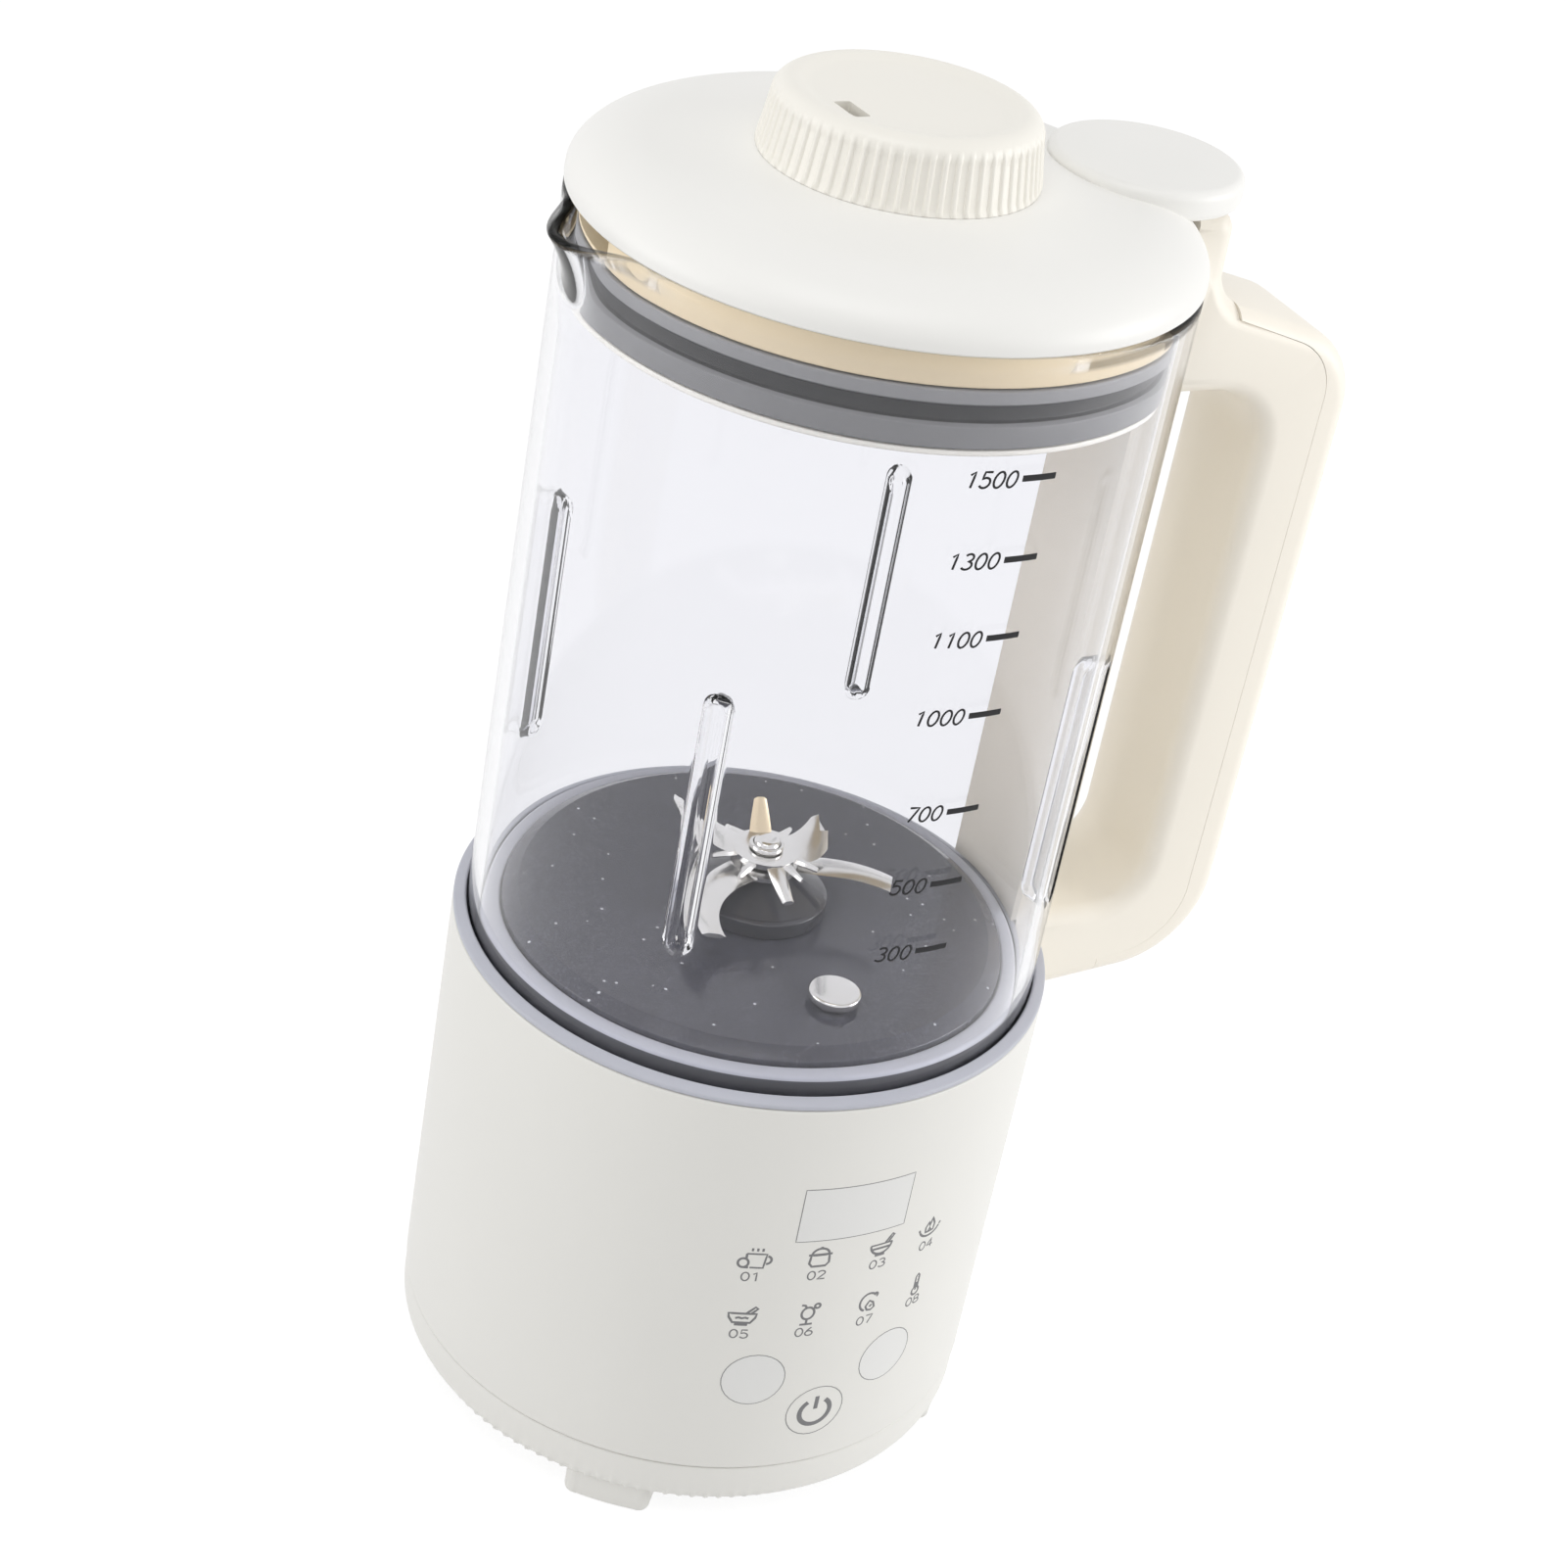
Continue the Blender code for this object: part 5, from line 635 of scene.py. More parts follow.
class Form:
    """A mesh being shaped, in millimetres around the machine's axis."""

    def __init__(self) -> None:
        """Starts with nothing."""
        self.mesh = bmesh.new()

    def spin(self, profile: Sequence[Point], steps: int, closed: bool = True) -> "Form":
        """Spins a profile of radii and heights about the axis.

        Args:
            profile: The profile's points.
            steps: The number of steps of the full turn.
            closed: Whether the profile's ends are joined.

        Returns:
            This form.
        """
        made = bmesh.new()
        verts = [made.verts.new((radius, 0, height)) for radius, height in profile]
        pairs = list(zip(verts, verts[1:])) + ([(verts[-1], verts[0])] if closed else [])
        edges = [made.edges.new(pair) for pair in pairs if pair[0].co.x or pair[1].co.x]
        bmesh.ops.spin(made, geom=verts + edges, cent=(0, 0, 0), axis=(0, 0, 1), dvec=(0, 0, 0),
                       angle=FULL_TURN, steps=steps, use_merge=True, use_normal_flip=False,
                       use_duplicate=False)
        return self._take(made)

    def _take(self, made: bmesh.types.BMesh) -> "Form":
        """Welds a new shell, turns its faces out and adds it."""
        bmesh.ops.remove_doubles(made, verts=made.verts, dist=WELD)
        bmesh.ops.recalc_face_normals(made, faces=made.faces)
        return self.add(made)

    def add(self, made: bmesh.types.BMesh) -> "Form":
        """Adds another mesh's faces to this one."""
        loose = bpy.data.meshes.new("loose")
        made.to_mesh(loose)
        self.mesh.from_mesh(loose)
        made.free()
        bpy.data.meshes.remove(loose)
        return self

    def box(self, size: Sequence[float], place: Sequence[float], turn: float = 0.0,
            rounding: float = 0.0, segments: int = 3) -> "Form":
        """Adds a box turned about the axis's direction, its edges rounded.

        Args:
            size: Its three sizes.
            place: Its middle.
            turn: Its turn in degrees.
            rounding: The radius of its edges.
            segments: The parts of each rounding.

        Returns:
            This form.
        """
        made = bmesh.new()
        bmesh.ops.create_cube(made, size=1)
        bmesh.ops.scale(made, vec=size, verts=made.verts)
        soften(made, made.edges[:], rounding, segments)
        bmesh.ops.rotate(made, matrix=Matrix.Rotation(math.radians(turn), 3, "Z"), verts=made.verts)
        bmesh.ops.translate(made, vec=Vector(place), verts=made.verts)
        return self.add(made)

    def rod(self, radius: float, low: Sequence[float], high: Sequence[float], steps: int = 48,
            rounding: float = 0.0) -> "Form":
        """Adds a rod between two places.

        Args:
            radius: Its radius.
            low: The middle of its first end.
            high: The middle of its other end.
            steps: Its number of sides.
            rounding: The radius of the edge at each end.

        Returns:
            This form.
        """
        made = bmesh.new()
        start, end = Vector(low), Vector(high)
        bmesh.ops.create_cone(made, cap_ends=True, segments=steps, radius1=radius, radius2=radius,
                              depth=(end - start).length)
        soften(made, level_edges(made), rounding, 4)
        aim = Vector((0, 0, 1)).rotation_difference(end - start).to_matrix()
        bmesh.ops.rotate(made, matrix=aim, verts=made.verts)
        bmesh.ops.translate(made, vec=(start + end) / 2, verts=made.verts)
        return self.add(made)

    def sheet(self, columns: int, rows: int, place: Callable[[float, float], Vector]) -> "Form":
        """Adds a grid whose corners are placed by a rule and whose meeting edges are welded.

        Args:
            columns: Its faces across.
            rows: Its faces up.
            place: Gives a corner's place from its column and row.

        Returns:
            This form.
        """
        made = bmesh.new()
        bmesh.ops.create_grid(made, x_segments=columns, y_segments=rows, size=1)
        for vert in made.verts:
            vert.co = place(round((vert.co.x + 1) / 2 * columns), round((vert.co.y + 1) / 2 * rows))
        return self._take(made)

    def prism(self, outline: Sequence[Point], low: float, high: float, rounding: float = 0.0,
              segments: int = 8) -> "Form":
        """Adds a prism on an outline in X and Y, its two rims rounded.

        Args:
            outline: The outline.
            low: The height of its lower face.
            high: The height of its upper face.
            rounding: The radius of the rims.
            segments: The parts of a rounding.

        Returns:
            This form.
        """
        made = bmesh.new()
        verts = [made.verts.new((x, y, low)) for x, y in outline]
        loop = [made.edges.new(pair) for pair in zip(verts, verts[1:] + verts[:1])]
        bmesh.ops.edgeloop_fill(made, edges=loop)
        raised = bmesh.ops.extrude_face_region(made, geom=made.faces[:])["geom"]
        moved = [item for item in raised if isinstance(item, bmesh.types.BMVert)]
        bmesh.ops.translate(made, vec=(0, 0, high - low), verts=moved)
        bmesh.ops.recalc_face_normals(made, faces=made.faces)
        soften(made, level_edges(made), rounding, segments)
        bmesh.ops.triangulate(made, faces=[face for face in made.faces if len(face.verts) > 4])
        return self._take(made)

    def reshape(self, rule: Callable[[Vector], Vector]) -> "Form":
        """Moves every corner by a rule."""
        for vert in self.mesh.verts:
            vert.co = rule(vert.co)
        return self

    def turned(self, matrix: Matrix) -> "Form":
        """Moves the whole form by a matrix."""
        self.mesh.transform(matrix)
        return self

    def moved(self, place: Sequence[float]) -> "Form":
        """Shifts the whole form."""
        return self.turned(Matrix.Translation(place))

    def faced(self, turn: float) -> "Form":
        """Swings a form that was made towards +X so that it points at a turn."""
        return self.turned(Matrix.Rotation(math.radians(turn - 90), 4, "Z"))

    def tipped(self) -> "Form":
        """Stands a form up, so that its Y becomes height."""
        return self.turned(Matrix.Rotation(QUARTER, 4, "X"))

    def cut(self, tool: "Form", kind: Cut = Cut.TAKE) -> "Form":
        """Cuts, joins or crops this form with another, which is used up.

        Args:
            tool: The other form.
            kind: What it does.

        Returns:
            This form.
        """
        body, other = self._loose("body"), tool._loose("tool")
        tool.mesh.free()
        modifier = body.modifiers.new("cut", "BOOLEAN")
        modifier.object = other
        modifier.operation = kind.value
        modifier.solver = "EXACT"
        done = settled(body)
        self.mesh.clear()
        self.mesh.from_mesh(done)
        bmesh.ops.remove_doubles(self.mesh, verts=self.mesh.verts, dist=WELD)
        for item in (body, other):
            data = item.data
            bpy.data.objects.remove(item)
            bpy.data.meshes.remove(data)
        bpy.data.meshes.remove(done)
        return self

    def _loose(self, name: str) -> bpy.types.Object:
        """A plain object of this form's mesh."""
        mesh = bpy.data.meshes.new(name)
        self.mesh.to_mesh(mesh)
        return stood(name, mesh)

    def wrap(self, radius: float, turn: float, height: float) -> "Form":
        """Lays a flat form on a drum: X runs round it, Y up it and Z out of it."""
        def rule(corner: Vector) -> Vector:
            """Where a corner of the flat form lands."""
            round_it = turn + math.degrees(corner.x / radius)
            return polar(radius + corner.z, round_it, height + corner.y)
        return self.reshape(rule)


def lathe(corners: Sequence[Corner], steps: int, fillet: int = 6, closed: bool = True) -> Form:
    """A form turned from a section with filleted corners.

    Args:
        corners: The section's corners: radius, height and fillet.
        steps: The steps round the axis.
        fillet: The parts of each fillet.
        closed: Whether the section closes on itself, clear of the axis.

    Returns:
        The form.
    """
    return Form().spin(rounded(corners, fillet), steps, closed)


class Workshop:
    """Turns forms into finished pieces, and keeps the materials that they share."""

    def __init__(self) -> None:
        """Starts with no materials mixed."""
        self.mixed: dict[str, bpy.types.Material] = {}

    def material(self, finish: Finish) -> bpy.types.Material:
        """The material of a finish, mixed once."""
        if finish.name not in self.mixed:
            self.mixed[finish.name] = finish.make()
        return self.mixed[finish.name]

    def show(self, form: Form, name: str, finish: Finish, body: Body, *nodes: str,
             sharp: float = 35.0) -> bpy.types.Object:
        """Makes a piece of a form.

        Args:
            form: The form, which is used up.
            name: The piece's name.
            finish: Its finish.
            body: The body it rides on.
            nodes: The solids that it stands for.
            sharp: Edges that turn by more than this stay sharp, in degrees.

        Returns:
            The piece.
        """
        mesh = bpy.data.meshes.new(name)
        form.turned(Matrix.Translation((AXIS_X * MM, 0, 0)) @ Matrix.Scale(MM, 4))
        form.mesh.to_mesh(mesh)
        form.mesh.free()
        mesh.shade_smooth()
        mesh.set_sharp_from_angle(angle=math.radians(sharp))
        mesh.materials.append(self.material(finish))
        piece = stood(name, mesh)
        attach(piece, body.value)
        if nodes:
            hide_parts(*nodes)
        LOG.info("%s: %d faces, rides %s, stands for %s", name, len(mesh.polygons), body.value,
                 ", ".join(nodes) or "nothing")
        return piece

    def dress(self, finish: Finish, nodes: Iterable[str]) -> None:
        """Gives solids that stay as they are a finish.

        Args:
            finish: The finish.
            nodes: The solids.
        """
        for node in nodes:
            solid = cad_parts[node]
            for place in solid.material_slots:
                place.material = self.material(finish)
            LOG.info("%s: kept, finished as %s", node, finish.name)


# Base
@dataclass
class Base:
    """The housing, the bottom cover with its feet and the seat ring."""

    radius: float = 67.15
    cover_radius: float = 66.9
    seam: float = 17.6
    top: float = 119.2
    seat: float = 111.0
    floor: float = 9.0
    foot_height: float = 6.5
    foot_turn: float = -38.0
    post_turn: float = -60.0
    rib_pitch: float = 2.65
    rib_first: float = -74.0
    rib_count: int = 27
    rib_height: float = 0.45
    rib_half: float = 0.45
    rib_sides: int = 816

    def build(self, shop: Workshop) -> None:
        """Builds and finishes the base."""
        shop.show(self.cover(), "bottom_cover_shell", SHELL, Body.BASE, "bottom_cover")
        shop.show(self.housing(), "housing_shell", SHELL, Body.BASE, "housing")
        shop.show(self.seat_ring(), "seat_ring", SEAL, Body.BASE, "jar_seal")

    def rib(self, corner: Vector) -> Vector:
        """Raises the short ribs on the cover's lower edge."""
        radius, turn = bearing(corner)
        along = (turn - self.rib_first) / self.rib_pitch
        if not (-0.5 < along < self.rib_count - 0.5 and radius > 60 and corner.z < 12.5):
            return corner
        off = abs(along - round(along)) * self.rib_pitch
        ends = min(1.0, (along + 0.6) / 3, (self.rib_count - along - 0.4) / 5)
        level = (corner.z - self.foot_height) / 4
        across = max(0.0, 1 - (off / self.rib_half) ** 2)
        upward = max(0.0, math.sin(math.pi * min(1.0, 0.12 + level * 0.8)))
        away = Vector((corner.x / radius, corner.y / radius, -0.7)).normalized()
        return corner + away * (self.rib_height * across * upward * ends)

    def cover(self) -> Form:
        """The bottom cover: floor, rounded lower edge, inner lip, vents and feet."""
        edge = 4.0
        low = self.foot_height
        lip = 64.4
        outer = [(0.0, low), (40.0, low), (58.0, low)]
        outer += arc((self.cover_radius - edge, low + edge), (edge, edge), -90, 0, 14)
        outer += [(self.cover_radius, 14.0)]
        outer += arc((self.cover_radius - 0.5, self.seam - 0.5), (0.5, 0.5), 0, 90, 3)
        inner = [(lip, self.seam), (lip, self.seam + 3), (lip - 1.6, self.seam + 3),
                 (lip - 1.6, self.floor + 1.5), (lip - 3.1, self.floor), (0.0, self.floor)]
        form = Form().spin(outer + inner, self.rib_sides, closed=False).reshape(self.rib)
        slots = Form()
        for index in range(8):
            turn = 45.0 * index
            slots.box((3, 20, 8), polar(28, turn, low + 1), turn, 1.4)
        for index in range(4):
            turn = self.post_turn + 90 * index
            slots.rod(3.4, polar(56, turn, 0), polar(56, turn, low + 0.9))
        form.cut(slots)
        for index in range(4):
            form.cut(self.foot(self.foot_turn + 90 * index), Cut.JOIN)
        return form

    def foot(self, turn: float) -> Form:
        """One foot: a sector with rounded edges."""
        half, inner, outer, height = 10.0, 52.0, 65.5, 8.7
        reach = math.degrees(math.asin(half / outer)) - 3
        wall = arc((0, 0), (outer, outer), -reach, reach, 16)
        corners = [(x, y, 0.0) for x, y in wall]
        corners += [(wall[-1][0] + 0.2, half, 2.6), (inner, half, 2.0), (inner, -half, 2.0),
                    (wall[0][0] + 0.2, -half, 2.6)]
        return Form().prism(rounded(corners), 0, height, 1.6, 5).faced(turn)

    def housing(self) -> Form:
        """The housing wall with its rim, its ledge and the opening for the inlet."""
        low, wall, rim, ledge = self.seam + 0.3, 64.7, 65.9, 52.2
        under = self.seat - 2.5
        form = lathe([(self.radius, self.top, 0.6), (self.radius, low, 0.5), (wall, low, 0),
                      (wall, under, 2), (ledge, under, 0.8), (ledge, self.seat, 0.8),
                      (rim, self.seat, 0.6), (rim, self.top, 0.4)], Sides.DRUM)
        return form.cut(Form().box((27.6, 20, 20.1), (0, 68, 50), 0, 1.8))

    def seat_ring(self) -> Form:
        """The silicone ring between housing and glass, with its inner leg."""
        glass, skin, flange, body, inner = 64.3, 65.6, 67.1, (56.8, 60.7), 52.5
        low, floor, brim, leg = self.seat + 0.3, 113.7, self.top + 0.3, 123.8
        return lathe([(glass, 121.6, 0.5), (flange, 120.4, 0.7), (flange, brim, 0.15),
                      (skin, brim, 0), (skin, low, 0), (inner, low, 0.5), (inner, floor, 0.5),
                      (body[0], floor, 0), (body[0], leg, 0.6), (body[1], leg, 1.0),
                      (body[1], floor, 0), (glass, floor, 0)], Sides.DRUM, 5)


# Jar
@dataclass
class Jar:
    """The glass jar: a drawn tube with a pouring lip and four flutes pressed into its wall."""

    outer: float = 64.0
    inner: float = 61.0
    low: float = 114.0
    top: float = 288.9
    lip_reach: float = 8.0
    lip_drop: float = 1.5
    lip_height: float = 24.0
    lip_half: float = 17.0
    flute_turns: tuple[float, ...] = (46.0, 136.0, 226.0, 316.0)
    flute_low: float = 148.6
    flute_high: float = 210.6
    flute_end: float = 7.4
    flute_step: float = 0.2
    flute_steps: int = 21
    plain_steps: int = 56

    def build(self, shop: Workshop) -> None:
        """Builds and finishes the jar."""
        glass = shop.show(self.glass(), "glass_jar_wall", GLASS, Body.BASE, "glass_jar")
        glass.visible_shadow = False

    def turns(self) -> list[float]:
        """The turns of the grid's columns, close together at the flutes."""
        near = [math.degrees(self.flute_step * step / self.outer)
                for step in range(self.flute_steps + 1)]
        fine: list[float] = []
        for centre in self.flute_turns:
            fine += [centre - off for off in near[:0:-1]] + [centre + off for off in near]
            start = centre + near[-1]
            gap = 90 - 2 * near[-1]
            fine += [start + gap * step / self.plain_steps for step in range(1, self.plain_steps)]
        return fine + [fine[0] + 360]

    def heights(self) -> list[float]:
        """The heights of the grid's rows, close together at the flutes' ends and at the lip."""
        def run(start: float, end: float, steps: int) -> list[float]:
            """Evenly spaced heights, without the last."""
            return [start + (end - start) * step / steps for step in range(steps)]
        low, high = self.flute_low + self.flute_end, self.flute_high - self.flute_end
        rows = [self.low + 0.8, 118.0, 123.0, 131.0, 140.0, 146.5]
        rows += run(self.flute_low - 0.2, low, 26) + run(low, high, 8)
        rows += run(high, self.flute_high + 0.4, 26)
        rows += [211.4, 214.0, 222.0, 236.0, 252.0]
        rows += run(self.top - self.lip_height - 2, self.top - 1.0, 22) + [self.top - 1.5]
        return sorted(rows)

    @staticmethod
    def pressed(side: float, height: float, half: float, nose: float, reach: float, corner: float,
                ends: Point) -> float:
        """How deep a flute is at one place.

        Args:
            side: The distance from the flute's middle line.
            height: The height.
            half: Half of the flute's width where it leaves the wall.
            nose: The radius of its innermost edge.
            reach: Its full depth.
            corner: The radius in which its ends turn.
            ends: The heights of its ends.

        Returns:
            The depth.
        """
        off = min(height - ends[0], ends[1] - height)
        if off <= 0:
            return 0.0
        middle = abs(side) if off > half else math.hypot(side, half - off)
        if middle >= half:
            return 0.0
        if middle < nose:
            depth = reach - nose + math.sqrt(nose ** 2 - middle ** 2)
        else:
            depth = (reach - nose) * eased((half - middle) / (half - nose))
        if off < corner:
            depth = min(depth, reach * math.sqrt(1 - (1 - off / corner) ** 2))
        return depth

    def glass(self) -> Form:
        """The wall, as one grid: columns round the jar, rows up its outside and down its inside."""
        turns = self.turns()
        rows = self.heights()
        bead = (self.outer - self.inner) / 2
        middle = (self.outer + self.inner) / 2
        path = [(self.outer, height) for height in rows]
        path += arc((middle, self.top - bead), (bead, bead), 0, 180, 10)
        path += [(self.inner, height) for height in reversed(rows)]
        path += arc((middle, self.low + 0.8), (bead, 0.8), 180, 360, 6)

        def place(column: float, row: float) -> Vector:
            """Where a corner of the grid lies."""
            turn = turns[int(column)]
            radius, height = path[int(row)]
            offs = (math.remainder(turn - centre, 360) for centre in self.flute_turns)
            side = math.radians(min(offs, key=abs)) * self.outer
            if radius > middle:
                ends = (self.flute_low + 1.2, self.flute_high - 1.2)
                radius -= self.pressed(side, height, 2.2, 1.0, 4.9, 5.0, ends)
            else:
                ends = (self.flute_low, self.flute_high)
                radius -= self.pressed(side, height, 3.5, 2.3, 4.5, 6.0, ends)
            off = math.remainder(turn + 90, 360)
            rise = (height - self.top + self.lip_height) / self.lip_height
            if abs(off) < self.lip_half and rise > 0:
                around = math.cos(math.radians(off / self.lip_half * 90)) ** 2 * rise ** 2
                radius += self.lip_reach * around
                height -= self.lip_drop * around
            return polar(radius, turn, height)
        return Form().sheet(len(turns) - 1, len(path) - 1, place)


# Heating plate, probe and pedestal
@dataclass
class Plate:
    """The coated heating plate with its temperature probe and the pedestal of the blades."""

    radius: float = 56.5
    top: float = 126.6
    low: float = 114.0
    bore: float = 9.1
    stud_place: float = 37.0
    probe_place: float = 39.2

    def build(self, shop: Workshop) -> None:
        """Builds and finishes the plate and what stands on it."""
        shop.show(self.disc(), "coated_plate", PLATE, Body.BASE, "heating_plate")
        shop.show(self.probe(), "probe_stud", POLISHED, Body.BASE, "temperature_probe")
        shop.show(self.pedestal(), "pedestal_cone", PEDESTAL, Body.BASE, "blade_pedestal")
        washer = lathe([(self.bore, 126.9, 0), (12.9, 126.9, 0.3), (12.9, 127.7, 0.3),
                        (self.bore, 127.7, 0)], Sides.HUB)
        shop.show(washer, "pedestal_washer", RUBBER, Body.BASE, "pedestal_gasket")

    def disc(self) -> Form:
        """The plate, its chamfered rim and the studs under it."""
        inside, under = self.radius - 2.5, self.top - 2.5
        form = lathe([(self.bore, self.top, 0.3), (self.radius - 3.3, self.top, 0.4),
                      (self.radius, self.top - 1.8, 0.4), (self.radius, self.low, 0.4),
                      (inside, self.low, 0.4), (inside, under - 1.2, 0), (inside - 1.3, under, 0),
                      (self.bore, under, 0)], Sides.DRUM)
        for turn in (60, 180, 300):
            foot, head = polar(self.stud_place, turn, 98.8), polar(self.stud_place, turn, 125.0)
            form.rod(2.5, foot, head, 24, 0.3)
        return form

    def probe(self) -> Form:
        """The steel button over its hexagon, on a threaded shank."""
        head, shank, top, brim, low = 5.7, 3.0, 130.1, 128.2, 116.6
        cap = lathe([(0, top, 0), (head, top, 0.5), (head, brim, 0.4), (shank, brim, 0),
                     (shank, low, 0.4), (0, low, 0)], Sides.SHAFT, 5, closed=False)
        cap.rod(4.5, (0, 0, 126.9), (0, 0, 128.5), 6, 0.15)
        return cap.moved(polar(self.probe_place, 0))

    def pedestal(self) -> Form:
        """The dark cone that lifts the blades, with the tube that holds the upper bearing."""
        crown, step, brim, skirt, tube, race, shaft = 5.6, 14.7, 15.5, 13.3, 8.8, 6.9, 3.3
        high, flange, under, edge, seat, low = 136.0, 130.4, 128.0, 126.8, 122.1, 112.6
        foot = flange + 0.8
        slope = arc((step, high), (step - crown, high - foot), 270, 180, 12)
        corners = [(brim, flange, 0.4), (brim, edge, 0.3), (skirt, edge, 0), (skirt, under, 0),
                   (tube, under, 0), (tube, low, 0), (race, low, 0), (race, seat, 0),
                   (shaft, seat, 0), (shaft, high, 0), (crown, high, 0.3)]
        return Form().spin(slope + rounded(corners, 4), Sides.CAP)


# Blades
@dataclass(frozen=True)
class Wing:
    """One blade: where it points, how far it reaches, how wide it is and how it bends."""

    turn: float
    reach: float
    sweep: float
    root: float
    tip: float
    lift: float
    twist: float = 0.0
    bend: float = 1.5
    start: float = 4.5
    clip: float = 0.0
    lobes: float = 0.0

    def place(self, along: float, side: float, height: float) -> Vector:
        """A corner of the wing.

        Args:
            along: How far out it is, from 0 at the hub to 1 at the tip.
            side: Where it is across the wing, from -1 to 1.
            height: The height of the hub.

        Returns:
            Its place.
        """
        width = self.root + (self.tip - self.root) * along
        width *= 1 + 0.10 * math.sin(math.pi * along)
        notch = self.clip * max(0.0, side) + self.lobes * (1 - abs(math.sin(math.pi * side)))
        along -= notch * along ** 4
        radius = self.start + (self.reach - self.start) * along
        turn = self.turn + self.sweep * along ** 2
        twist = math.radians(self.twist * along)
        rise = self.lift * max(0.0, along - 0.22) ** self.bend
        rise += math.sin(twist) * side * width / 2
        across = math.cos(twist) * side * width / 2
        return polar(radius, turn, height + rise) + polar(across, turn + 90)


@dataclass
class Blades:
    """The two stacked blades, the spacer between them and the nut on top, all on the shaft."""

    low: float = 136.3
    high: float = 139.7
    sheet: float = 1.15
    skin: float = 0.94
    hub: float = 7.5
    bore: float = 3.3
    lower: tuple[Wing, ...] = (
        Wing(73, 28.8, -15, 6.6, 4.8, 1.5, 12),
        Wing(-71, 30.0, 26, 9.0, 5.4, -3.0, 14),
    )
    upper: tuple[Wing, ...] = (
        Wing(-128, 22.0, 8, 9.5, 7.5, 12.0, 10, clip=0.12),
        Wing(80, 15.2, 20, 9.2, 9.0, 4.5, 24, lobes=0.16),
        Wing(-6, 14.0, 5.5, 4.6, 2.7, -6.6, 0, 1.2),
    )
    raised: Wing = Wing(167, 11.0, 0, 5.4, 2.9, 8.0, 0, 1.0)
    tooth_turns: tuple[float, ...] = (15.75, 45.0, 128.0, -52.0, -96.0, -160.0)

    def build(self, shop: Workshop) -> None:
        """Builds and finishes the blades."""
        teeth = tuple(Wing(turn, 12.5, 0, 3.4, 1.0, -1.2, 0, 1.2) for turn in self.tooth_turns)
        spacer = lathe([(self.bore, 139.4, 0), (5.0, 139.4, 0.3), (5.0, 137.8, 0.3),
                        (self.bore, 137.8, 0)], Sides.SHAFT, 3)
        nut = lathe([(3.1, 142.3, 0.2), (3.9, 142.3, 0.5), (3.9, 141.2, 0.2), (3.1, 141.2, 0)],
                    Sides.SHAFT, 4)
        shaft = lathe([(0, 143.5, 0), (3.0, 143.2, 1.4), (3.0, 40.2, 0.3), (0, 40.2, 0)],
                      Sides.SHAFT, 5, closed=False)
        long, star = self.blade(self.low, self.lower), self.blade(self.high, self.upper + teeth)
        raised = self.wing(self.raised, self.high + self.sheet / 2)
        shop.show(long, "long_blade", BLADE, Body.ROTOR, "lower_blade")
        shop.show(star, "star_blade", BLADE, Body.ROTOR, "upper_blade")
        # The raised wing's colour carries a painted tan reflection.
        shop.show(raised, "raised_wing", TAN_REFLECTION_STEEL, Body.ROTOR)
        shop.show(spacer, "spacer_ring", POLISHED, Body.ROTOR, "blade_spacer")
        shop.show(nut, "round_nut", POLISHED, Body.ROTOR, "blade_nut")
        shop.show(shaft, "shaft", POLISHED, Body.ROTOR, "drive_shaft")

    def blade(self, height: float, wings: Sequence[Wing]) -> Form:
        """A hub disc and its wings, joined in one sheet and bored for the shaft."""
        top = height + self.sheet
        form = Form().spin([(0, top), (self.hub, top), (self.hub, height), (0, height)], Sides.HUB,
                           closed=False)
        for wing in wings:
            form.cut(self.wing(wing, height + self.sheet / 2), Cut.JOIN)
        return form.cut(Form().rod(self.bore, (0, 0, height - 5), (0, 0, height + 6)))

    def wing(self, wing: Wing, height: float) -> Form:
        """One wing as a closed sheet with a ground edge."""
        rows, columns = 4, 28
        half = self.sheet * self.skin / 2

        def place(column: float, row: float) -> Vector:
            """A corner of the sheet's skin, which runs over, round the edge and back under."""
            ring = row % (2 * rows)
            side = ring / rows * 2 - 1 if ring <= rows else 3 - ring / rows * 2
            level = 0.0 if ring in (0, rows) else half if ring < rows else -half
            return wing.place(column / columns, side, height + level)
        form = Form().sheet(columns, 2 * rows, place)
        open_edges = [edge for edge in form.mesh.edges if edge.is_boundary]
        bmesh.ops.holes_fill(form.mesh, edges=open_edges, sides=0)
        bmesh.ops.recalc_face_normals(form.mesh, faces=form.mesh.faces)
        return form


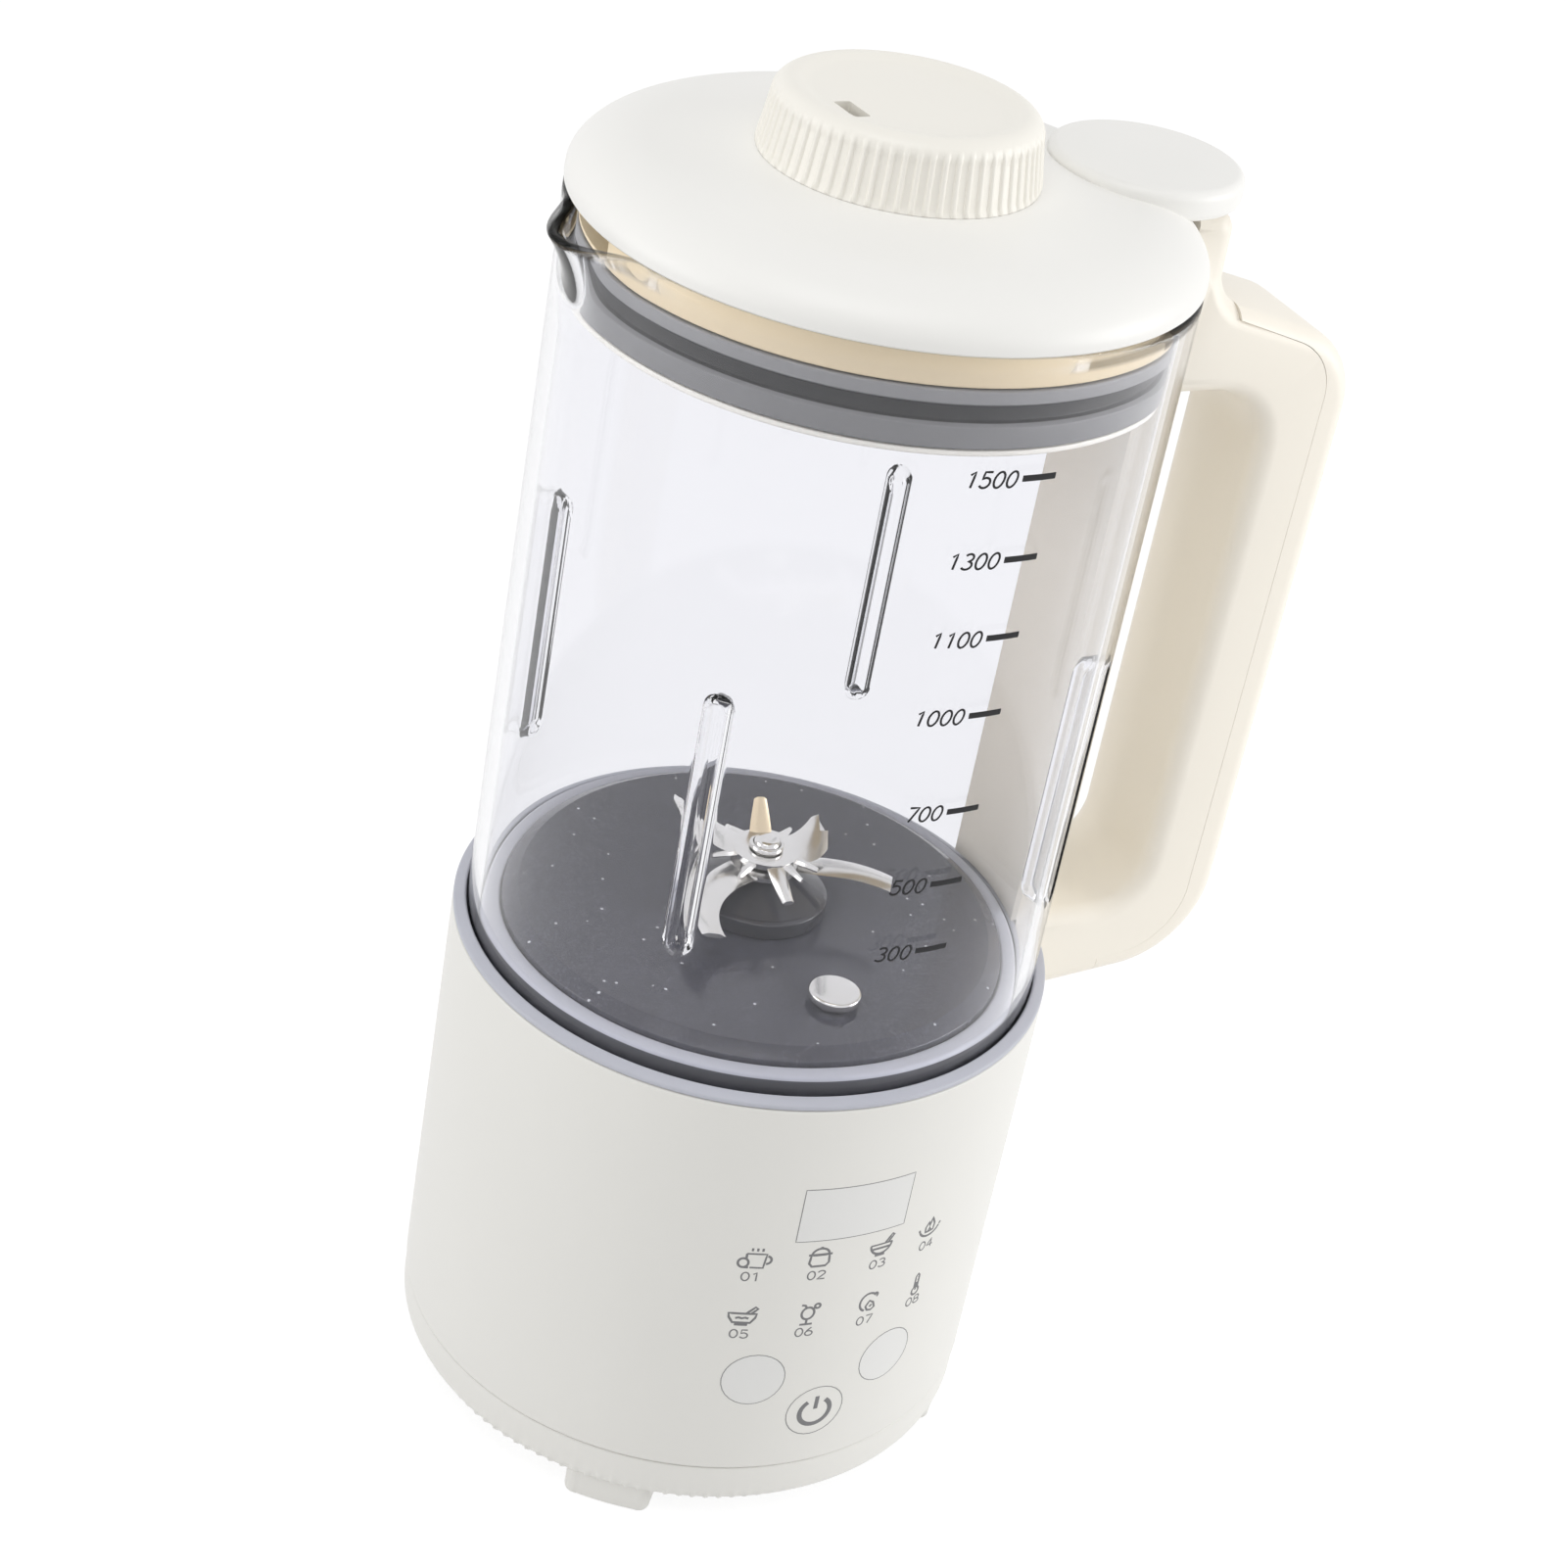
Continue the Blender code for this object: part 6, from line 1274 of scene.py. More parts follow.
# Lid
@dataclass
class Lid:
    """The lid's dome with the round thumb pad, its skirt, gasket and gasket retainer."""

    radius: float = 64.1
    edge: float = 289.2
    top: float = 301.0
    pad_place: float = 57.5
    pad_radius: float = 20.5
    pad_top: float = 302.0
    pad_low: float = 295.7
    window_turns: tuple[float, ...] = (-116.0, 64.0)
    window_half: float = 28.0

    def build(self, shop: Workshop) -> None:
        """Builds and finishes the lid."""
        shop.show(self.dome(), "lid_cover", LID_WHITE, Body.LID, "lid_dome")
        shop.show(self.skirt(), "lid_inner_skirt", SKIRT_TAN, Body.LID, "lid_skirt")
        shop.show(self.gasket(), "two_lip_gasket", GASKET, Body.LID, "lid_gasket")
        retainer = lathe([(55.5, 269.2, 0), (60.3, 269.2, 0.35), (60.3, 268.0, 0.35),
                          (53.9, 268.0, 0.4), (53.9, 273.2, 0.3), (55.5, 273.2, 0.3)],
                         Sides.DRUM, 3)
        shop.show(retainer, "gasket_clamp_ring", CAP_WHITE, Body.LID, "gasket_retainer")

    def dome(self) -> Form:
        """The dome from the cap's bore to its rounded edge, with the thumb pad."""
        centre = (self.radius - 17.0, self.edge + 1.4)
        inside, bore, plug, low = 58.2, 20.0, 22.2, 281.0
        outer = [(bore, self.top), (24.0, self.top), (29.2, self.top)]
        outer += arc(centre, (17.0, 8.8), 90, 0, 24)
        rim = [(self.radius, self.edge + 0.4), (self.radius - 0.4, self.edge), (inside, self.edge)]
        inner = [point for point in arc(centre, (14.5, 6.3), 0, 90, 16) if point[0] < inside]
        under = [(plug, self.top - 2.5), (plug, low), (bore, low)]
        form = Form().spin(outer + rim + [(inside, inner[0][1])] + inner + under, Sides.DRUM)
        form.cut(self.pad(), Cut.JOIN)
        crease = [(self.pad_radius, 299.9), (self.pad_radius + 0.45, 299.9),
                  (self.pad_radius + 0.45, 306), (self.pad_radius, 306)]
        return form.cut(Form().spin(crease, Sides.CAP).moved((self.pad_place, 0, 0)))

    def pad(self) -> Form:
        """The round thumb pad over the handle."""
        form = lathe([(0, self.pad_top - 0.25, 0), (10, self.pad_top, 20),
                      (self.pad_radius, self.pad_top, 2.0), (self.pad_radius, self.pad_low, 1.6),
                      (0, self.pad_low, 0)], Sides.CAP, 8, closed=False)
        return form.moved((self.pad_place, 0, 0))

    def skirt(self) -> Form:
        """The tan skirt with its web and its two pouring windows."""
        form = lathe([(22.5, 288.2, 0), (60.2, 288.2, 0.5), (60.2, 281.7, 0.5), (57.8, 281.7, 0),
                      (57.8, 269.5, 0), (55.8, 269.5, 0), (55.8, 282.7, 0), (58.2, 283.7, 0),
                      (58.2, 286.4, 0.5), (22.5, 286.4, 0)], Sides.DRUM, 4)
        for turn in self.window_turns:
            form.cut(self.sector(54.0, 63.0, self.window_half, turn, 282.7, 291.0))
        return form

    @staticmethod
    def sector(inner: float, outer: float, half: float, turn: float, low: float,
               high: float) -> Form:
        """A block in the shape of a ring's sector.

        Args:
            inner: Its inner radius.
            outer: Its outer radius.
            half: Half its angle in degrees.
            turn: The turn of its middle.
            low: The height of its foot.
            high: The height of its top.

        Returns:
            The block.
        """
        outline = arc((0, 0), (outer, outer), -half, half, 32)
        outline += arc((0, 0), (inner, inner), half, -half, 32)
        return Form().prism(outline, low, high).faced(turn)

    def gasket(self) -> Form:
        """The silicone gasket: a top lip, a valley and a broad low lip."""
        inner, valley, lip, top, low = 58.1, 59.1, 60.6, 281.4, 269.5
        return lathe([(inner, top, 0), (lip, top, 0.5), (lip, 278.7, 0.4), (valley, 277.8, 0.3),
                      (valley, 275.0, 0.3), (lip, 274.1, 0.4), (lip, low, 0.5), (inner, low, 0)],
                     Sides.DRUM, 5)


# Vent cap
@dataclass
class VentCap:
    """The ribbed cap in the lid's middle, with the plug that turns in the lid's bore."""

    low: float = 301.08
    top: float = 314.9
    base: float = 28.5
    crown: float = 27.0
    rib_count: int = 64
    rib_steps: int = 12
    rib_depth: float = 0.55
    notch_turn: float = -70.0

    def build(self, shop: Workshop) -> None:
        """Builds and finishes the cap."""
        shop.show(self.cap(), "ribbed_cap", CAP_WHITE, Body.CAP, "vent_cap", sharp=40)
        ring = lathe([(18.4, 288.6, 0), (19.7, 288.6, 0.5), (19.7, 291.0, 0.5), (18.4, 291.0, 0)],
                     Sides.CAP)
        shop.show(ring, "plug_ring", RING, Body.CAP, "vent_cap_seal")

    def groove(self, corner: Vector) -> Vector:
        """Cuts fine upright grooves between the cap's ribs."""
        radius, turn = bearing(corner)
        if radius < self.crown - 0.9 or corner.z > self.top - 1.2:
            return corner
        along = turn / 360 * self.rib_count
        off = abs(along - round(along)) * 2
        valley = eased(clamp((off - 0.22) / 0.30))
        fade = clamp((self.top - 1.2 - corner.z) / 2.6) * clamp((corner.z - self.low) / 0.6)
        share = 1 - self.rib_depth * valley * fade / radius
        return Vector((corner.x * share, corner.y * share, corner.z))

    def cap(self) -> Form:
        """The cap's outside, grooved and notched, and its hollow plug."""
        side = [(self.base - (self.base - self.crown) * step / 10, self.low + 0.4 + 9.3 * step / 10)
                for step in range(11)]
        crown = arc((self.crown - 4.2, self.top - 3.9), (4.2, 3.9), 0, 90, 12)[1:]
        dish = [(21.6, self.top - 0.2), (20.4, self.top - 0.65), (19.0, self.top - 0.9),
                (12.0, self.top - 1.0), (0.0, self.top - 1.0)]
        outer = [(self.base - 0.2, self.low)] + side + crown + dish
        wall, groove, inside, ceiling = 19.5, 18.1, 17.5, 311.5
        inner = [(26.6, self.low), (24.4, ceiling), (wall, ceiling), (wall, 291.3), (groove, 291.3),
                 (groove, 288.3), (wall, 288.3), (wall, 284.6), (19.2, 284.3), (inside, 284.3),
                 (inside, ceiling), (0.0, ceiling)]
        form = Form().spin(outer[::-1] + inner, self.rib_count * self.rib_steps, closed=False)
        notch = Form().box((8.0, 3.8, 8), polar(16.6, self.notch_turn, self.top - 1),
                           self.notch_turn - 15, 0.5)
        return form.reshape(self.groove).cut(notch)


# Handle
@dataclass
class Handle:
    """The handle in two halves, the strip on the glass behind it, and the interlock's plunger."""

    half_width: float = 16.0
    rounding: float = 4.5
    gap: float = 0.1
    plunger_place: float = 71.2
    glass_side: float = 67.1
    neck_draw: float = 0.24
    outline: tuple[Corner, ...] = (
        (62, 294.0, 0), (75.5, 294.0, 5), (75.5, 275.0, 7), (113.5, 264.0, 19), (113.5, 106.5, 24),
        (62, 100.5, 0), (62, 122.8, 0), (92.5, 122.8, 12), (92.5, 254.5, 14), (62, 254.5, 0))
    seam: tuple[Corner, ...] = (
        (79.5, 318.0, 0), (79.5, 271.6, 0), (105.7, 263.1, 14), (105.7, 111.5, 17),
        (85.0, 108.5, 0), (85.0, 76.5, 0), (137.5, 76.5, 0), (137.5, 318.0, 0))

    def build(self, shop: Workshop) -> None:
        """Builds and finishes the handle."""
        grip = self.body().cut(self.region(self.gap)).cut(self.room()).reshape(self.narrow)
        cover = self.body().cut(self.region(0.0), Cut.KEEP)
        strip = lathe([(66.6, 287.9, 0.5), (66.6, 122.2, 0.5), (64.3, 122.2, 0), (64.3, 287.9, 0)],
                      Sides.WALL)
        strip.cut(Lid.sector(60.0, 70.0, 14.0, 90.0, 120.0, 290.0), Cut.KEEP)
        foot, head = (self.plunger_place, 0, 283.4), (self.plunger_place, 0, 295.4)
        plunger = Form().rod(2.6, foot, head, rounding=0.6)
        shop.show(grip, "grip_half", HANDLE, Body.BASE, "handle_grip")
        shop.show(cover, "outer_half", HANDLE, Body.BASE, "handle_cover")
        shop.show(strip, "strip_on_glass", SPINE, Body.BASE, "handle_spine")
        shop.show(plunger, "plunger_pin", DARK, Body.PLUNGER, "interlock_plunger")

    def narrow(self, corner: Vector) -> Vector:
        """Draws the neck in towards its top, but along the glass where it meets that."""
        radius = bearing(corner)[0]
        corner.y *= 1 - self.neck_draw * eased(clamp((corner.z - 266) / 18))
        if radius < self.glass_side:
            corner.x = math.sqrt(radius ** 2 - corner.y ** 2)
        return corner

    def body(self) -> Form:
        """The handle's whole outline with rounded sides, clear of the glass and the housing."""
        half, glass, housing, seat = self.half_width, 66.9, 67.5, 121.9
        form = Form().prism(rounded(self.outline, 16), -half, half, self.rounding, 8).tipped()
        clear = [(0, 300), (glass, 300), (glass, seat), (housing, seat), (housing, 95), (0, 95)]
        return form.cut(Form().spin(clear, Sides.DRUM, closed=False))

    def region(self, gap: float) -> Form:
        """The space of the outer half, inside the seam that shows on the handle's sides."""
        corners = [(x - gap if x < 120 else x, z - gap if 200 < z < 300 else z, fillet)
                   for x, z, fillet in self.seam]
        return Form().prism(rounded(corners, 16), -20, 20).tipped()

    def room(self) -> Form:
        """The bore of the plunger and the room of its switch."""
        form = Form().rod(2.9, (self.plunger_place, 0, 272.9), (self.plunger_place, 0, 298))
        return form.box((6.6, 12.6, 9.6), (self.plunger_place, 0, 268.3))


# Inlet
@dataclass
class Inlet:
    """The mains inlet at the back: a sleeve with a flange inside the wall and three pins."""

    height: float = 50.0
    face: float = 64.7
    length: float = 17.2
    depth: float = 15.0
    pins: tuple[Point, ...] = ((-7, -2), (7, -2), (0, 2))

    def build(self, shop: Workshop) -> None:
        """Builds and finishes the inlet."""
        floor, middle = self.face - self.depth, self.face - self.length / 2
        form = Form().box((27, self.length, 19.5), (0, middle, self.height), 0, 1.6, 4)
        form.cut(Form().box((36, 2.0, 28.5), (0, 59.8, self.height), 0, 0.4), Cut.JOIN)
        form.cut(Form().box((22.6, 18, 15.1), (0, floor + 9, self.height), 0, 1.4, 4))
        shop.show(form, "inlet_sleeve", DARK, Body.BASE, "power_inlet")
        pins = Form()
        for across, up in self.pins:
            pins.box((2, 11, 4), (across, floor + 3.6, self.height + up), 0, 0.4)
        shop.show(pins, "inlet_pins", BRASS, Body.BASE)


# Prints
@dataclass(frozen=True)
class Stroke:
    """One drawn line of a pictogram or a digit."""

    points: tuple[Point, ...]
    closed: bool
    width: float


def line(*points: Point, closed: bool = False, width: float = 0.54) -> Stroke:
    """A line through points."""
    return Stroke(tuple(points), closed, width)


def curve(centre: Point, radii: Point, start: float, end: float, width: float = 0.54) -> Stroke:
    """A line along an ellipse between two angles in degrees."""
    whole = abs(end - start) >= 360
    points = arc(centre, radii, start, end, 28)
    return Stroke(tuple(points[:-1] if whole else points), whole, width)


ICONS: dict[str, tuple[Stroke, ...]] = {
    "01": (line((-1.6, 1.5), (2.6, 1.5), (2.2, -1.9), (-0.6, -1.9), width=0.42),
           line((-1.6, 1.5), (-1.6, 0.4)), curve((2.7, 0.1), (1.0, 0.95), -90, 80),
           curve((-2.1, -0.8), (1.1, 1.1), 0, 360), line((-0.9, -1.9), (-2.1, -1.9)),
           line((-0.6, 2.2), (-0.6, 2.9), width=0.5), line((0.5, 2.2), (0.5, 2.9), width=0.5),
           line((1.6, 2.2), (1.6, 2.9), width=0.5)),
    "02": (line((-2.0, 0.9), (-2.2, -1.1), (-1.5, -1.9), (1.5, -1.9), (2.2, -1.1), (2.0, 0.9),
                closed=True),
           line((-2.6, 1.0), (2.6, 1.0)), curve((0, 1.0), (1.9, 1.5), 0, 180),
           line((-0.3, 2.7), (0.3, 2.7), width=0.5)),
    "03": (line((-2.7, 0.8), (2.7, 0.8), width=0.42), curve((0, 0.8), (2.6, 2.4), 180, 360),
           line((-2.2, -0.2), (2.2, -0.2)), line((-1.2, -1.9), (1.2, -1.9), width=0.6),
           line((0.9, 0.9), (2.4, 2.8), (2.9, 2.5), (1.7, 0.9))),
    "04": (curve((0, 0.6), (3.0, 2.4), 200, 340), line((-2.9, -0.1), (-3.2, 0.5)),
           line((2.9, -0.1), (3.2, 0.5)),
           line((-1.2, -0.7), (-1.3, 0.5), (-0.5, 1.8), (-0.1, 0.6), (0.4, 2.6), (1.3, 0.8),
                (1.1, -0.7), closed=True),
           line((-0.4, -0.6), (-0.1, 0.2), (0.4, -0.6))),
    "05": (line((-3.0, 1.0), (3.0, 1.0), (2.8, 0.0), (1.9, -1.3), (-1.9, -1.3), (-2.8, 0.0),
                closed=True),
           line((-1.4, -0.2), (-0.7, 0.0), (0, -0.2), (0.7, 0.0), (1.4, -0.2)),
           line((-1.4, -1.8), (1.4, -1.8), width=0.6),
           line((0.8, 1.1), (2.5, 2.7), (3.1, 2.3), (1.9, 1.1))),
    "06": (curve((0, 0.6), (1.4, 1.5), 0, 360), line((0, -0.9), (0, -2.1)),
           line((-1.4, -2.2), (1.4, -2.2), width=0.5), line((-1.7, 2.8), (-0.9, 2.7), (-0.4, 1.8)),
           curve((1.9, 2.3), (0.6, 0.55), 0, 360), line((1.4, 1.9), (0.9, 1.4))),
    "07": (curve((0, 0.5), (2.1, 2.2), 40, 250), curve((1.6, 1.9), (0.5, 0.5), -60, 120),
           line((0.0, -1.6), (-0.5, -0.6), (0.3, 0.7), (1.3, 0.1), (1.8, -1.2), (1.0, -1.8),
                closed=True),
           line((0.5, -0.9), (1.0, -0.4))),
    "08": (curve((0, -1.6), (1.0, 1.0), 120, 420),
           line((-0.5, -0.8), (-0.5, 2.2), (0, 2.8), (0.5, 2.2), (0.5, -0.8)),
           line((0, -1.4), (0, 0.6)), line((0.1, 1.9), (0.5, 1.9), width=0.3),
           line((0.1, 1.2), (0.5, 1.2), width=0.3)),
}


DIGITS: dict[str, tuple[Stroke, ...]] = {
    "0": (curve((0, 0), (0.5, 1.0), 0, 360),),
    "1": (line((-0.34, 0.60), (0.08, 1.0), (0.08, -1.0)),),
    "2": (line(*arc((0, 0.48), (0.48, 0.52), 165, -30, 12), (-0.50, -1.0), (0.52, -1.0)),),
    "3": (line(*arc((-0.02, 0.52), (0.44, 0.48), 150, -90, 12),
               *arc((-0.02, -0.48), (0.52, 0.52), 90, -150, 14)),),
    "4": (line((0.26, -1.0), (0.26, 1.0), (-0.52, -0.45), (0.55, -0.45)),),
    "5": (line((0.42, 1.0), (-0.34, 1.0), *arc((-0.02, -0.36), (0.52, 0.64), 135, -150, 16)),),
    "6": (curve((0, -0.42), (0.5, 0.58), 0, 360), line((0.26, 1.0), (-0.22, 0.36), (-0.46, -0.2))),
    "7": (line((-0.5, 1.0), (0.5, 1.0), (-0.14, -1.0)),),
    "8": (curve((0, 0.52), (0.42, 0.48), 0, 360), curve((0, -0.48), (0.5, 0.52), 0, 360)),
}


@dataclass(frozen=True)
class Lettering:
    """How numbers are written: a digit's size, the pitch, the line's width and the lean.

    The share "left" of a whole number stands left of its place.
    """

    width: float
    height: float
    pitch: float
    weight: float
    slant: float
    left: float

    def strokes(self, label: str) -> list[Stroke]:
        """The strokes of a number.

        Args:
            label: Its digits.

        Returns:
            The strokes.
        """
        tall = self.height / 2
        long = self.pitch * (len(label) - 1) + self.width
        found: list[Stroke] = []
        for index, digit in enumerate(label):
            middle = index * self.pitch + self.width / 2 - long * self.left
            for stroke in DIGITS[digit]:
                points = tuple((middle + across * self.width + up * tall * self.slant, up * tall)
                               for across, up in stroke.points)
                found.append(Stroke(points, stroke.closed, self.weight))
        return found


@dataclass
class Prints:
    """The volume marks on the glass and the outlines, pictograms and numbers on the panel."""

    glass: float = 64.0
    wall: float = 67.15
    levels: dict[str, float] = field(default_factory=lambda: {
        "1500": 264.7, "1300": 247.5, "1100": 230.4, "1000": 213.0, "700": 190.7, "500": 173.3,
        "300": 156.9})
    mark_letters: Lettering = Lettering(2.0, 3.3, 2.75, 0.50, 0.20, 1.0)
    mark_line: Stroke = line((1.2, 0.0), (8.7, 0.0), width=1.35)
    key_letters: Lettering = Lettering(1.7, 2.3, 2.3, 0.36, 0.0, 0.5)
    key_turns: tuple[float, ...] = (-18.7, -6.1, 6.7, 18.7)
    key_rows: tuple[float, ...] = (77.4, 61.1)
    icon_scale: tuple[float, ...] = (1.04, 1.12, 1, 1)
    round_keys: tuple[tuple[str, float, float, float], ...] = (
        ("left", -14.1, 44.6, 7.2), ("right", 14.2, 44.4, 7.15), ("power", 0.0, 33.3, 7.0))
    outline: float = 0.24
    relief: float = 0.05
    window_half: float = 11.25
    window_rise: float = 7.15
    window_turn: float = -0.3
    window_place: float = 91.1

    def build(self, shop: Workshop) -> None:
        """Builds and finishes every print."""
        for label, height in self.levels.items():
            mark = self.drawn(self.mark_letters.strokes(label) + [self.mark_line])
            shop.show(mark.wrap(self.glass, 0.0, height), "mark_" + label, MARK_INK, Body.BASE)
        keys = [(turn, height) for height in self.key_rows for turn in self.key_turns]
        for label, (turn, height) in zip(ICONS, keys):
            icon = self.drawn(ICONS[label]).turned(Matrix.Diagonal(self.icon_scale))
            icon.wrap(self.wall, turn, height + 1.5)
            number = self.drawn(self.key_letters.strokes(label))
            icon.add(number.wrap(self.wall, turn, height - 3.2).mesh)
            shop.show(icon, "key_" + label, PANEL_INK, Body.BASE)
        self.display(shop)
        for name, turn, height, radius in self.round_keys:
            ring = self.drawn([curve((0, 0), (radius, radius), 0, 360, self.outline)])
            ring.wrap(self.wall, turn, height)
            shop.show(ring, name + "_key_outline", LINE_INK, Body.BASE)
            if name != "power":
                low, high = polar(60, turn, height), polar(75, turn, height)
                hole = Form().rod(radius, low, high, Sides.HUB)
                pane = self.film(height - 9, height + 9).cut(hole, Cut.KEEP)
                shop.show(pane, name + "_key_pane", WINDOW, Body.BASE)
        power = self.drawn([curve((0, -0.3), (3.75, 3.75), -235, 55, 1.2),
                            line((0, 4.2), (0, 0.5), width=1.05)])
        _, turn, height, _ = self.round_keys[-1]
        shop.show(power.wrap(self.wall, turn, height), "power_symbol", PANEL_INK, Body.BASE)

    def display(self, shop: Workshop) -> None:
        """Builds the display's outline and its pane."""
        half, middle, turn = self.window_half, self.window_place, self.window_turn
        across = math.radians(half) * self.wall
        up = self.window_rise
        border = line((-across, -up), (across, -up), (across, up), (-across, up), closed=True,
                      width=self.outline)
        outline = self.drawn([border]).wrap(self.wall, turn, middle)
        shop.show(outline, "display_outline", LINE_INK, Body.BASE)
        block = Lid.sector(60, 70, half, turn, 80, 102)
        pane = self.film(middle - up, middle + up).cut(block, Cut.KEEP)
        shop.show(pane, "display_window", WINDOW, Body.BASE)

    @staticmethod
    def flat(data: bpy.types.Curve, relief: float) -> Form:
        """The mesh of a curve, pressed flat.

        Args:
            data: The curve, which is used up.
            relief: Its thickness over and under the surface.

        Returns:
            The form.
        """
        item = stood("flat", data)
        mesh = settled(item)
        form = Form()
        form.mesh.from_mesh(mesh)
        bpy.data.objects.remove(item)
        bpy.data.curves.remove(data)
        bpy.data.meshes.remove(mesh)
        bmesh.ops.remove_doubles(form.mesh, verts=form.mesh.verts, dist=WELD)
        reach = max(abs(vert.co.z) for vert in form.mesh.verts)
        return form.reshape(lambda corner: Vector((corner.x, corner.y, corner.z / reach * relief)))

    def drawn(self, strokes: Sequence[Stroke]) -> Form:
        """Strokes as thin raised lines.

        Args:
            strokes: The strokes.

        Returns:
            The form, flat.
        """
        whole = Form()
        for stroke in strokes:
            data = bpy.data.curves.new("stroke", "CURVE")
            data.dimensions = "3D"
            data.bevel_depth = stroke.width / 2
            data.bevel_resolution = 2
            data.use_fill_caps = True
            spline = data.splines.new("POLY")
            points = self.close_up(stroke)
            spline.points.add(len(points) - 1)
            for point, (across, up) in zip(spline.points, points):
                point.co = (across, up, 0, 1)
            spline.use_cyclic_u = stroke.closed
            whole.add(self.flat(data, self.relief).mesh)
        return whole

    @staticmethod
    def close_up(stroke: Stroke) -> list[Point]:
        """A stroke's points with more between them, so that it can follow a curved wall."""
        ends = list(stroke.points[1:]) + ([stroke.points[0]] if stroke.closed else [])
        points: list[Point] = []
        for start, end in zip(stroke.points, ends):
            steps = max(1, round(math.dist(start, end) / 0.8))
            points += [tuple(near + (far - near) * step / steps for near, far in zip(start, end))
                       for step in range(steps)]
        return points if stroke.closed else points + [stroke.points[-1]]

    def film(self, low: float, high: float) -> Form:
        """A thin film on the housing's wall between two heights."""
        under, over = self.wall - 0.1, self.wall + 0.02
        return Form().spin([(under, low), (over, low), (over, high), (under, high)], Sides.WALL)


# What stays as the solids are
@dataclass
class Innards:
    """The solids that keep their shape and get a finish."""

    finishes: tuple[tuple[Finish, tuple[str, ...]], ...] = (
        (STEEL, ("plate_nut_1", "plate_nut_2", "plate_nut_3", "heating_element", "probe_nut",
                 "pedestal_nut", "upper_bearing", "lower_bearing", "motor_bracket",
                 "motor_upper_frame", "motor_lower_frame", "motor_stator", "motor_bolt_left",
                 "motor_bolt_right", "handle_screw_front", "handle_screw_rear", "interlock_spring",
                 "cover_screw_1", "cover_screw_2", "cover_screw_3", "cover_screw_4")),
        (DARK, ("thermal_cutout", "carbon_brush_left", "carbon_brush_right", "display_module",
                "interlock_switch", "cooling_fan")),
        (RUBBER, ("shaft_seal",)),
        (WOUND, ("field_winding", "motor_rotor")),
        (BRASS, ("brush_holder_left", "brush_holder_right", "commutator")),
        (BOARD, ("power_board", "touch_board")),
    )

    def build(self, shop: Workshop) -> None:
        """Finishes the solids."""
        for finish, nodes in self.finishes:
            shop.dress(finish, nodes)


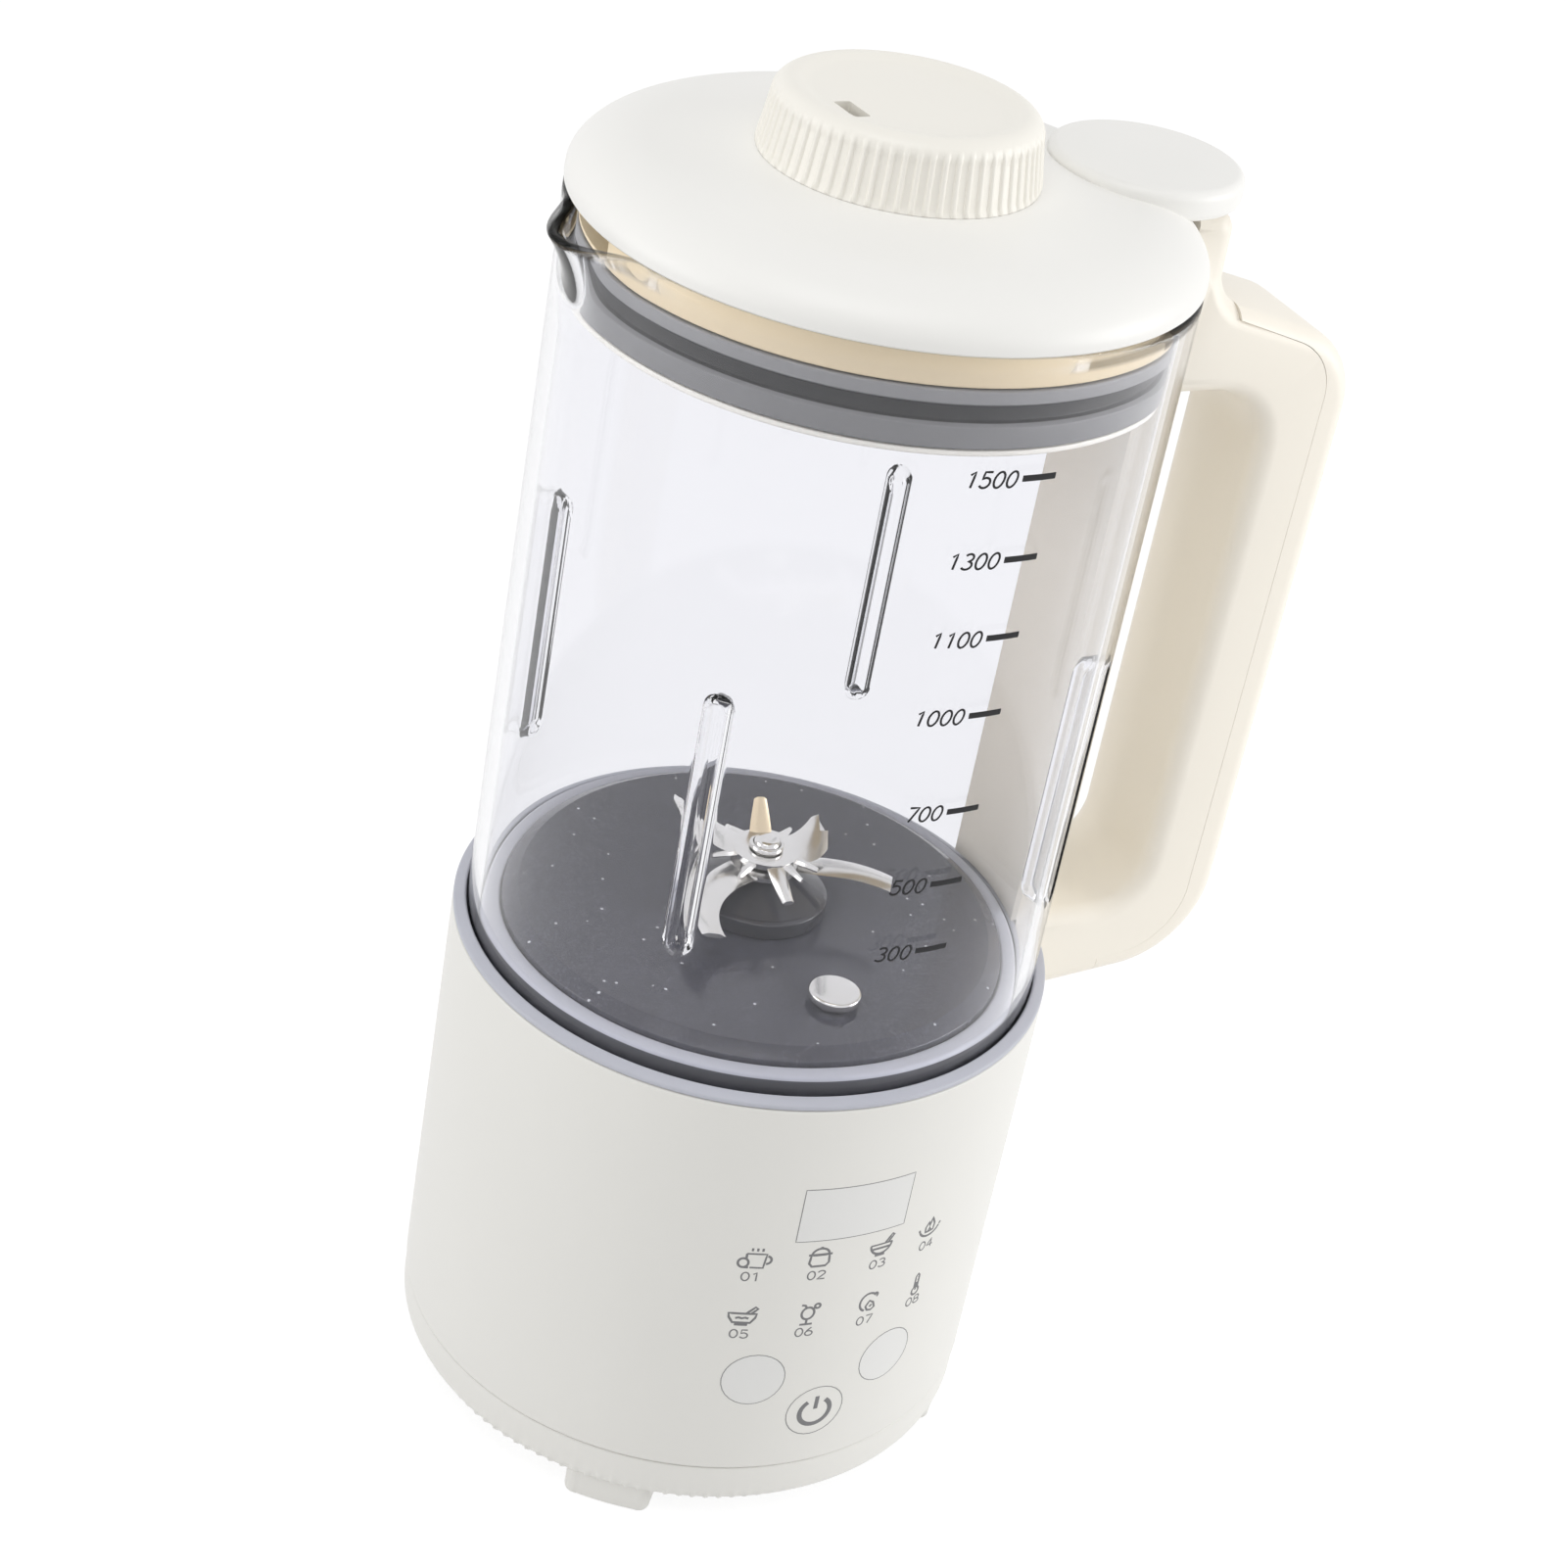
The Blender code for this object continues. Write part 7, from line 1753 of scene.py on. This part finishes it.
# Studio
@dataclass
class Studio:
    """The floor, the soft lamps, the pale surroundings and the camera."""

    elevation: float = 33.56
    pan: float = 0.10
    tilt: float = -2.51
    roll: float = 10.91
    distance: float = 697.0
    turn: float = -30.8
    level: float = 121.6
    lens: float = 71.24
    sensor: float = 36.0
    ambient: float = 0.58
    glow: float = 0.72
    lamp_size: float = 600.0
    lamp_aim: float = 160.0

    def build(self) -> None:
        """Builds the surroundings."""
        self.camera()
        self.world()
        self.floor()
        self.lamp("top_lamp", (-260, -260, 1150), 2.7)
        self.lamp("left_lamp", (-1000, 220, 420), 2.7)
        self.lamp("right_lamp", (870, -500, 400), 4.5)

    def camera(self) -> None:
        """Places the camera at the photograph's viewpoint."""
        rise = math.radians(self.elevation)
        spot = Vector((0, -math.cos(rise), math.sin(rise))) * self.distance
        forward = -spot.normalized()
        right = Vector((1, 0, 0))
        rows = Matrix((right, -right.cross(forward), forward))
        pan, tilt, roll = (math.radians(angle) for angle in (self.pan, self.tilt, self.roll))
        aim = Matrix.Rotation(roll, 3, "Z") @ Matrix.Rotation(tilt, 3, "X")
        aim = aim @ Matrix.Rotation(-pan, 3, "Y") @ rows
        around = Matrix.Rotation(math.radians(self.turn), 3, "Z")
        axes = Matrix((around @ aim[0], around @ -aim[1], around @ -aim[2])).transposed()
        data = bpy.data.cameras.new("camera")
        data.lens = self.lens
        data.sensor_width = self.sensor
        data.clip_start = 0.01
        data.clip_end = 50
        item = stood("camera", data)
        place = (around @ spot + Vector((AXIS_X, 0, self.level))) * MM
        item.matrix_world = Matrix.Translation(place) @ axes.to_4x4()
        bpy.context.scene.camera = item

    @staticmethod
    def seen(paint: Paint) -> Value:
        """One for rays from the camera, in gloss and through glass, else zero."""
        camera, gloss, through = (paint.node("ShaderNodeLightPath", output=ray) for ray in
                                  ("Is Camera Ray", "Is Glossy Ray", "Is Transmission Ray"))
        return paint.higher(paint.higher(camera, gloss), through)

    def world(self) -> None:
        """Lights from all round, and shows white to the camera, in gloss and through glass."""
        paint = Paint("surroundings", world=True)
        level = self.ambient + self.seen(paint) * (1 - self.ambient)
        sky = paint.node("ShaderNodeBackground", {}, {"Color": WHITE, "Strength": level})
        paint.end("ShaderNodeOutputWorld", sky)
        bpy.context.scene.world = paint.owner

    def floor(self) -> None:
        """A wide pale floor that keeps a soft shadow and otherwise shows white."""
        paint = Paint("pale_floor")
        colour = paint.mix(paint.noise(paint.place(), 40, 3), (0.86,) * 3, (0.90,) * 3)
        diffuse = paint.node("ShaderNodeBsdfDiffuse", {}, {"Color": colour})
        white = paint.node("ShaderNodeEmission", {}, {"Color": WHITE, "Strength": 1.2})
        shows = {0: self.seen(paint) * self.glow, 1: diffuse, 2: white}
        paint.end("ShaderNodeOutputMaterial", paint.node("ShaderNodeMixShader", {}, shows))
        made = bmesh.new()
        bmesh.ops.create_grid(made, x_segments=1, y_segments=1, size=8)
        mesh = bpy.data.meshes.new("floor")
        made.to_mesh(mesh)
        made.free()
        mesh.materials.append(paint.owner)
        stood("floor", mesh)

    def lamp(self, name: str, place: Sequence[float], power: float) -> None:
        """A soft square lamp aimed at the machine.

        Args:
            name: Its name.
            place: Where it hangs.
            power: Its power in watts.
        """
        data = bpy.data.lights.new(name, "AREA")
        data.size = self.lamp_size * MM
        data.energy = power
        item = stood(name, data)
        item.location = Vector(place) * MM
        aim = Vector((AXIS_X, 0, self.lamp_aim)) * MM - item.location
        item.rotation_euler = aim.to_track_quat("-Z", "Y").to_euler()


def main() -> None:
    """Builds the machine, its prints and its surroundings."""
    logging.basicConfig(level=logging.INFO, format="%(message)s")
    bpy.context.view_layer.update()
    Studio().build()
    shop = Workshop()
    for part in (Base, Jar, Plate, Blades, Lid, VentCap, Handle, Inlet, Prints, Innards):
        part().build(shop)
        LOG.info("%s done", part.__name__)
    bpy.context.scene.view_settings.view_transform = "Standard"
    bpy.context.view_layer.update()


if __name__ == "__main__":
    main()
